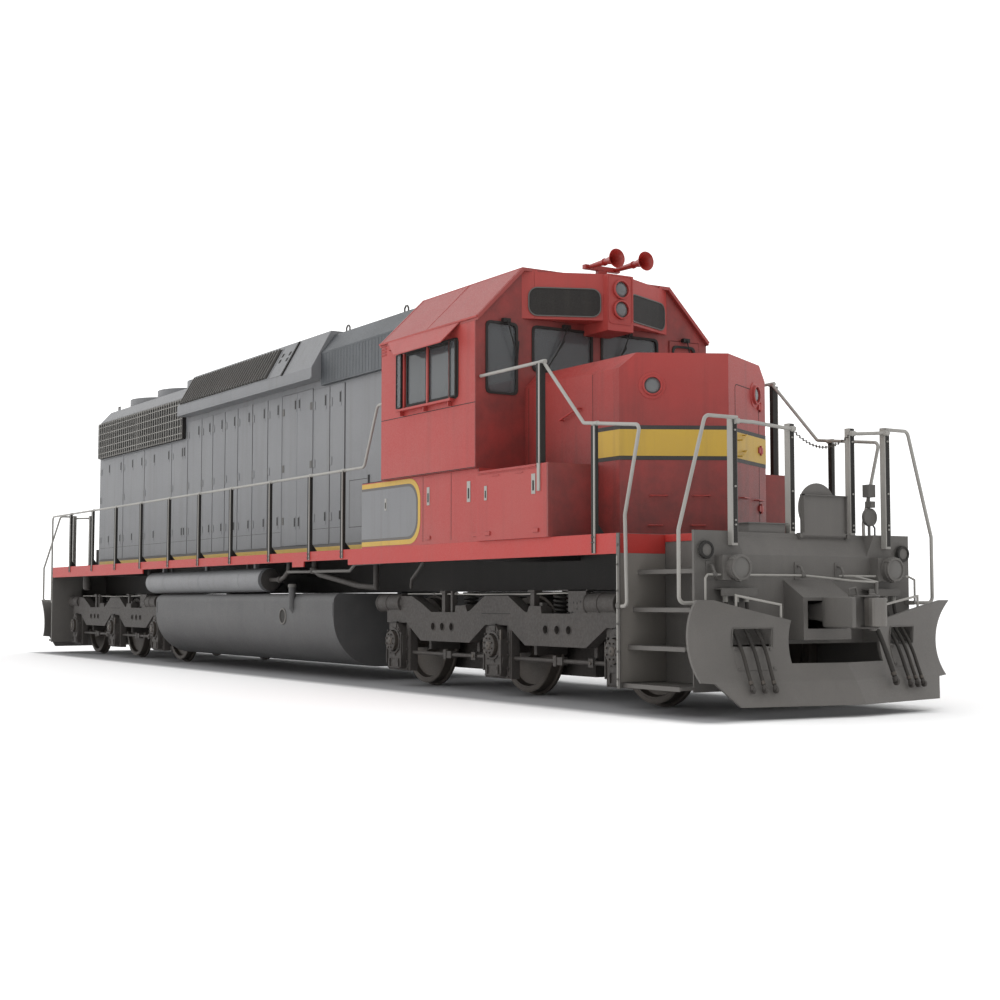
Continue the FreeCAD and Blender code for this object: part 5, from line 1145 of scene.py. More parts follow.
@dataclass
class Nose:
    """Band, class lamps, door and grab irons of the nose."""

    shop: PaintShop
    corner: float = 8.064
    crease: float = 8.586
    half: float = 0.943
    # degrees that each face of the V points outwards
    turn: float = 28.97

    def face(self, side: int, share: float, height: float) -> Point:
        """Point on one face of the V, from its corner (0) to the crease (1)."""
        return (self.corner + (self.crease - self.corner) * share, side * self.half * (1 - share), height)

    def band(self) -> None:
        """Plain yellow band with dark edges round the nose."""
        form = Form("nose_band", self.shop, slot="red_paint")
        for low, high, proud, finish in ((2.38, 2.72, 0.002, Finish.SHADE),
                                         (2.42, 2.68, 0.003, Finish.YELLOW)):
            outer, inner = [], []
            for x, y in ((7.62, -self.half), (self.corner, -self.half), (self.crease, 0.0),
                         (self.corner, self.half), (7.62, self.half)):
                ahead, aside = float(x >= self.corner), math.copysign(1, y) if y else 0.0
                outer.append((x + proud * ahead, y + proud * aside))
                inner.append((x - 0.02 * ahead, y - 0.02 * aside))
            form.prism("z", outer + inner[::-1], low, high, finish)
        form.done()

    def fittings(self) -> None:
        """Class lamps, nose door, hinges, steps and grab irons."""
        form = Form("nose_fittings", self.shop, slot="red_paint")
        for side in SIDES:
            form.at(self.face(side, 0.30, 3.11), side * self.turn)
            form.turned((-0.004, 0, 0), AHEAD, [(0, 0.135), (0.010, 0.132), (0.012, 0.118)], Finish.RED, 32)
            form.turned((0.004, 0, 0), AHEAD, [(0, 0.082), (0, 0.100), (0.030, 0.098), (0.034, 0.082)],
                        Finish.RED, 32, endless=True)
            form.turned((0.006, 0, 0), AHEAD,
                        [(0, 0.083), (0.012, 0.070), (0.020, 0.045), (0.023, 0.01)], Finish.LENS, 32)
            form.at(self.face(side, 0.5, 0.0), side * self.turn)
            for across, height, wide in ((-0.24, 2.03, 0.16), (0.18, 2.03, 0.16), (-0.26, 1.74, 0.13),
                                         (0.16, 1.74, 0.13)):
                form.pipe([(0.0, across, height), (0.045, across, height), (0.045, across + wide, height),
                           (0.0, across + wide, height)], 0.007, Finish.RED, 8)
        form.at(self.face(1, 0.5, 0.0), self.turn)
        door = rounded((-0.36, 0.34), (1.70, 3.16), 0.05)
        form.border("x", door, rounded((-0.352, 0.332), (1.708, 3.152), 0.045), -0.002, 0.0015, Finish.BLACK)
        for height in (1.95, 2.55, 3.0):
            form.block((0.0, 0.018), (0.30, 0.42), about(height, 0.03), Finish.RED)
            form.turned((0.012, 0.36, height - 0.05), UP, [(0, 0.012), (0.10, 0.012)], Finish.RED, 12)
        for low, high in ((2.60, 2.66), (2.44, 2.50)):
            form.pipe([(0.0, -0.30, low), (0.05, -0.30, low), (0.05, -0.16, high), (0.0, -0.16, high)], 0.008,
                      Finish.YELLOW, 8)
        form.at((0.0, 0.0, 0.0))
        for side in SIDES:
            form.pipe([(7.1, side * self.half, 2.86), (7.1, side * 0.99, 2.86), (7.42, side * 0.99, 2.95),
                       (7.42, side * self.half, 2.95)], 0.010, Finish.RED, 8)
            for x in (6.45, 7.62):
                form.block(about(x, 0.003), span_of(side, self.half - 0.002, self.half + 0.001),
                           (2.37, 3.27), Finish.BLACK)
        form.done()

    def build(self) -> None:
        """Build everything on the nose."""
        self.band()
        self.fittings()


# -------------------------------------------------------------------- long hood
@dataclass
class Hood:
    """Stripes, seams, latches, grille wires, louvres, guards and eyes of the long hood."""

    shop: PaintShop
    repeats: Repeats
    half: float = 0.95
    proud: float = 0.958
    rear_face: float = -8.25
    leaves: tuple[Pair, ...] = (
        (-8.170, -6.870), (-6.870, -5.740), (-5.740, -4.390), (-4.390, -3.650), (-3.650, -3.030),
        (-3.030, -2.557), (-2.557, -2.050), (-2.050, -1.545), (-1.545, -0.985), (-0.985, -0.423),
        (-0.423, 0.070), (1.102, 1.626), (1.626, 2.075))
    fans: tuple[Pair, ...] = ((-7.36, 0.61), (-5.89, 0.61), (-4.42, 0.61))
    grid_fans: tuple[Pair, ...] = ((-2.10, 0.48), (-0.10, 0.48))

    def top_of(self, rear: float, front: float) -> float:
        """Top edge of one shut leaf."""
        if rear < -3.76:
            return 3.61
        return 3.87 if front > 1.45 else 3.90

    def stripes(self) -> None:
        """Yellow and dark lines along the hood's foot, and round its front edge."""
        form = Form("hood_stripes", self.shop, slot="grey_paint")
        for side in SIDES:
            for low, high, finish in ((1.640, 1.722, Finish.YELLOW), (1.722, 1.756, Finish.DARK)):
                form.block((-8.20, 3.688), span_of(side, self.half - 0.002, self.half + 0.002), (low, high),
                           finish)
            for start, end, finish in ((4.120, 4.175, Finish.YELLOW), (4.085, 4.120, Finish.DARK)):
                form.block((start, end), span_of(side, self.half - 0.002, self.half + 0.002), (2.41, 3.88),
                           finish)
        form.done()

    def seams(self) -> None:
        """Dark gaps between the doors, with hinges and latches on each leaf."""
        form = Form("hood_seams_and_latches", self.shop, slot="grey_paint")
        for side in SIDES:
            lay = form.layer(side, self.proud)
            for rear, front in self.leaves:
                top = self.top_of(rear, front)
                lay(about(front, 0.007), (1.77, top - 0.01), 0.001, Finish.BLACK, self.half)
                for low, high in ((top - 0.30, top - 0.10), (2.02, 2.20)):
                    for x in ([front - 0.13] if front - rear < 0.7 else [front - 0.14, rear + 0.5]):
                        lay(about(x, 0.030), (low, high), 0.003, Finish.GREY)
                        lay(about(x, 0.018), (low + 0.05, high - 0.015), 0.005, Finish.BLACK)
                for height in (2.12, 2.86, top - 0.22):
                    lay((rear + 0.02, rear + 0.075), about(height, 0.055), 0.006, Finish.GREY)
                    form.turned((rear + 0.012, side * (self.proud + 0.004), height - 0.055), UP,
                                [(0, 0.008), (0.11, 0.008)], Finish.DARK, 8)
                lay((rear + 0.02, front - 0.02), (1.966, 1.970), 0.0008, Finish.BLACK)
            for x, z in (((2.20, 2.76), (2.556, 2.562)), ((2.20, 2.76), (1.95, 1.956)),
                         ((2.20, 2.206), (1.95, 2.56)), ((3.62, 3.628), (1.70, 3.86))):
                lay(x, z, 0.001, Finish.BLACK, self.half)
            lay((2.745, 2.775), (1.95, 2.60), 0.012, Finish.BLACK, self.half)
            form.pipe([(3.90, side * self.half, 2.86), (3.90, side * 0.99, 2.86), (3.90, side * 0.99, 2.60),
                       (3.90, side * self.half, 2.60)], 0.010, Finish.BLACK, 8)
        form.done()

    def door_fittings(self) -> None:
        """Latches and hinge straps on the four doors that open."""
        for side, hand in HANDS:
            for which, latch, edge in (("rear", 0.53, 0.10), ("front", 0.66, 1.07)):
                form = Form("door_fittings_%s_%s" % (hand, which), self.shop,
                            "hood_door_%s_%s_leaf" % (hand, which), "grey_paint")
                lay = form.layer(side, self.proud)
                for height in (3.72, 2.08):
                    lay(about(latch, 0.030), about(height, 0.09), 0.003, Finish.GREY)
                    lay(about(latch, 0.018), (height - 0.05, height + 0.07), 0.005, Finish.BLACK)
                for height in (2.12, 2.86, 3.66):
                    low = edge if which == "rear" else edge - 0.06
                    lay((low, low + 0.06), about(height, 0.05), 0.005, Finish.DARK)
                form.done()

    def grilles(self) -> None:
        """Frames and wire grids over the radiator openings, and the louvres behind them."""
        form = Form("grille_frames", self.shop, slot="black_metal")
        for side in SIDES:
            for rear, front in ((-8.18, -5.98), (-5.96, -3.76)):
                form.border("y", rounded((rear, front), (3.64, 4.29), 0.01, 1),
                            rounded((rear + 0.025, front - 0.025), (3.665, 4.265), 0.01, 1),
                            *span_of(side, 1.004, 1.020), Finish.DARK)
        form.done()
        for name, x, y, z, count, step, bar, finish, lean in (
                ("grille_uprights", -8.08, 1.026, 3.965, 39, (0.112, 0.0, 0.0), (0.012, 0.010, 0.66),
                 Finish.RAIL, 0.0),
                ("grille_crossbars", -5.97, 1.017, 3.73, 5, (0.0, 0.0, 0.12), (4.40, 0.010, 0.012),
                 Finish.RAIL, 0.0),
                ("grille_louvres", -5.97, 1.012, 3.675, 21, (0.0, 0.0, 0.029), (4.36, 0.016, 0.004),
                 Finish.BLACK, 0.6)):
            self.repeats.bars(name, [(x, side * y, z) for side in SIDES], count, step, bar, finish, lean)

    def louvres(self) -> None:
        """Slanted louvre banks of the brake housing."""
        slope = math.degrees(math.atan2(0.29, 0.52))
        form = Form("brake_louvre_beds", self.shop, slot="grey_paint")
        for side in SIDES:
            foot, head = (1.150, 4.13), (0.860, 4.65)

            def on_slope(share: float, off: float) -> Pair:
                """Point on the slope, from its foot to its head, and off its face."""
                tilt = math.radians(slope)
                return (side * (foot[0] + (head[0] - foot[0]) * share + off * math.cos(tilt)),
                        foot[1] + (head[1] - foot[1]) * share + off * math.sin(tilt))
            for rear, front, low, high, off, finish in (
                    (-3.60, -0.02, 0.02, 0.93, 0.004, Finish.GREY),
                    (-3.56, -0.06, 0.05, 0.90, 0.006, Finish.BLACK),
                    (0.46, 0.50, 0.0, 0.96, 0.018, Finish.BLACK),
                    (0.02, 0.46, 0.02, 0.94, 0.006, Finish.GREY)):
                form.prism("x", [on_slope(low, -0.004), on_slope(high, -0.004), on_slope(high, off),
                                 on_slope(low, off)], rear, front, finish)
            for x in (0.10, 0.34):
                for share in (0.45, 0.62):
                    form.prism("x", [on_slope(share, 0.0), on_slope(share + 0.10, 0.0),
                                     on_slope(share + 0.10, 0.009), on_slope(share, 0.009)],
                               x - 0.03, x + 0.03, Finish.BLACK)
            form.prism("x", [(side * 1.148, 3.975), (side * 1.160, 3.975), (side * 1.160, 4.0),
                             (side * 1.148, 4.0)], -3.62, 1.44, Finish.GREY)
        form.done()
        for side, word in HANDS:
            self.repeats.bars("brake_louvres_" + word, [(-3.51, side * 1.020, 4.384)], 34,
                              (0.1025, 0.0, 0.0), (0.026, 0.050, 0.50), Finish.DARK,
                              math.radians(side * slope), "grey_paint")

    def hatch(self) -> None:
        """Ribs of the filter hatch, its front mouldings and the lifting eyes."""
        rows = [(1.52, side * 1.009, 4.11) for side in SIDES]
        self.repeats.bars("hatch_ribs", rows, 30, (0.088, 0.0, 0.0), (0.014, 0.006, 0.40), Finish.ZINC,
                          slot="grey_paint")
        form = Form("hatch_edges_and_eyes", self.shop, slot="grey_paint")
        for side in SIDES:
            for low, high in ((3.892, 3.915), (4.31, 4.335)):
                form.block((1.46, 4.14), span_of(side, 1.004, 1.012), (low, high), Finish.ZINC)
            for x in (1.72, 3.35):
                form.pipe([(x - 0.05, side * 0.74, 4.596), (x - 0.05, side * 0.74, 4.66),
                           (x - 0.02, side * 0.74, 4.69), (x + 0.02, side * 0.74, 4.69),
                           (x + 0.05, side * 0.74, 4.66), (x + 0.05, side * 0.74, 4.596)], 0.012,
                          Finish.DARK, 8)
            form.pipe([(-7.98, side * 0.70, 4.56), (-7.98, side * 0.70, 4.62), (-7.90, side * 0.70, 4.62),
                       (-7.90, side * 0.70, 4.56)], 0.012, Finish.DARK, 8)
            for index in range(3):
                z = 4.02 + 0.09 * index
                form.block((4.09, 4.148), span_of(side, 1.004, 1.012), (z, z + 0.045),
                           Finish.YELLOW if index % 2 else Finish.BLACK)
        form.done()

    def guards(self) -> None:
        """Round wire guards over every fan."""
        form = Form("fan_guards", self.shop, slot="black_metal")
        for row, top in ((self.fans, 4.701), (self.grid_fans, 4.646)):
            for x, radius in row:
                count = int(radius / 0.075)
                for ring in range(2, count + 1):
                    at = radius * ring / count
                    form.turned((x, 0, top), UP,
                                [(0, at - 0.006), (0, at + 0.002), (0.006, at + 0.002), (0.006, at - 0.006)],
                                Finish.DARK, 48, endless=True)
                for spoke in range(12):
                    turn = math.radians(30 * spoke + 15)
                    form.pipe([(x + 0.09 * math.cos(turn), 0.09 * math.sin(turn), top + 0.002),
                               (x + radius * math.cos(turn), radius * math.sin(turn), top + 0.002)], 0.005,
                              Finish.DARK, 6)
        form.done()

    def rear_wall(self) -> None:
        """Headlight, blank boards, grab irons and sand hatches of the rear wall."""
        form = Form("rear_wall_fittings", self.shop, slot="grey_paint")
        face = self.rear_face
        form.prism("x", rounded((-0.17, 0.17), (3.86, 4.42), 0.06), face - 0.08, face + 0.005, Finish.GREY)
        for height in (4.02, 4.26):
            form.turned((face - 0.078, 0, height), (-1, 0, 0),
                        [(0, 0.085), (0, 0.10), (0.03, 0.10), (0.032, 0.086)], Finish.DARK, 32, endless=True)
            form.turned((face - 0.078, 0, height), (-1, 0, 0), [(0, 0.088), (0.012, 0.07), (0.018, 0.01)],
                        Finish.LENS, 32)
        for side in SIDES:
            board = rounded(span_of(side, 0.28, 0.86), (4.02, 4.28), 0.05)
            form.prism("x", board, face - 0.02, face + 0.004, Finish.DARK)
            form.prism("x", rounded(span_of(side, 0.31, 0.83), (4.05, 4.25), 0.04),
                       face - 0.024, face - 0.018, Finish.BLACK)
            for step in range(6):
                height = 1.95 + 0.38 * step
                form.pipe([(face, side * 0.60, height), (face - 0.07, side * 0.60, height),
                           (face - 0.07, side * 0.86, height), (face, side * 0.86, height)], 0.010,
                          Finish.GREY, 8)
        form.border("x", rounded((-0.42, 0.42), (1.80, 3.60), 0.04),
                    rounded((-0.41, 0.41), (1.81, 3.59), 0.035), face - 0.003, face + 0.002, Finish.BLACK)
        form.block((face - 0.008, face), (0.34, 0.38), (2.55, 2.75), Finish.BLACK)
        form.done()

    def build(self) -> None:
        """Build everything on the hood."""
        self.stripes()
        self.seams()
        self.door_fittings()
        self.grilles()
        self.louvres()
        self.hatch()
        self.guards()
        self.rear_wall()


# -------------------------------------------------------------- front platform
@dataclass
class FrontEnd:
    """Lamp rims, levers, grab bars, chain and valve of the front platform, plow and steps."""

    shop: PaintShop
    repeats: Repeats
    face: float = 9.65
    deck: float = 1.628
    plow_half: float = 1.535
    lead: float = 0.32
    waist: float = 9.795
    hollow: float = 0.4903
    hollow_middle: float = 0.657
    lamp: tuple[float, float] = (0.945, 1.30)
    marker: tuple[float, float] = (1.21, 1.455)
    # radius of the circle of studs round a lamp
    rim: float = 0.113

    def on_blade(self, across: float, height: float, off: float) -> Point:
        """Point off the plow's hollow face."""
        lead = self.lead * (1 - abs(across) / self.plow_half)
        deep = 0.489 - math.sqrt(self.hollow ** 2 - (height - self.hollow_middle) ** 2)
        return (self.waist + lead + deep + off, across, height)

    def lamps(self) -> None:
        """Rims and lenses of the walkway lamps and the marker lamps, at both ends."""
        for end, name in ENDS:
            form = Form("platform_lamps_" + name, self.shop)
            way = (end, 0, 0)
            for side in SIDES:
                y, z = side * self.lamp[0], self.lamp[1]
                form.turned((end * 9.800, y, z), way,
                            [(0, 0.111), (0.004, 0.117), (0.020, 0.117), (0.024, 0.111)], Finish.DARK, 32)
                form.turned((end * 9.834, y, z), way,
                            [(0, 0.088), (0, 0.113), (0.010, 0.113), (0.014, 0.108), (0.014, 0.092)],
                            Finish.DARK, 32, endless=True)
                form.turned((end * 9.836, y, z), way,
                            [(0, 0.090), (0.005, 0.078), (0.010, 0.045), (0.011, 0.01)], Finish.DULL_LENS, 32)
                for angle in (20, 140, 260):
                    turn = math.radians(angle)
                    dy, dz = self.rim * math.cos(turn), self.rim * math.sin(turn)
                    form.turned((end * 9.79, y + dy, z + dz), way,
                                [(0, 0.013), (0.055, 0.013), (0.058, 0.009)], Finish.DARK, 8)
                y, z = side * self.marker[0], self.marker[1]
                form.turned((end * 9.668, y, z), way,
                            [(0, 0.055), (0, 0.080), (0.020, 0.080), (0.030, 0.074), (0.030, 0.055)],
                            Finish.BLACK, 28, endless=True)
                form.turned((end * 9.686, y, z), way, [(0, 0.057), (0.004, 0.050)], Finish.DARK, 28)
            form.done()

    def lever(self) -> None:
        """Uncoupling lever across the end plate, with its brackets and handles."""
        form = Form("uncoupling_lever", self.shop)
        x, height = self.face + 0.075, 1.238
        form.pipe([(x + 0.03, -1.285, 1.00), (x + 0.03, -1.285, height - 0.03), (x, -1.235, height),
                   (x, -0.10, height), (x + 0.10, 0.06, height - 0.02), (x + 0.20, 0.30, 1.190),
                   (x + 0.20, 0.62, 1.180)], 0.010, Finish.RAIL)
        form.pipe([(x + 0.20, 0.62, 1.180), (x + 0.08, 0.44, 1.235), (x, 0.36, height), (x, 1.235, height),
                   (x + 0.03, 1.285, height - 0.03), (x + 0.03, 1.285, 1.00)], 0.010, Finish.RAIL)
        for y in (-1.16, -0.12, 0.38, 1.16):
            form.block((self.face - 0.002, self.face + 0.008), about(y, 0.035), (1.20, 1.36), Finish.DARK)
            form.pipe([(self.face, y, 1.33), (self.face + 0.05, y, 1.315), (x + 0.012, y, height + 0.012)],
                      0.012, Finish.DARK, 8)
            form.turned((x, y - 0.02, height), (0, 1, 0), [(0, 0.022), (0.04, 0.022)], Finish.DARK, 16)
        form.turned((x + 0.20, 0.60, 1.180), (0, 0, -1), [(0, 0.020), (0.10, 0.016), (0.11, 0.010)],
                    Finish.DARK, 12)
        form.done()

    def plow_fittings(self) -> None:
        """Grab bars on the plow, doubler plates below its windows, and its edge strip."""
        form = Form("plow_fittings", self.shop)
        for side in SIDES:
            outer, inner = self.on_blade(side * 1.11, 0.93, -0.015), self.on_blade(side * 0.64, 0.83, -0.015)
            form.pipe([outer, (outer[0], outer[1], 1.055), (inner[0], inner[1], 0.975), inner], 0.011,
                      Finish.RAIL)
            heights = (0.410, 0.460, 0.510, 0.560, 0.612)
            rings = []
            for across in (side * 0.725, side * 1.098):
                ring = [self.on_blade(across, height, 0.005) for height in heights]
                rings.append(ring + [self.on_blade(across, height, -0.004) for height in reversed(heights)])
            form.loft(rings, Finish.DARK)
            rim = []
            for across, height in ((0.715, 0.606), (0.715, 0.777), (1.108, 0.777), (1.108, 0.606)):
                rim.append(self.on_blade(side * across, height, 0.0))
            for start, stop in zip(rim, rim[1:] + rim[:1]):
                form.pipe([start, stop], 0.005, Finish.DARK, 6)
        form.done()
        places, ways = [], []
        for side in SIDES:
            for across, height in ((0.745, 0.43), (1.078, 0.43), (0.745, 0.59), (1.078, 0.59)):
                places.append(self.on_blade(side * across, height, 0.006))
                ways.append((1.0, side * 0.2, 0.0))
        self.repeats.bolts("plow_bolts", places, ways, (0.024, 0.010, 12), Finish.DARK)

    def walkway(self) -> None:
        """Chain, valve, box and step lugs on the front walkway."""
        form = Form("front_walkway_fittings", self.shop)
        form.block((9.28, 9.50), (-0.56, -0.12), (self.deck - 0.001, self.deck + 0.085), Finish.DARK)
        form.block((9.26, 9.52), (-0.58, -0.10), (self.deck + 0.083, self.deck + 0.093), Finish.DARK)
        for y in (0.012, 0.608):
            form.prism("y", [(9.527, 1.590), (9.575, 1.590), (9.575, 1.622), (9.560, 1.636), (9.527, 1.636)],
                       y - 0.014, y + 0.014, Finish.DARK)
        valve = (9.585, 0.868)
        form.pipe([(valve[0], valve[1], self.deck - 0.01), (valve[0], valve[1], 2.10)], 0.014, Finish.DARK)
        form.turned((valve[0] - 0.02, valve[1], 1.80), AHEAD,
                    [(0, 0.074), (0.01, 0.085), (0.045, 0.085), (0.055, 0.070), (0.060, 0.03)],
                    Finish.DARK, 28)
        form.block((valve[0] - 0.035, valve[0] + 0.045), (valve[1] - 0.045, valve[1] + 0.045), (1.99, 2.11),
                   Finish.DARK)
        form.block((valve[0] - 0.02, valve[0] + 0.055), (valve[1] - 0.03, valve[1] + 0.03), (1.89, 1.95),
                   Finish.DARK)
        form.pipe([(valve[0], valve[1] + 0.02, 1.76), (valve[0], valve[1] + 0.075, 1.70),
                   (valve[0], valve[1] + 0.075, self.deck - 0.01)], 0.008, Finish.BLACK, 8)
        form.done()
        chain = Form("step_chain", self.shop, slot="steel")
        links, span, sag, wire, ring = 34, 0.70, 0.52, 0.004, 0.0135
        for number in range(links):
            share = (number + 0.5) / links
            base = (9.505, span * share, 2.58 - sag * share * (1 - share))
            chain.turned(base, (1, 0.5, 0) if number % 2 else (0.2, 0, 1),
                         [(wire * math.cos(math.radians(60 * step)),
                           ring + wire * math.sin(math.radians(60 * step))) for step in range(6)],
                         Finish.STEEL, 10, endless=True)
        chain.done()
        step = Form("drop_step_edges", self.shop, "drop_step_front_plate")
        for y in (0.034, 0.576):
            step.block((9.556, 9.592), (y, y + 0.010), (1.64, 1.992), Finish.DARK)
        step.block((9.556, 9.592), (0.034, 0.586), (1.982, 1.992), Finish.DARK)
        step.done()

    def posts(self) -> None:
        """Light edges, dark webs and bolts of the end posts."""
        form = Form("end_post_edges", self.shop)
        places, ways = [], []
        for end in (1, -1):
            for x, y, foot in ((self.face, -0.905 * end, 1.50), (self.face, 0.990 * end, 1.50),
                               (9.45, -0.04 * end, 1.63), (9.45, 0.73 * end, 1.63)):
                front = end * (x + 0.060)
                span = sorted((front - end * 0.001, front + end * 0.004))
                for low, high, finish in ((-0.033, -0.021, Finish.RAIL), (-0.021, 0.026, Finish.BLACK),
                                          (0.026, 0.033, Finish.DARK)):
                    form.block(span, (y + low, y + high), (foot + 0.02, 2.645), finish)
                for height in (1.68, 1.72, 2.02, 2.52, 2.58):
                    places.append((front + end * 0.008, y, height))
                    ways.append((float(end), 0.0, 0.0))
        form.done()
        for end, name in ENDS:
            rails = Form("end_post_rails_" + name, self.shop, slot="rail_grey")
            for run in (((9.727, -0.885, 2.60), (9.727, -0.70, 2.60), (9.527, -0.12, 2.60),
                         (9.527, -0.04, 2.60)),
                        ((9.727, 0.97, 2.60), (9.527, 0.80, 2.60), (9.527, 0.73, 2.60))):
                rails.pipe([(end * x, end * y, z) for x, y, z in run], 0.017, Finish.RAIL, 12)
                for x, y, z in (run[0], run[-1]):
                    rails.turned((end * x, end * y - 0.028, z), (0, 1, 0),
                                 [(0, 0.022), (0.003, 0.025), (0.053, 0.025), (0.056, 0.022)],
                                 Finish.RAIL, 16)
            rails.done()
        self.repeats.bolts("end_post_bolts", places, ways, (0.020, 0.012, 6), Finish.RAIL)

    def steps(self) -> None:
        """Nosings, grips and rivets of the step wells."""
        form = Form("step_nosings", self.shop)
        grips, places, ways = [], [], []
        for end, depth in ((1, 0.87), (-1, 0.40)):
            rear, front = sorted((end * (self.face - depth + 0.012), end * (self.face - 0.032)))
            for side in SIDES:
                for step in range(4):
                    top, edge = 0.262 + 0.342 * step, 1.46 - 0.06 * step
                    form.block((rear, front), span_of(side, edge - 0.004, edge + 0.006),
                               (top - 0.038, top + 0.002), Finish.DARK)
                    if end > 0:
                        grips.append((rear + 0.03, side * (edge - 0.05), top + 0.002))
                x = end * (self.face - depth + 0.0225)
                for height in (0.30, 0.55, 0.80, 1.10, 1.34, 1.52):
                    places.append((x, side * 1.523, height))
                    ways.append((0.0, float(side), 0.0))
            if end > 0:
                for side in SIDES:
                    form.turned((8.803, side * 1.515, 0.965), (0, side, 0),
                                [(0, 0.030), (0.012, 0.028), (0.014, 0.020)], Finish.DARK, 20)
                    form.block((8.786, 8.800), span_of(side, 1.500, 1.524), (0.24, 1.42), Finish.RAIL)
                    form.block((8.785, 8.7965), span_of(side, 0.965, 1.508), (1.445, 1.624), Finish.SILL_RED)
                    # the well's rear wall: a pale plate, dust and painted light against the shade in the well
                    form.block((8.785, 8.7955), span_of(side, 0.965, 1.508), (0.27, 1.445), Finish.DUST_AND_PAINTED_LIGHT)
                    form.block((8.80, 9.62), span_of(side, 0.955, 0.969), (1.555, 1.624), Finish.SILL_RED)
        form.done()
        self.repeats.bolts("step_rivets", places, ways, (0.022, 0.008, 12), Finish.DARK)
        self.repeats.bars("step_grips", grips, 20, (0.040, 0.0, 0.0), (0.012, 0.085, 0.005), Finish.DARK,
                          slot="dark_metal")

    def build(self) -> None:
        """Build everything on the front end, and what the rear end shares with it."""
        self.lamps()
        self.lever()
        self.plow_fittings()
        self.walkway()
        self.posts()
        self.steps()


# -------------------------------------------------------------------- handrails
@dataclass
class Handrails:
    """Dark post covers with light edges, foot plates and sleeves of the side handrails."""

    shop: PaintShop
    repeats: Repeats
    outside: float = 1.532
    end_post: float = 8.440
    posts: tuple[float, ...] = (3.159, 2.212, 0.949, -0.422, -1.667, -2.948, -4.262, -5.542, -6.820, -8.144)

    def build(self) -> None:
        """Build the posts' covers and feet on both sides."""
        form = Form("side_post_covers", self.shop)
        places, ways = [], []
        rows = [(x, 1.522, 2.582, self.outside) for x in self.posts]
        rows += [(7.558, 2.36, 3.342, 1.562), (self.end_post, 1.452, 2.642, self.outside)]
        for side in SIDES:
            for x, low, high, foot_y in rows:
                form.block(about(x, 0.026), span_of(side, 1.489, foot_y - 0.006), (low, high), Finish.BLACK)
                form.block((x - 0.026, x + 0.010), span_of(side, foot_y - 0.006, foot_y + 0.004), (low, high),
                           Finish.BLACK)
                form.block((x + 0.010, x + 0.026), span_of(side, foot_y - 0.006, foot_y + 0.005), (low, high),
                           Finish.RAIL)
                form.turned((x - 0.045, side * 1.50, high + (0.018 if x < 4 else 0.022)), AHEAD,
                            [(0, 0.018), (0.004, 0.023), (0.086, 0.023), (0.090, 0.018)], Finish.RAIL, 16)
            for x in self.posts + (self.end_post,):
                corner = [(side * 1.490, 1.626), (side * 1.400, 1.626), (side * 1.490, 1.735)]
                form.prism("x", corner, x - 0.006, x + 0.006, Finish.BLACK)
                for height in (1.55, 1.60):
                    for off in (-0.014, 0.014):
                        places.append((x + off, side * 1.538, height))
                        ways.append((0.0, float(side), 0.0))
        form.done()
        self.repeats.bolts("post_bolts", places, ways, (0.016, 0.010, 6), Finish.DARK)


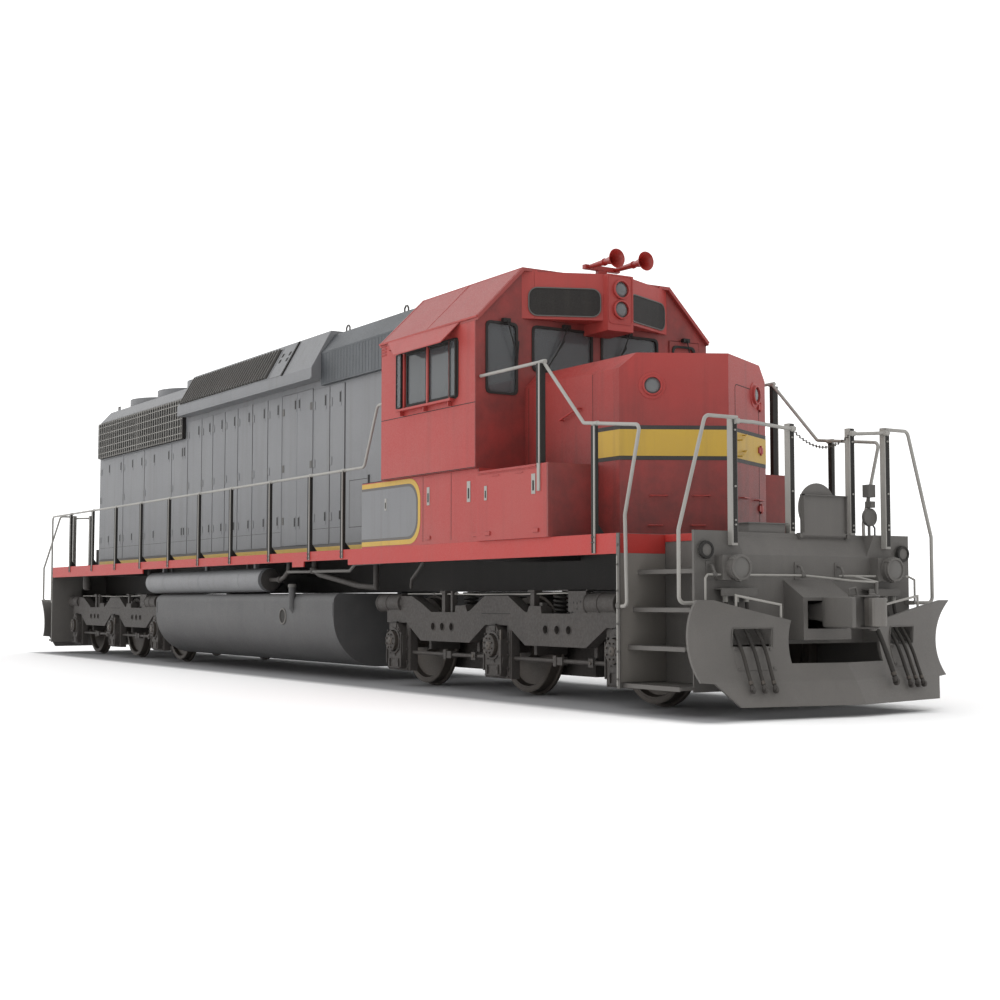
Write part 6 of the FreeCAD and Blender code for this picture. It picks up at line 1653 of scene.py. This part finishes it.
# ----------------------------------------------------------------------- trucks
@dataclass
class Truck:
    """Caps, ribs, liners, pipes, hangers and springs of one three-axle truck."""

    shop: PaintShop
    repeats: Repeats
    name: str
    middle: float
    pitch: float = 2.2
    axle: float = 0.536
    box_face: float = 1.25
    cap_face: float = 1.306
    # radius of the circle of bolts on a cap
    bolt_circle: float = 0.080

    def caps(self) -> None:
        """Rings, bosses and bolts that turn with each wheelset."""
        for number, word in ((-1, "rear"), (0, "middle"), (1, "front")):
            body = "%s_wheelset_%s" % (self.name.split("_")[0], word)
            x = self.middle + number * self.pitch
            form = Form("caps_" + body, self.shop, body)
            places, ways = [], []
            for side in SIDES:
                base = (x, side * (self.cap_face - 0.002), self.axle)
                way = (0, side, 0)
                form.turned(base, way, [(0, 0.112), (0.004, 0.108), (0.006, 0.100)], Finish.CAST, 32)
                form.turned(base, way, [(0, 0.048), (0.012, 0.046), (0.018, 0.038), (0.019, 0.018)],
                            Finish.STEEL, 24)
                form.turned(base, way, [(0, 0.016), (0.020, 0.012), (0.0205, 0.002)], Finish.BLACK, 12)
                for step in range(8):
                    angle = math.radians(22.5 + 45 * step)
                    places.append((x + self.bolt_circle * math.cos(angle), side * (self.cap_face + 0.009),
                                   self.axle + self.bolt_circle * math.sin(angle)))
                    ways.append((0.0, float(side), 0.0))
                rim = [(0.675, 0.44), (0.678, 0.455), (0.678, 0.500), (0.675, 0.512)]
                form.turned((x, 0, self.axle), way,
                            [(0.812, 0.452), (0.818, 0.458), (0.818, 0.492), (0.812, 0.498)],
                            Finish.STEEL, 64, endless=True)
                form.turned((x, 0, self.axle), way, [(across + 0.001, radius) for across, radius in rim],
                            Finish.STEEL, 64, endless=True)
            form.done()
            self.repeats.bolts("cap_bolts_" + body, places, ways, (0.022, 0.014, 6), Finish.STEEL, body)

    def boxes(self) -> None:
        """Ribs, rings, liners and dampers of the journal boxes."""
        form = Form("journal_box_details_" + self.name, self.shop, self.name)
        places, ways = [], []
        face = self.box_face
        for side in SIDES:
            lay = form.layer(side, face, sunk=0.003)
            for number in (-1, 0, 1):
                x = self.middle + number * self.pitch
                form.turned((x, side * (face - 0.002), self.axle), (0, side, 0),
                            [(0, 0.128), (0, 0.152), (0.016, 0.150), (0.020, 0.142), (0.020, 0.128)],
                            Finish.CAST, 32, endless=True)
                form.turned((x, side * (face - 0.002), self.axle), (0, side, 0),
                            [(0, 0.117), (0, 0.128), (0.004, 0.128), (0.004, 0.117)], Finish.BLACK, 32,
                            endless=True)
                for step in range(8):
                    angle = math.radians(45 * step + 10)
                    near, far = 0.150, 0.176
                    form.pipe([(x + near * math.cos(angle), side * (face + 0.004),
                                self.axle + near * math.sin(angle)),
                               (x + far * math.cos(angle), side * (face + 0.002),
                                self.axle + far * math.sin(angle))], 0.011, Finish.CAST, 6)
                for off in (-0.172, 0.172):
                    lay((x + off - 0.008, x + off + 0.008), (0.27, 0.62), 0.014, Finish.CAST)
                    lay((x + off - 0.020, x + off - 0.012), (0.30, 0.60), 0.002, Finish.BLACK)
                    lay((x + off * 0.62 - 0.012, x + off * 0.62 + 0.012), (0.236, 0.330), 0.016, Finish.CAST)
                lay(about(x, 0.148), (0.222, 0.234), 0.012, Finish.CAST)
                lay(about(x, 0.118), (0.330, 0.338), 0.006, Finish.CAST)
                lay(about(x, 0.055), (0.690, 0.742), 0.010, Finish.CAST)
                lay(about(x, 0.040), (0.744, 0.762), -0.030, Finish.BLACK)
                for off in (-0.215, 0.215):
                    lay((x + off - 0.022, x + off + 0.022), (0.240, 0.690), 0.006, Finish.CAST, 1.18)
                    lay((x + off * 0.96 - 0.006, x + off * 0.96 + 0.006), (0.26, 0.68), 0.008, Finish.BLACK,
                        1.182)
                    for height in (0.212, 0.30, 0.44, 0.58):
                        places.append((x + off, side * 1.192, height))
                        ways.append((0.0, float(side), 0.0))
                for off, height in ((-0.10, 0.30), (0.10, 0.30), (-0.135, 0.655), (0.135, 0.655)):
                    places.append((x + off, side * (face + 0.005), height))
                    ways.append((0.0, float(side), 0.0))
            x = self.middle
            lay((x + 0.150, x + 0.196), (0.42, 0.60), 0.026, Finish.CAST)
            lay((x + 0.158, x + 0.188), (0.60, 0.705), 0.018, Finish.STEEL)
            lay((x - 0.30, x + 0.28), (0.868, 0.876), 0.002, Finish.BLACK, 1.21)
            for gap in (-1, 1):
                between = x + gap * self.pitch / 2
                lay((between - 0.085, between - 0.030), (0.350, 0.460), 0.008, Finish.CAST, 1.165)
                lay((between + 0.52, between + 0.60), (0.362, 0.448), 0.004, Finish.CAST, 1.165)
                form.turned((between + 0.56, side * 1.160, 0.405), (0, side, 0), [(0, 0.016), (0.02, 0.016)],
                            Finish.STEEL, 12)
                for hole in (-0.205, 0.0, 0.205):
                    form.turned((between + gap * 0.045 + hole, side * 1.205, 0.718), (0, side, 0),
                                [(0, 0.042), (0, 0.052), (0.008, 0.051), (0.010, 0.048), (0.010, 0.042)],
                                Finish.CAST, 20, endless=True)
        form.done()
        self.repeats.bolts("box_bolts_" + self.name, places, ways, (0.026, 0.016, 6), Finish.CAST, self.name)

    def topside(self) -> None:
        """Air pipe, brackets, hangers, cylinder rings and springs along the frame's top."""
        form = Form("frame_top_details_" + self.name, self.shop, self.name)
        springs = []
        for side in SIDES:
            def post(x: float, wide: float, z: Pair, out: Pair, finish: Finish = Finish.CAST) -> None:
                """Stand a bar on the frame's top."""
                form.block((self.middle + x - wide / 2, self.middle + x + wide / 2), span_of(side, *out), z,
                           finish)
            for x, wide, high in ((-1.16, 0.07, 1.115), (-0.98, 0.04, 1.115), (-0.72, 0.09, 0.960),
                                  (0.66, 0.07, 1.115), (0.82, 0.05, 0.99), (1.36, 0.05, 0.985)):
                post(x, wide, (0.86, high), (1.12, 1.185))
            post(-1.16, 0.12, (1.095, 1.117), (1.10, 1.20))
            post(0.66, 0.12, (1.095, 1.117), (1.10, 1.20))
            post(1.50, 0.30, (0.90, 1.117), (1.196, 1.214))
            post(1.42, 0.50, (1.105, 1.118), (1.10, 1.214))
            for dx, height in ((1.44, 0.99), (1.50, 0.985), (1.56, 1.0), (1.50, 0.93)):
                form.turned((self.middle + dx, side * 1.2135, height), (0, side, 0),
                            [(0, 0.011), (0.002, 0.011)], Finish.BLACK, 12)
            y = side * 1.150
            line = [(-2.05, 1.086), (-1.30, 1.086), (-0.45, 1.076), (0.45, 1.076), (1.30, 1.086),
                    (1.66, 1.086)]
            form.pipe([(self.middle + x, y, z) for x, z in line], 0.008, Finish.RAIL, 8)
            for x in (-1.45, -0.95):
                form.turned((self.middle + x, y, 1.086), AHEAD,
                            [(0, 0.012), (0.004, 0.017), (0.04, 0.017), (0.044, 0.012)], Finish.DARK, 12)
            y = side * 1.145
            for start, long, rod_end in ((-2.68, 0.56, 1), (1.63, 0.52, -1)):
                for along in (0.002, long * 0.42, long - 0.032):
                    form.turned((self.middle + start + along, y, 0.98), AHEAD,
                                [(0, 0.105), (0.004, 0.112), (0.026, 0.112), (0.030, 0.105)], Finish.CAST, 28)
                tip = self.middle + start + (long if rod_end > 0 else 0.0)
                form.turned((tip - rod_end * 0.001, y, 0.98), (rod_end, 0, 0),
                            [(0, 0.085), (0.05, 0.060), (0.11, 0.034), (0.13, 0.026), (0.21, 0.022)],
                            Finish.CAST, 20)
            for x in (-0.86, 0.92, -1.32, 1.16):
                springs.append((self.middle + x, side * 1.0, 0.865))
                form.turned((self.middle + x, side * 1.0, 0.84), UP, [(0, 0.10), (0.024, 0.10)],
                            Finish.CAST, 20)
                form.turned((self.middle + x, side * 1.0, 1.082), UP, [(0, 0.10), (0.020, 0.09)],
                            Finish.CAST, 20)
        form.done()
        self.repeats.make("springs_" + self.name, Repeat.COIL, springs,
                          {"Turns": 5.0, "Radius": 0.072, "High": 0.22, "Wire": 0.014}, Finish.BLACK,
                          body=self.name)

    def rigging(self) -> None:
        """Dark blocks on the frame's middle, close under the centre sill: painted shade where the underside lies in
        shadow.
        """
        form = Form("brake_rigging_" + self.name, self.shop, self.name)
        for way in (-1, 1):
            for near, far, half, height in ((0.55, 2.05, 0.34, (1.05, 1.113)),
                                            (0.95, 1.25, 0.30, (0.80, 1.06))):
                form.block(sorted((self.middle + way * near, self.middle + way * far)), (-half, half),
                           height, Finish.SHADE)
        form.done()

    def build(self) -> None:
        """Build one truck's details."""
        self.caps()
        self.boxes()
        self.topside()
        self.rigging()


# -------------------------------------------------------------------- underside
@dataclass
class Underside:
    """Pipes, seams, straps, filler and gauge between the trucks and under the sills."""

    shop: PaintShop
    deck_under: float = 1.612
    tank: Pair = (-3.65, 2.79)
    tank_side: float = 1.45
    # the fuel filler's place along X, and the gauge's along X and up
    filler: float = 1.565
    gauge: Pair = (1.266, 0.80)
    reservoir: Pair = (-4.13, 0.56)
    reservoir_axis: Pair = (1.32, 1.29)

    def pipes(self) -> None:
        """Air pipes below the sills and round the tank's ends."""
        form = Form("underside_pipes", self.shop)
        y, z = self.reservoir_axis
        for side in SIDES:
            form.pipe([(self.reservoir[1] - 0.02, side * y, z), (0.90, side * y, z),
                       (1.16, side * 1.38, 1.325), (1.33, side * 1.40, 1.40), (1.33, side * 1.40, 1.53)],
                      0.030, Finish.CAST, 12)
            form.turned((0.84, side * y, z), AHEAD,
                        [(0, 0.036), (0.01, 0.046), (0.06, 0.046), (0.07, 0.036)], Finish.CAST, 12)
            form.pipe([(1.33, side * 1.41, 1.385), (3.16, side * 1.41, 1.372), (3.34, side * 1.43, 1.45),
                       (4.06, side * 1.43, 1.455)], 0.020, Finish.DARK, 10)
            form.pipe([(2.08, side * 1.38, self.deck_under), (2.08, side * 1.38, 1.40),
                       (2.24, side * 1.38, 1.34), (3.10, side * 1.26, 1.19), (3.45, side * 1.20, 1.17),
                       (3.45, side * 1.20, self.deck_under)], 0.036, Finish.CAST, 12)
            form.turned((2.08, side * 1.38, 1.35), UP,
                        [(0, 0.044), (0.02, 0.060), (0.07, 0.060), (0.09, 0.044)], Finish.CAST, 16)
            form.pipe([(self.reservoir[0] + 0.02, side * y, z), (-4.30, side * y, z), (-4.36, side * y, 1.35),
                       (-4.36, side * y, self.deck_under)], 0.030, Finish.CAST, 12)
            for start, stop in ((-8.80, -4.50), (4.30, 8.60)):
                form.pipe([(start, side * 1.40, 1.475), (stop, side * 1.40, 1.475)], 0.016, Finish.CAST, 8)
                for step in range(5):
                    x = start + 0.15 + step * 0.99
                    form.block((x, x + 0.04), span_of(side, 1.385, 1.415), (1.455, self.deck_under),
                               Finish.CAST)
            form.pipe([(5.05, side * 1.44, self.deck_under - 0.01), (5.05, side * 1.44, 1.44),
                       (4.90, side * 1.42, 1.35), (4.62, side * 1.35, 1.25), (4.48, side * 1.28, 1.16)],
                      0.020, Finish.CAST, 10)
            form.turned((-7.62, side * 1.36, 1.19), UP,
                        [(0, 0.030), (0.02, 0.062), (0.06, 0.070), (0.28, 0.070), (0.30, 0.05)],
                        Finish.CAST, 24)
            form.block((-7.66, -7.58), span_of(side, 1.33, 1.39), (1.46, self.deck_under), Finish.CAST)
        form.done()

    def seams(self) -> None:
        """Rings and straps of the reservoirs, filler and gauge of the tank."""
        form = Form("tank_and_reservoir_seams", self.shop)
        y, z = self.reservoir_axis
        for side in SIDES:
            form.turned((self.reservoir[1] - 0.004, side * y, z), AHEAD,
                        [(0, 0.150), (0.006, 0.146), (0.009, 0.10)], Finish.SHADE, 40)
            for x in (-3.30, -1.78, -0.25):
                form.turned((x, side * y, z), AHEAD,
                            [(0, 0.162), (0.001, 0.167), (0.029, 0.167), (0.030, 0.162)], Finish.GREY, 40)
                form.block((x, x + 0.04), span_of(side, y - 0.02, y + 0.02), (z + 0.15, self.deck_under),
                           Finish.TANK)
            form.pipe([(self.filler, side * 1.41, 0.86), (self.filler, side * 1.455, 0.92),
                       (self.filler, side * 1.455, 1.19)],
                      0.046, Finish.TANK, 20)
            form.turned((self.filler, side * 1.455, 1.18), UP, [(0, 0.056), (0.035, 0.056), (0.045, 0.044)],
                        Finish.DARK, 20)
            form.block((1.53, 1.60), span_of(side, 1.40, 1.456), (1.00, 1.05), Finish.TANK)
            form.turned((self.gauge[0], side * (self.tank_side - 0.004), self.gauge[1]), (0, side, 0),
                        [(0, 0.088), (0, 0.112), (0.012, 0.110), (0.016, 0.100), (0.016, 0.088)],
                        Finish.DARK, 32, endless=True)
            form.turned((self.gauge[0], side * (self.tank_side - 0.004), self.gauge[1]), (0, side, 0),
                        [(0, 0.089), (0.006, 0.086)], Finish.BLACK, 32)
            for x in (self.tank[0] + 0.02, self.tank[1] - 0.05):
                form.block((x, x + 0.03), span_of(side, self.tank_side - 0.004, self.tank_side + 0.004),
                           (0.81, 0.985), Finish.TANK)
            for x in (-1.50, 0.65):
                form.block((x, x + 0.006), span_of(side, self.tank_side - 0.003, self.tank_side + 0.001),
                           (0.81, 0.985), Finish.DARK)
        form.done()

    def build(self) -> None:
        """Build everything on the underside."""
        self.pipes()
        self.seams()


# --------------------------------------------------------------------- couplers
@dataclass
class Couplers:
    """Cast coupler heads on their shanks, and their knuckles, at both ends."""

    shop: PaintShop
    middle: float = 0.91
    pivot: float = 9.10
    pin: Pair = (10.315, 0.150)
    # plans of the right-hand cast forms, seen from above
    head_plan: tuple[Pair, ...] = (
        (9.97, -0.08), (10.02, -0.17), (10.12, -0.225), (10.28, -0.245), (10.45, -0.235), (10.45, -0.19),
        (10.34, -0.165), (10.26, -0.10), (10.235, 0.0), (10.235, 0.08), (10.235, 0.20), (10.19, 0.225),
        (10.08, 0.19), (9.97, 0.08))
    knuckle_plan: tuple[Pair, ...] = (
        (10.262, 0.10), (10.262, 0.20), (10.315, 0.205), (10.47, 0.165), (10.49, 0.12), (10.49, 0.0),
        (10.475, -0.02), (10.43, -0.015), (10.42, 0.05), (10.36, 0.10))
    ear_plan: tuple[Pair, ...] = (
        (10.12, 0.06), (10.315, 0.085), (10.365, 0.11), (10.38, 0.15), (10.365, 0.19), (10.315, 0.212),
        (10.12, 0.19))

    def cast(self, form: Form, end: int, plan: Sequence[Pair], z: Pair, bevel: float, finish: Finish) -> None:
        """Add one cast slab whose top and bottom edges are rounded.

        Args:
            form: the piece it belongs to.
            end: 1 at the front, -1 at the rear.
            plan: its outline from above.
            z: its bottom and top.
            bevel: how far the rounding reaches.
            finish: its finish.
        """
        x0, y0 = (sum(point[axis] for point in plan) / len(plan) for axis in (0, 1))
        rings = []
        for share, level in ((0.90, z[0]), (0.97, z[0] + 0.3 * bevel), (1.0, z[0] + bevel),
                             (1.0, z[1] - bevel), (0.97, z[1] - 0.3 * bevel), (0.90, z[1])):
            rings.append([(end * (x0 + (x - x0) * share), end * (y0 + (y - y0) * share), level)
                          for x, y in plan])
        form.loft(rings, finish)

    def build(self) -> None:
        """Build both couplers."""
        mid = self.middle
        for end, name in ENDS:
            head = Form("cast_coupler_" + name, self.shop, "coupler_%s_body" % name, "cast")
            head.turned((end * self.pivot, 0, mid - 0.075), UP,
                        [(0, 0.046), (0, 0.115), (0.02, 0.125), (0.13, 0.125), (0.15, 0.115), (0.15, 0.046)],
                        Finish.DARK, 36, endless=True)
            rings = []
            for x, half, tall in ((self.pivot + 0.10, 0.075, 0.070), (9.80, 0.070, 0.075),
                                  (9.94, 0.080, 0.090), (10.02, 0.120, 0.115)):
                rings.append([(end * x, y, z)
                              for y, z in rounded((-half, half), (mid - tall, mid + tall), 0.02)])
            head.loft(rings, Finish.DARK)
            self.cast(head, end, self.head_plan, about(mid, 0.135), 0.03, Finish.DARK)
            for low, high in ((mid - 0.148, mid - 0.131), (mid + 0.131, mid + 0.148)):
                self.cast(head, end, self.ear_plan, (low, high), 0.004, Finish.DARK)
            x, y = end * self.pin[0], end * self.pin[1]
            for way in (-1, 1):
                head.turned((x, y, mid + way * 0.147), (0, 0, way),
                            [(0, 0.034), (0.010, 0.034), (0.018, 0.022)], Finish.DARK, 24)
            lift = end * 10.16
            head.pipe([(lift, end * 0.02, mid + 0.12), (lift, end * 0.02, mid + 0.20),
                       (lift, end * 0.10, mid + 0.215), (lift, end * 0.12, mid + 0.16),
                       (lift, end * 0.12, mid + 0.12)], 0.010, Finish.DARK, 8)
            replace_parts(head.done(), "coupler_" + name)
            jaw = Form("cast_knuckle_" + name, self.shop, "knuckle_%s_body" % name, "cast")
            # the knuckle's light finish is worn steel with a painted highlight
            self.cast(jaw, end, self.knuckle_plan, about(mid, 0.126), 0.018, Finish.WORN_AND_HIGHLIGHT)
            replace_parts(jaw.done(), "knuckle_" + name)


# ----------------------------------------------------------------- cab interior
@dataclass
class CabInterior:
    """Three padded crew seats and the control stand behind the windows."""

    shop: PaintShop
    floor: float = 2.44
    seats: tuple[Pair, ...] = ((5.450, -1.05), (4.950, 1.05), (5.750, 1.05))
    pulled: float = 0.045
    steps: int = 24

    def cushion(self, name: str, middle: Point, half: Point, upright: bool) -> None:
        """Make a crowned cushion with pulled-in sides, sewn channels and piping.

        Args:
            name: the cushion's name.
            middle: its middle.
            half: half its size along X, Y and Z.
            upright: whether its crown faces forward rather than up.
        """
        form = Form(name, self.shop, slot="seat_vinyl")
        thick, long = (half[0], half[2]) if upright else (half[2], half[0])

        def point(u: float, v: float, level: float) -> Point:
            """Place a point of the cushion's own plane and thickness."""
            along = long * u * (1 - self.pulled * (1 - v * v))
            across = half[1] * v * (1 - self.pulled * (1 - u * u))
            if upright:
                return (middle[0] + thick * level, middle[1] + across, middle[2] + along)
            return (middle[0] + along, middle[1] + across, middle[2] + thick * level)
        rings = []
        for row in range(self.steps + 1):
            v = -1 + 2 * row / self.steps
            front, back = [], []
            for column in range(self.steps + 1):
                u = -1 + 2 * column / self.steps
                fall = math.sqrt(max((1 - u ** 4) * (1 - v ** 4), 0.0))
                channel = 0.07 * sum(math.exp(-((u - seam) / 0.05) ** 2) for seam in (-0.4, 0.4))
                front.append(point(u, v, 0.12 + 0.86 * fall * (1 - channel)))
                back.append(point(u, v, -0.12 - 0.80 * min(3 * fall, 1.0)))
            rings.append(front + back[::-1])
        form.loft(rings, Finish.VINYL)
        edge = [(-1.0, step / 6 - 1) for step in range(12)] + [(step / 6 - 1, 1.0) for step in range(12)]
        edge += [(1.0, 1 - step / 6) for step in range(12)] + [(1 - step / 6, -1.0) for step in range(13)]
        form.pipe([point(u, v, 0.0) for u, v in edge], 0.0055, Finish.VINYL, 6)
        made = form.done()
        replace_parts(made, "cab_interior")

    def build(self) -> None:
        """Build the seats, their cushions and the stand."""
        base = self.floor + 0.42
        for number, (x, y) in enumerate(self.seats):
            self.cushion("seat_cushion_%d" % number, (x + 0.035, y, base + 0.055), (0.19, 0.225, 0.042),
                         False)
            self.cushion("back_cushion_%d" % number, (x - 0.165, y, base + 0.36), (0.032, 0.205, 0.23),
                         True)
        form = Form("seat_frames_and_stand", self.shop, slot="seat_vinyl")
        for x, y in self.seats:
            form.turned((x, y, self.floor - 0.002), UP,
                        [(0, 0.14), (0.015, 0.13), (0.03, 0.055), (0.38, 0.055), (0.425, 0.09)],
                        Finish.BLACK, 24)
            form.prism("z", rounded((x - 0.22, x + 0.235), about(y, 0.235), 0.05), base, base + 0.018,
                       Finish.BLACK)
            form.prism("x", rounded(about(y, 0.22), (base + 0.02, base + 0.60), 0.08),
                       x - 0.238, x - 0.205, Finish.BLACK)
            for side in SIDES:
                form.pipe([(x - 0.21, y + side * 0.23, base + 0.28),
                           (x + 0.10, y + side * 0.23, base + 0.28)], 0.016, Finish.BLACK, 12)
        low, top = self.floor + 0.95, self.floor + 1.13
        form.prism("y", [(5.77, self.floor - 0.002), (6.15, self.floor - 0.002), (6.16, low), (5.76, low)],
                   -0.99, -0.49, Finish.DARK)
        form.prism("y", [(5.66, low), (6.20, low), (6.20, top), (5.98, top), (5.66, low + 0.05)],
                   -1.04, -0.46, Finish.DARK)
        for step in range(3):
            form.turned((5.80, -0.60 - 0.15 * step, low + 0.07), (-0.5, 0, 1),
                        [(0, 0.02), (0.02, 0.016), (0.025, 0.008), (0.11, 0.008), (0.12, 0.02),
                         (0.15, 0.018)], Finish.BLACK, 12)
        for step in range(4):
            form.turned((5.915, -0.55 - 0.13 * step, top - 0.055), (-0.42, 0, 1),
                        [(0, 0.046), (0.012, 0.046), (0.014, 0.038)], Finish.BLACK, 20)
        made = form.done()
        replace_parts(made, "cab_interior")


# ----------------------------------------------------------------------- studio
@dataclass
class Studio:
    """Camera, pale floor with a painted shadow under the object, and soft light."""

    eye: Point = (20.033, -9.833, 1.021)
    heading: float = 57.881
    rise: float = 3.718
    # millimetres
    lens: float = 55.11
    sensor: float = 36.0
    sight: float = 2000.0
    floor_half: float = 400.0
    floor_glow: float = 0.08
    floor_roughness: float = 0.9
    # strength of the dome behind the object and ahead of it
    behind: float = 1.45
    ahead: float = 0.80
    # the lamp's place, what it looks at, its size and its power
    key_at: Point = (8.0, -24.0, 18.0)
    key_aim: Point = (2.0, 0.0, 2.0)
    key_size: float = 12.0
    key_power: float = 500.0
    # painted shadow on the floor right under the object: its colour, middle along X and half sizes
    painted_shadow: str = "9A9A9C"
    shadow_middle: Pair = (0.05, -0.35)
    shadow_half: Pair = (10.3, 1.45)
    # how far inside and outside its edge the painted shadow fades
    shadow_fade: Pair = (0.25, 0.05)

    def camera(self) -> None:
        """Set the camera at the viewing place."""
        data = bpy.data.cameras.new("camera")
        data.lens = self.lens
        data.sensor_width = self.sensor
        data.clip_end = self.sight
        camera = stand("camera", data)
        camera.location = self.eye
        camera.rotation_euler = (math.radians(90 + self.rise), 0.0, math.radians(self.heading))
        bpy.context.scene.camera = camera

    def floor(self) -> None:
        """Lay the pale floor at the wheels, with a painted shadow under the object: grey there, and without the
        glow of the rest.
        """
        mesh = bpy.data.meshes.new("floor")
        half = self.floor_half
        mesh.from_pydata([(-half, -half, 0), (half, -half, 0), (half, half, 0), (-half, half, 0)],
                         [], [(0, 1, 2, 3)])
        floor = stand("floor", mesh)
        material, shader = blank("pale_floor")
        tree = material.node_tree
        place = add(tree, "ShaderNodeSeparateXYZ", {},
                    {"Vector": add(tree, "ShaderNodeTexCoord").outputs["Object"]})
        inside = None
        for name, middle, half in zip("XY", self.shadow_middle, self.shadow_half):
            away = reckon(tree, "ABSOLUTE", reckon(tree, "SUBTRACT", place.outputs[name], middle))
            near = ramp(tree, away, (half - self.shadow_fade[0], half + self.shadow_fade[1]), (1.0, 0.0))
            inside = near if inside is None else reckon(tree, "MULTIPLY", inside, near)
        # painted shadow: inside the rectangle under the object the floor turns grey and stops glowing
        tree.links.new(mix(tree, inside, linear("FFFFFF"), linear(self.painted_shadow)), shader.inputs["Base Color"])
        tree.links.new(mix(tree, inside, linear("FFFFFF"), linear("000000")),
                       shader.inputs["Emission Color"])
        shader.inputs["Emission Strength"].default_value = self.floor_glow
        shader.inputs["Roughness"].default_value = self.floor_roughness
        mesh.materials.append(material)

    def light(self) -> None:
        """Light the studio with a white dome and one broad lamp."""
        world = bpy.data.worlds.new("studio")
        bpy.context.scene.world = world
        world.use_nodes = True
        tree = world.node_tree
        seen = add(tree, "ShaderNodeLightPath").outputs["Is Camera Ray"]
        way = add(tree, "ShaderNodeSeparateXYZ", {},
                  {"Vector": add(tree, "ShaderNodeTexCoord").outputs["Generated"]})
        ahead = ramp(tree, way.outputs["X"], (-1.0, 1.0), (self.behind, self.ahead))
        power = reckon(tree, "MAXIMUM", seen, ahead)
        tree.links.new(power, tree.nodes["Background"].inputs["Strength"])
        tree.nodes["Background"].inputs["Color"].default_value = (1.0, 1.0, 1.0, 1.0)
        data = bpy.data.lights.new("key", "AREA")
        data.size = self.key_size
        data.energy = self.key_power
        lamp = stand("key", data)
        lamp.location = self.key_at
        aim = Vector(self.key_aim) - Vector(self.key_at)
        lamp.rotation_euler = aim.to_track_quat("-Z", "Y").to_euler()

    def build(self) -> None:
        """Set up the whole studio."""
        self.camera()
        self.floor()
        self.light()
        bpy.context.scene.view_settings.view_transform = "Standard"


# ------------------------------------------------------------------------- main
def dress_frame(frame: dict, shop: PaintShop) -> None:
    """Give every CAD node its finish.

    Args:
        shop: the paint shop.
    """
    for name, thing in frame["nodes"].items():
        finish = next(value for start, value in NODE_FINISHES if name.startswith(start))
        shop.dress(thing, finish)
    sills = frame["nodes"]["underframe"].data
    sills.materials.append(shop.material(Finish.SHADE))
    # painted shade: the underframe's faces that look down take the dark steel, as do its inner faces
    for face in sills.polygons:
        if abs(face.center.y) < SILL_FACE or face.normal.z < LOOKS_DOWN:
            face.material_index = len(sills.materials) - 1


def main() -> None:
    """Load the frame and build every sub-assembly in order."""
    logging.basicConfig(level=logging.INFO, format="%(name)s: %(message)s")
    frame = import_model()
    shop = PaintShop()
    repeats = Repeats(shop)
    Studio().build()
    Hoses(shop).build()
    dress_frame(frame, shop)
    Cab(shop, repeats).build()
    Nose(shop).build()
    Hood(shop, repeats).build()
    FrontEnd(shop, repeats).build()
    Handrails(shop, repeats).build()
    for name, middle in TRUCKS:
        Truck(shop, repeats, name, middle).build()
    Underside(shop).build()
    Couplers(shop).build()
    CabInterior(shop).build()


if __name__ == "__main__":
    main()
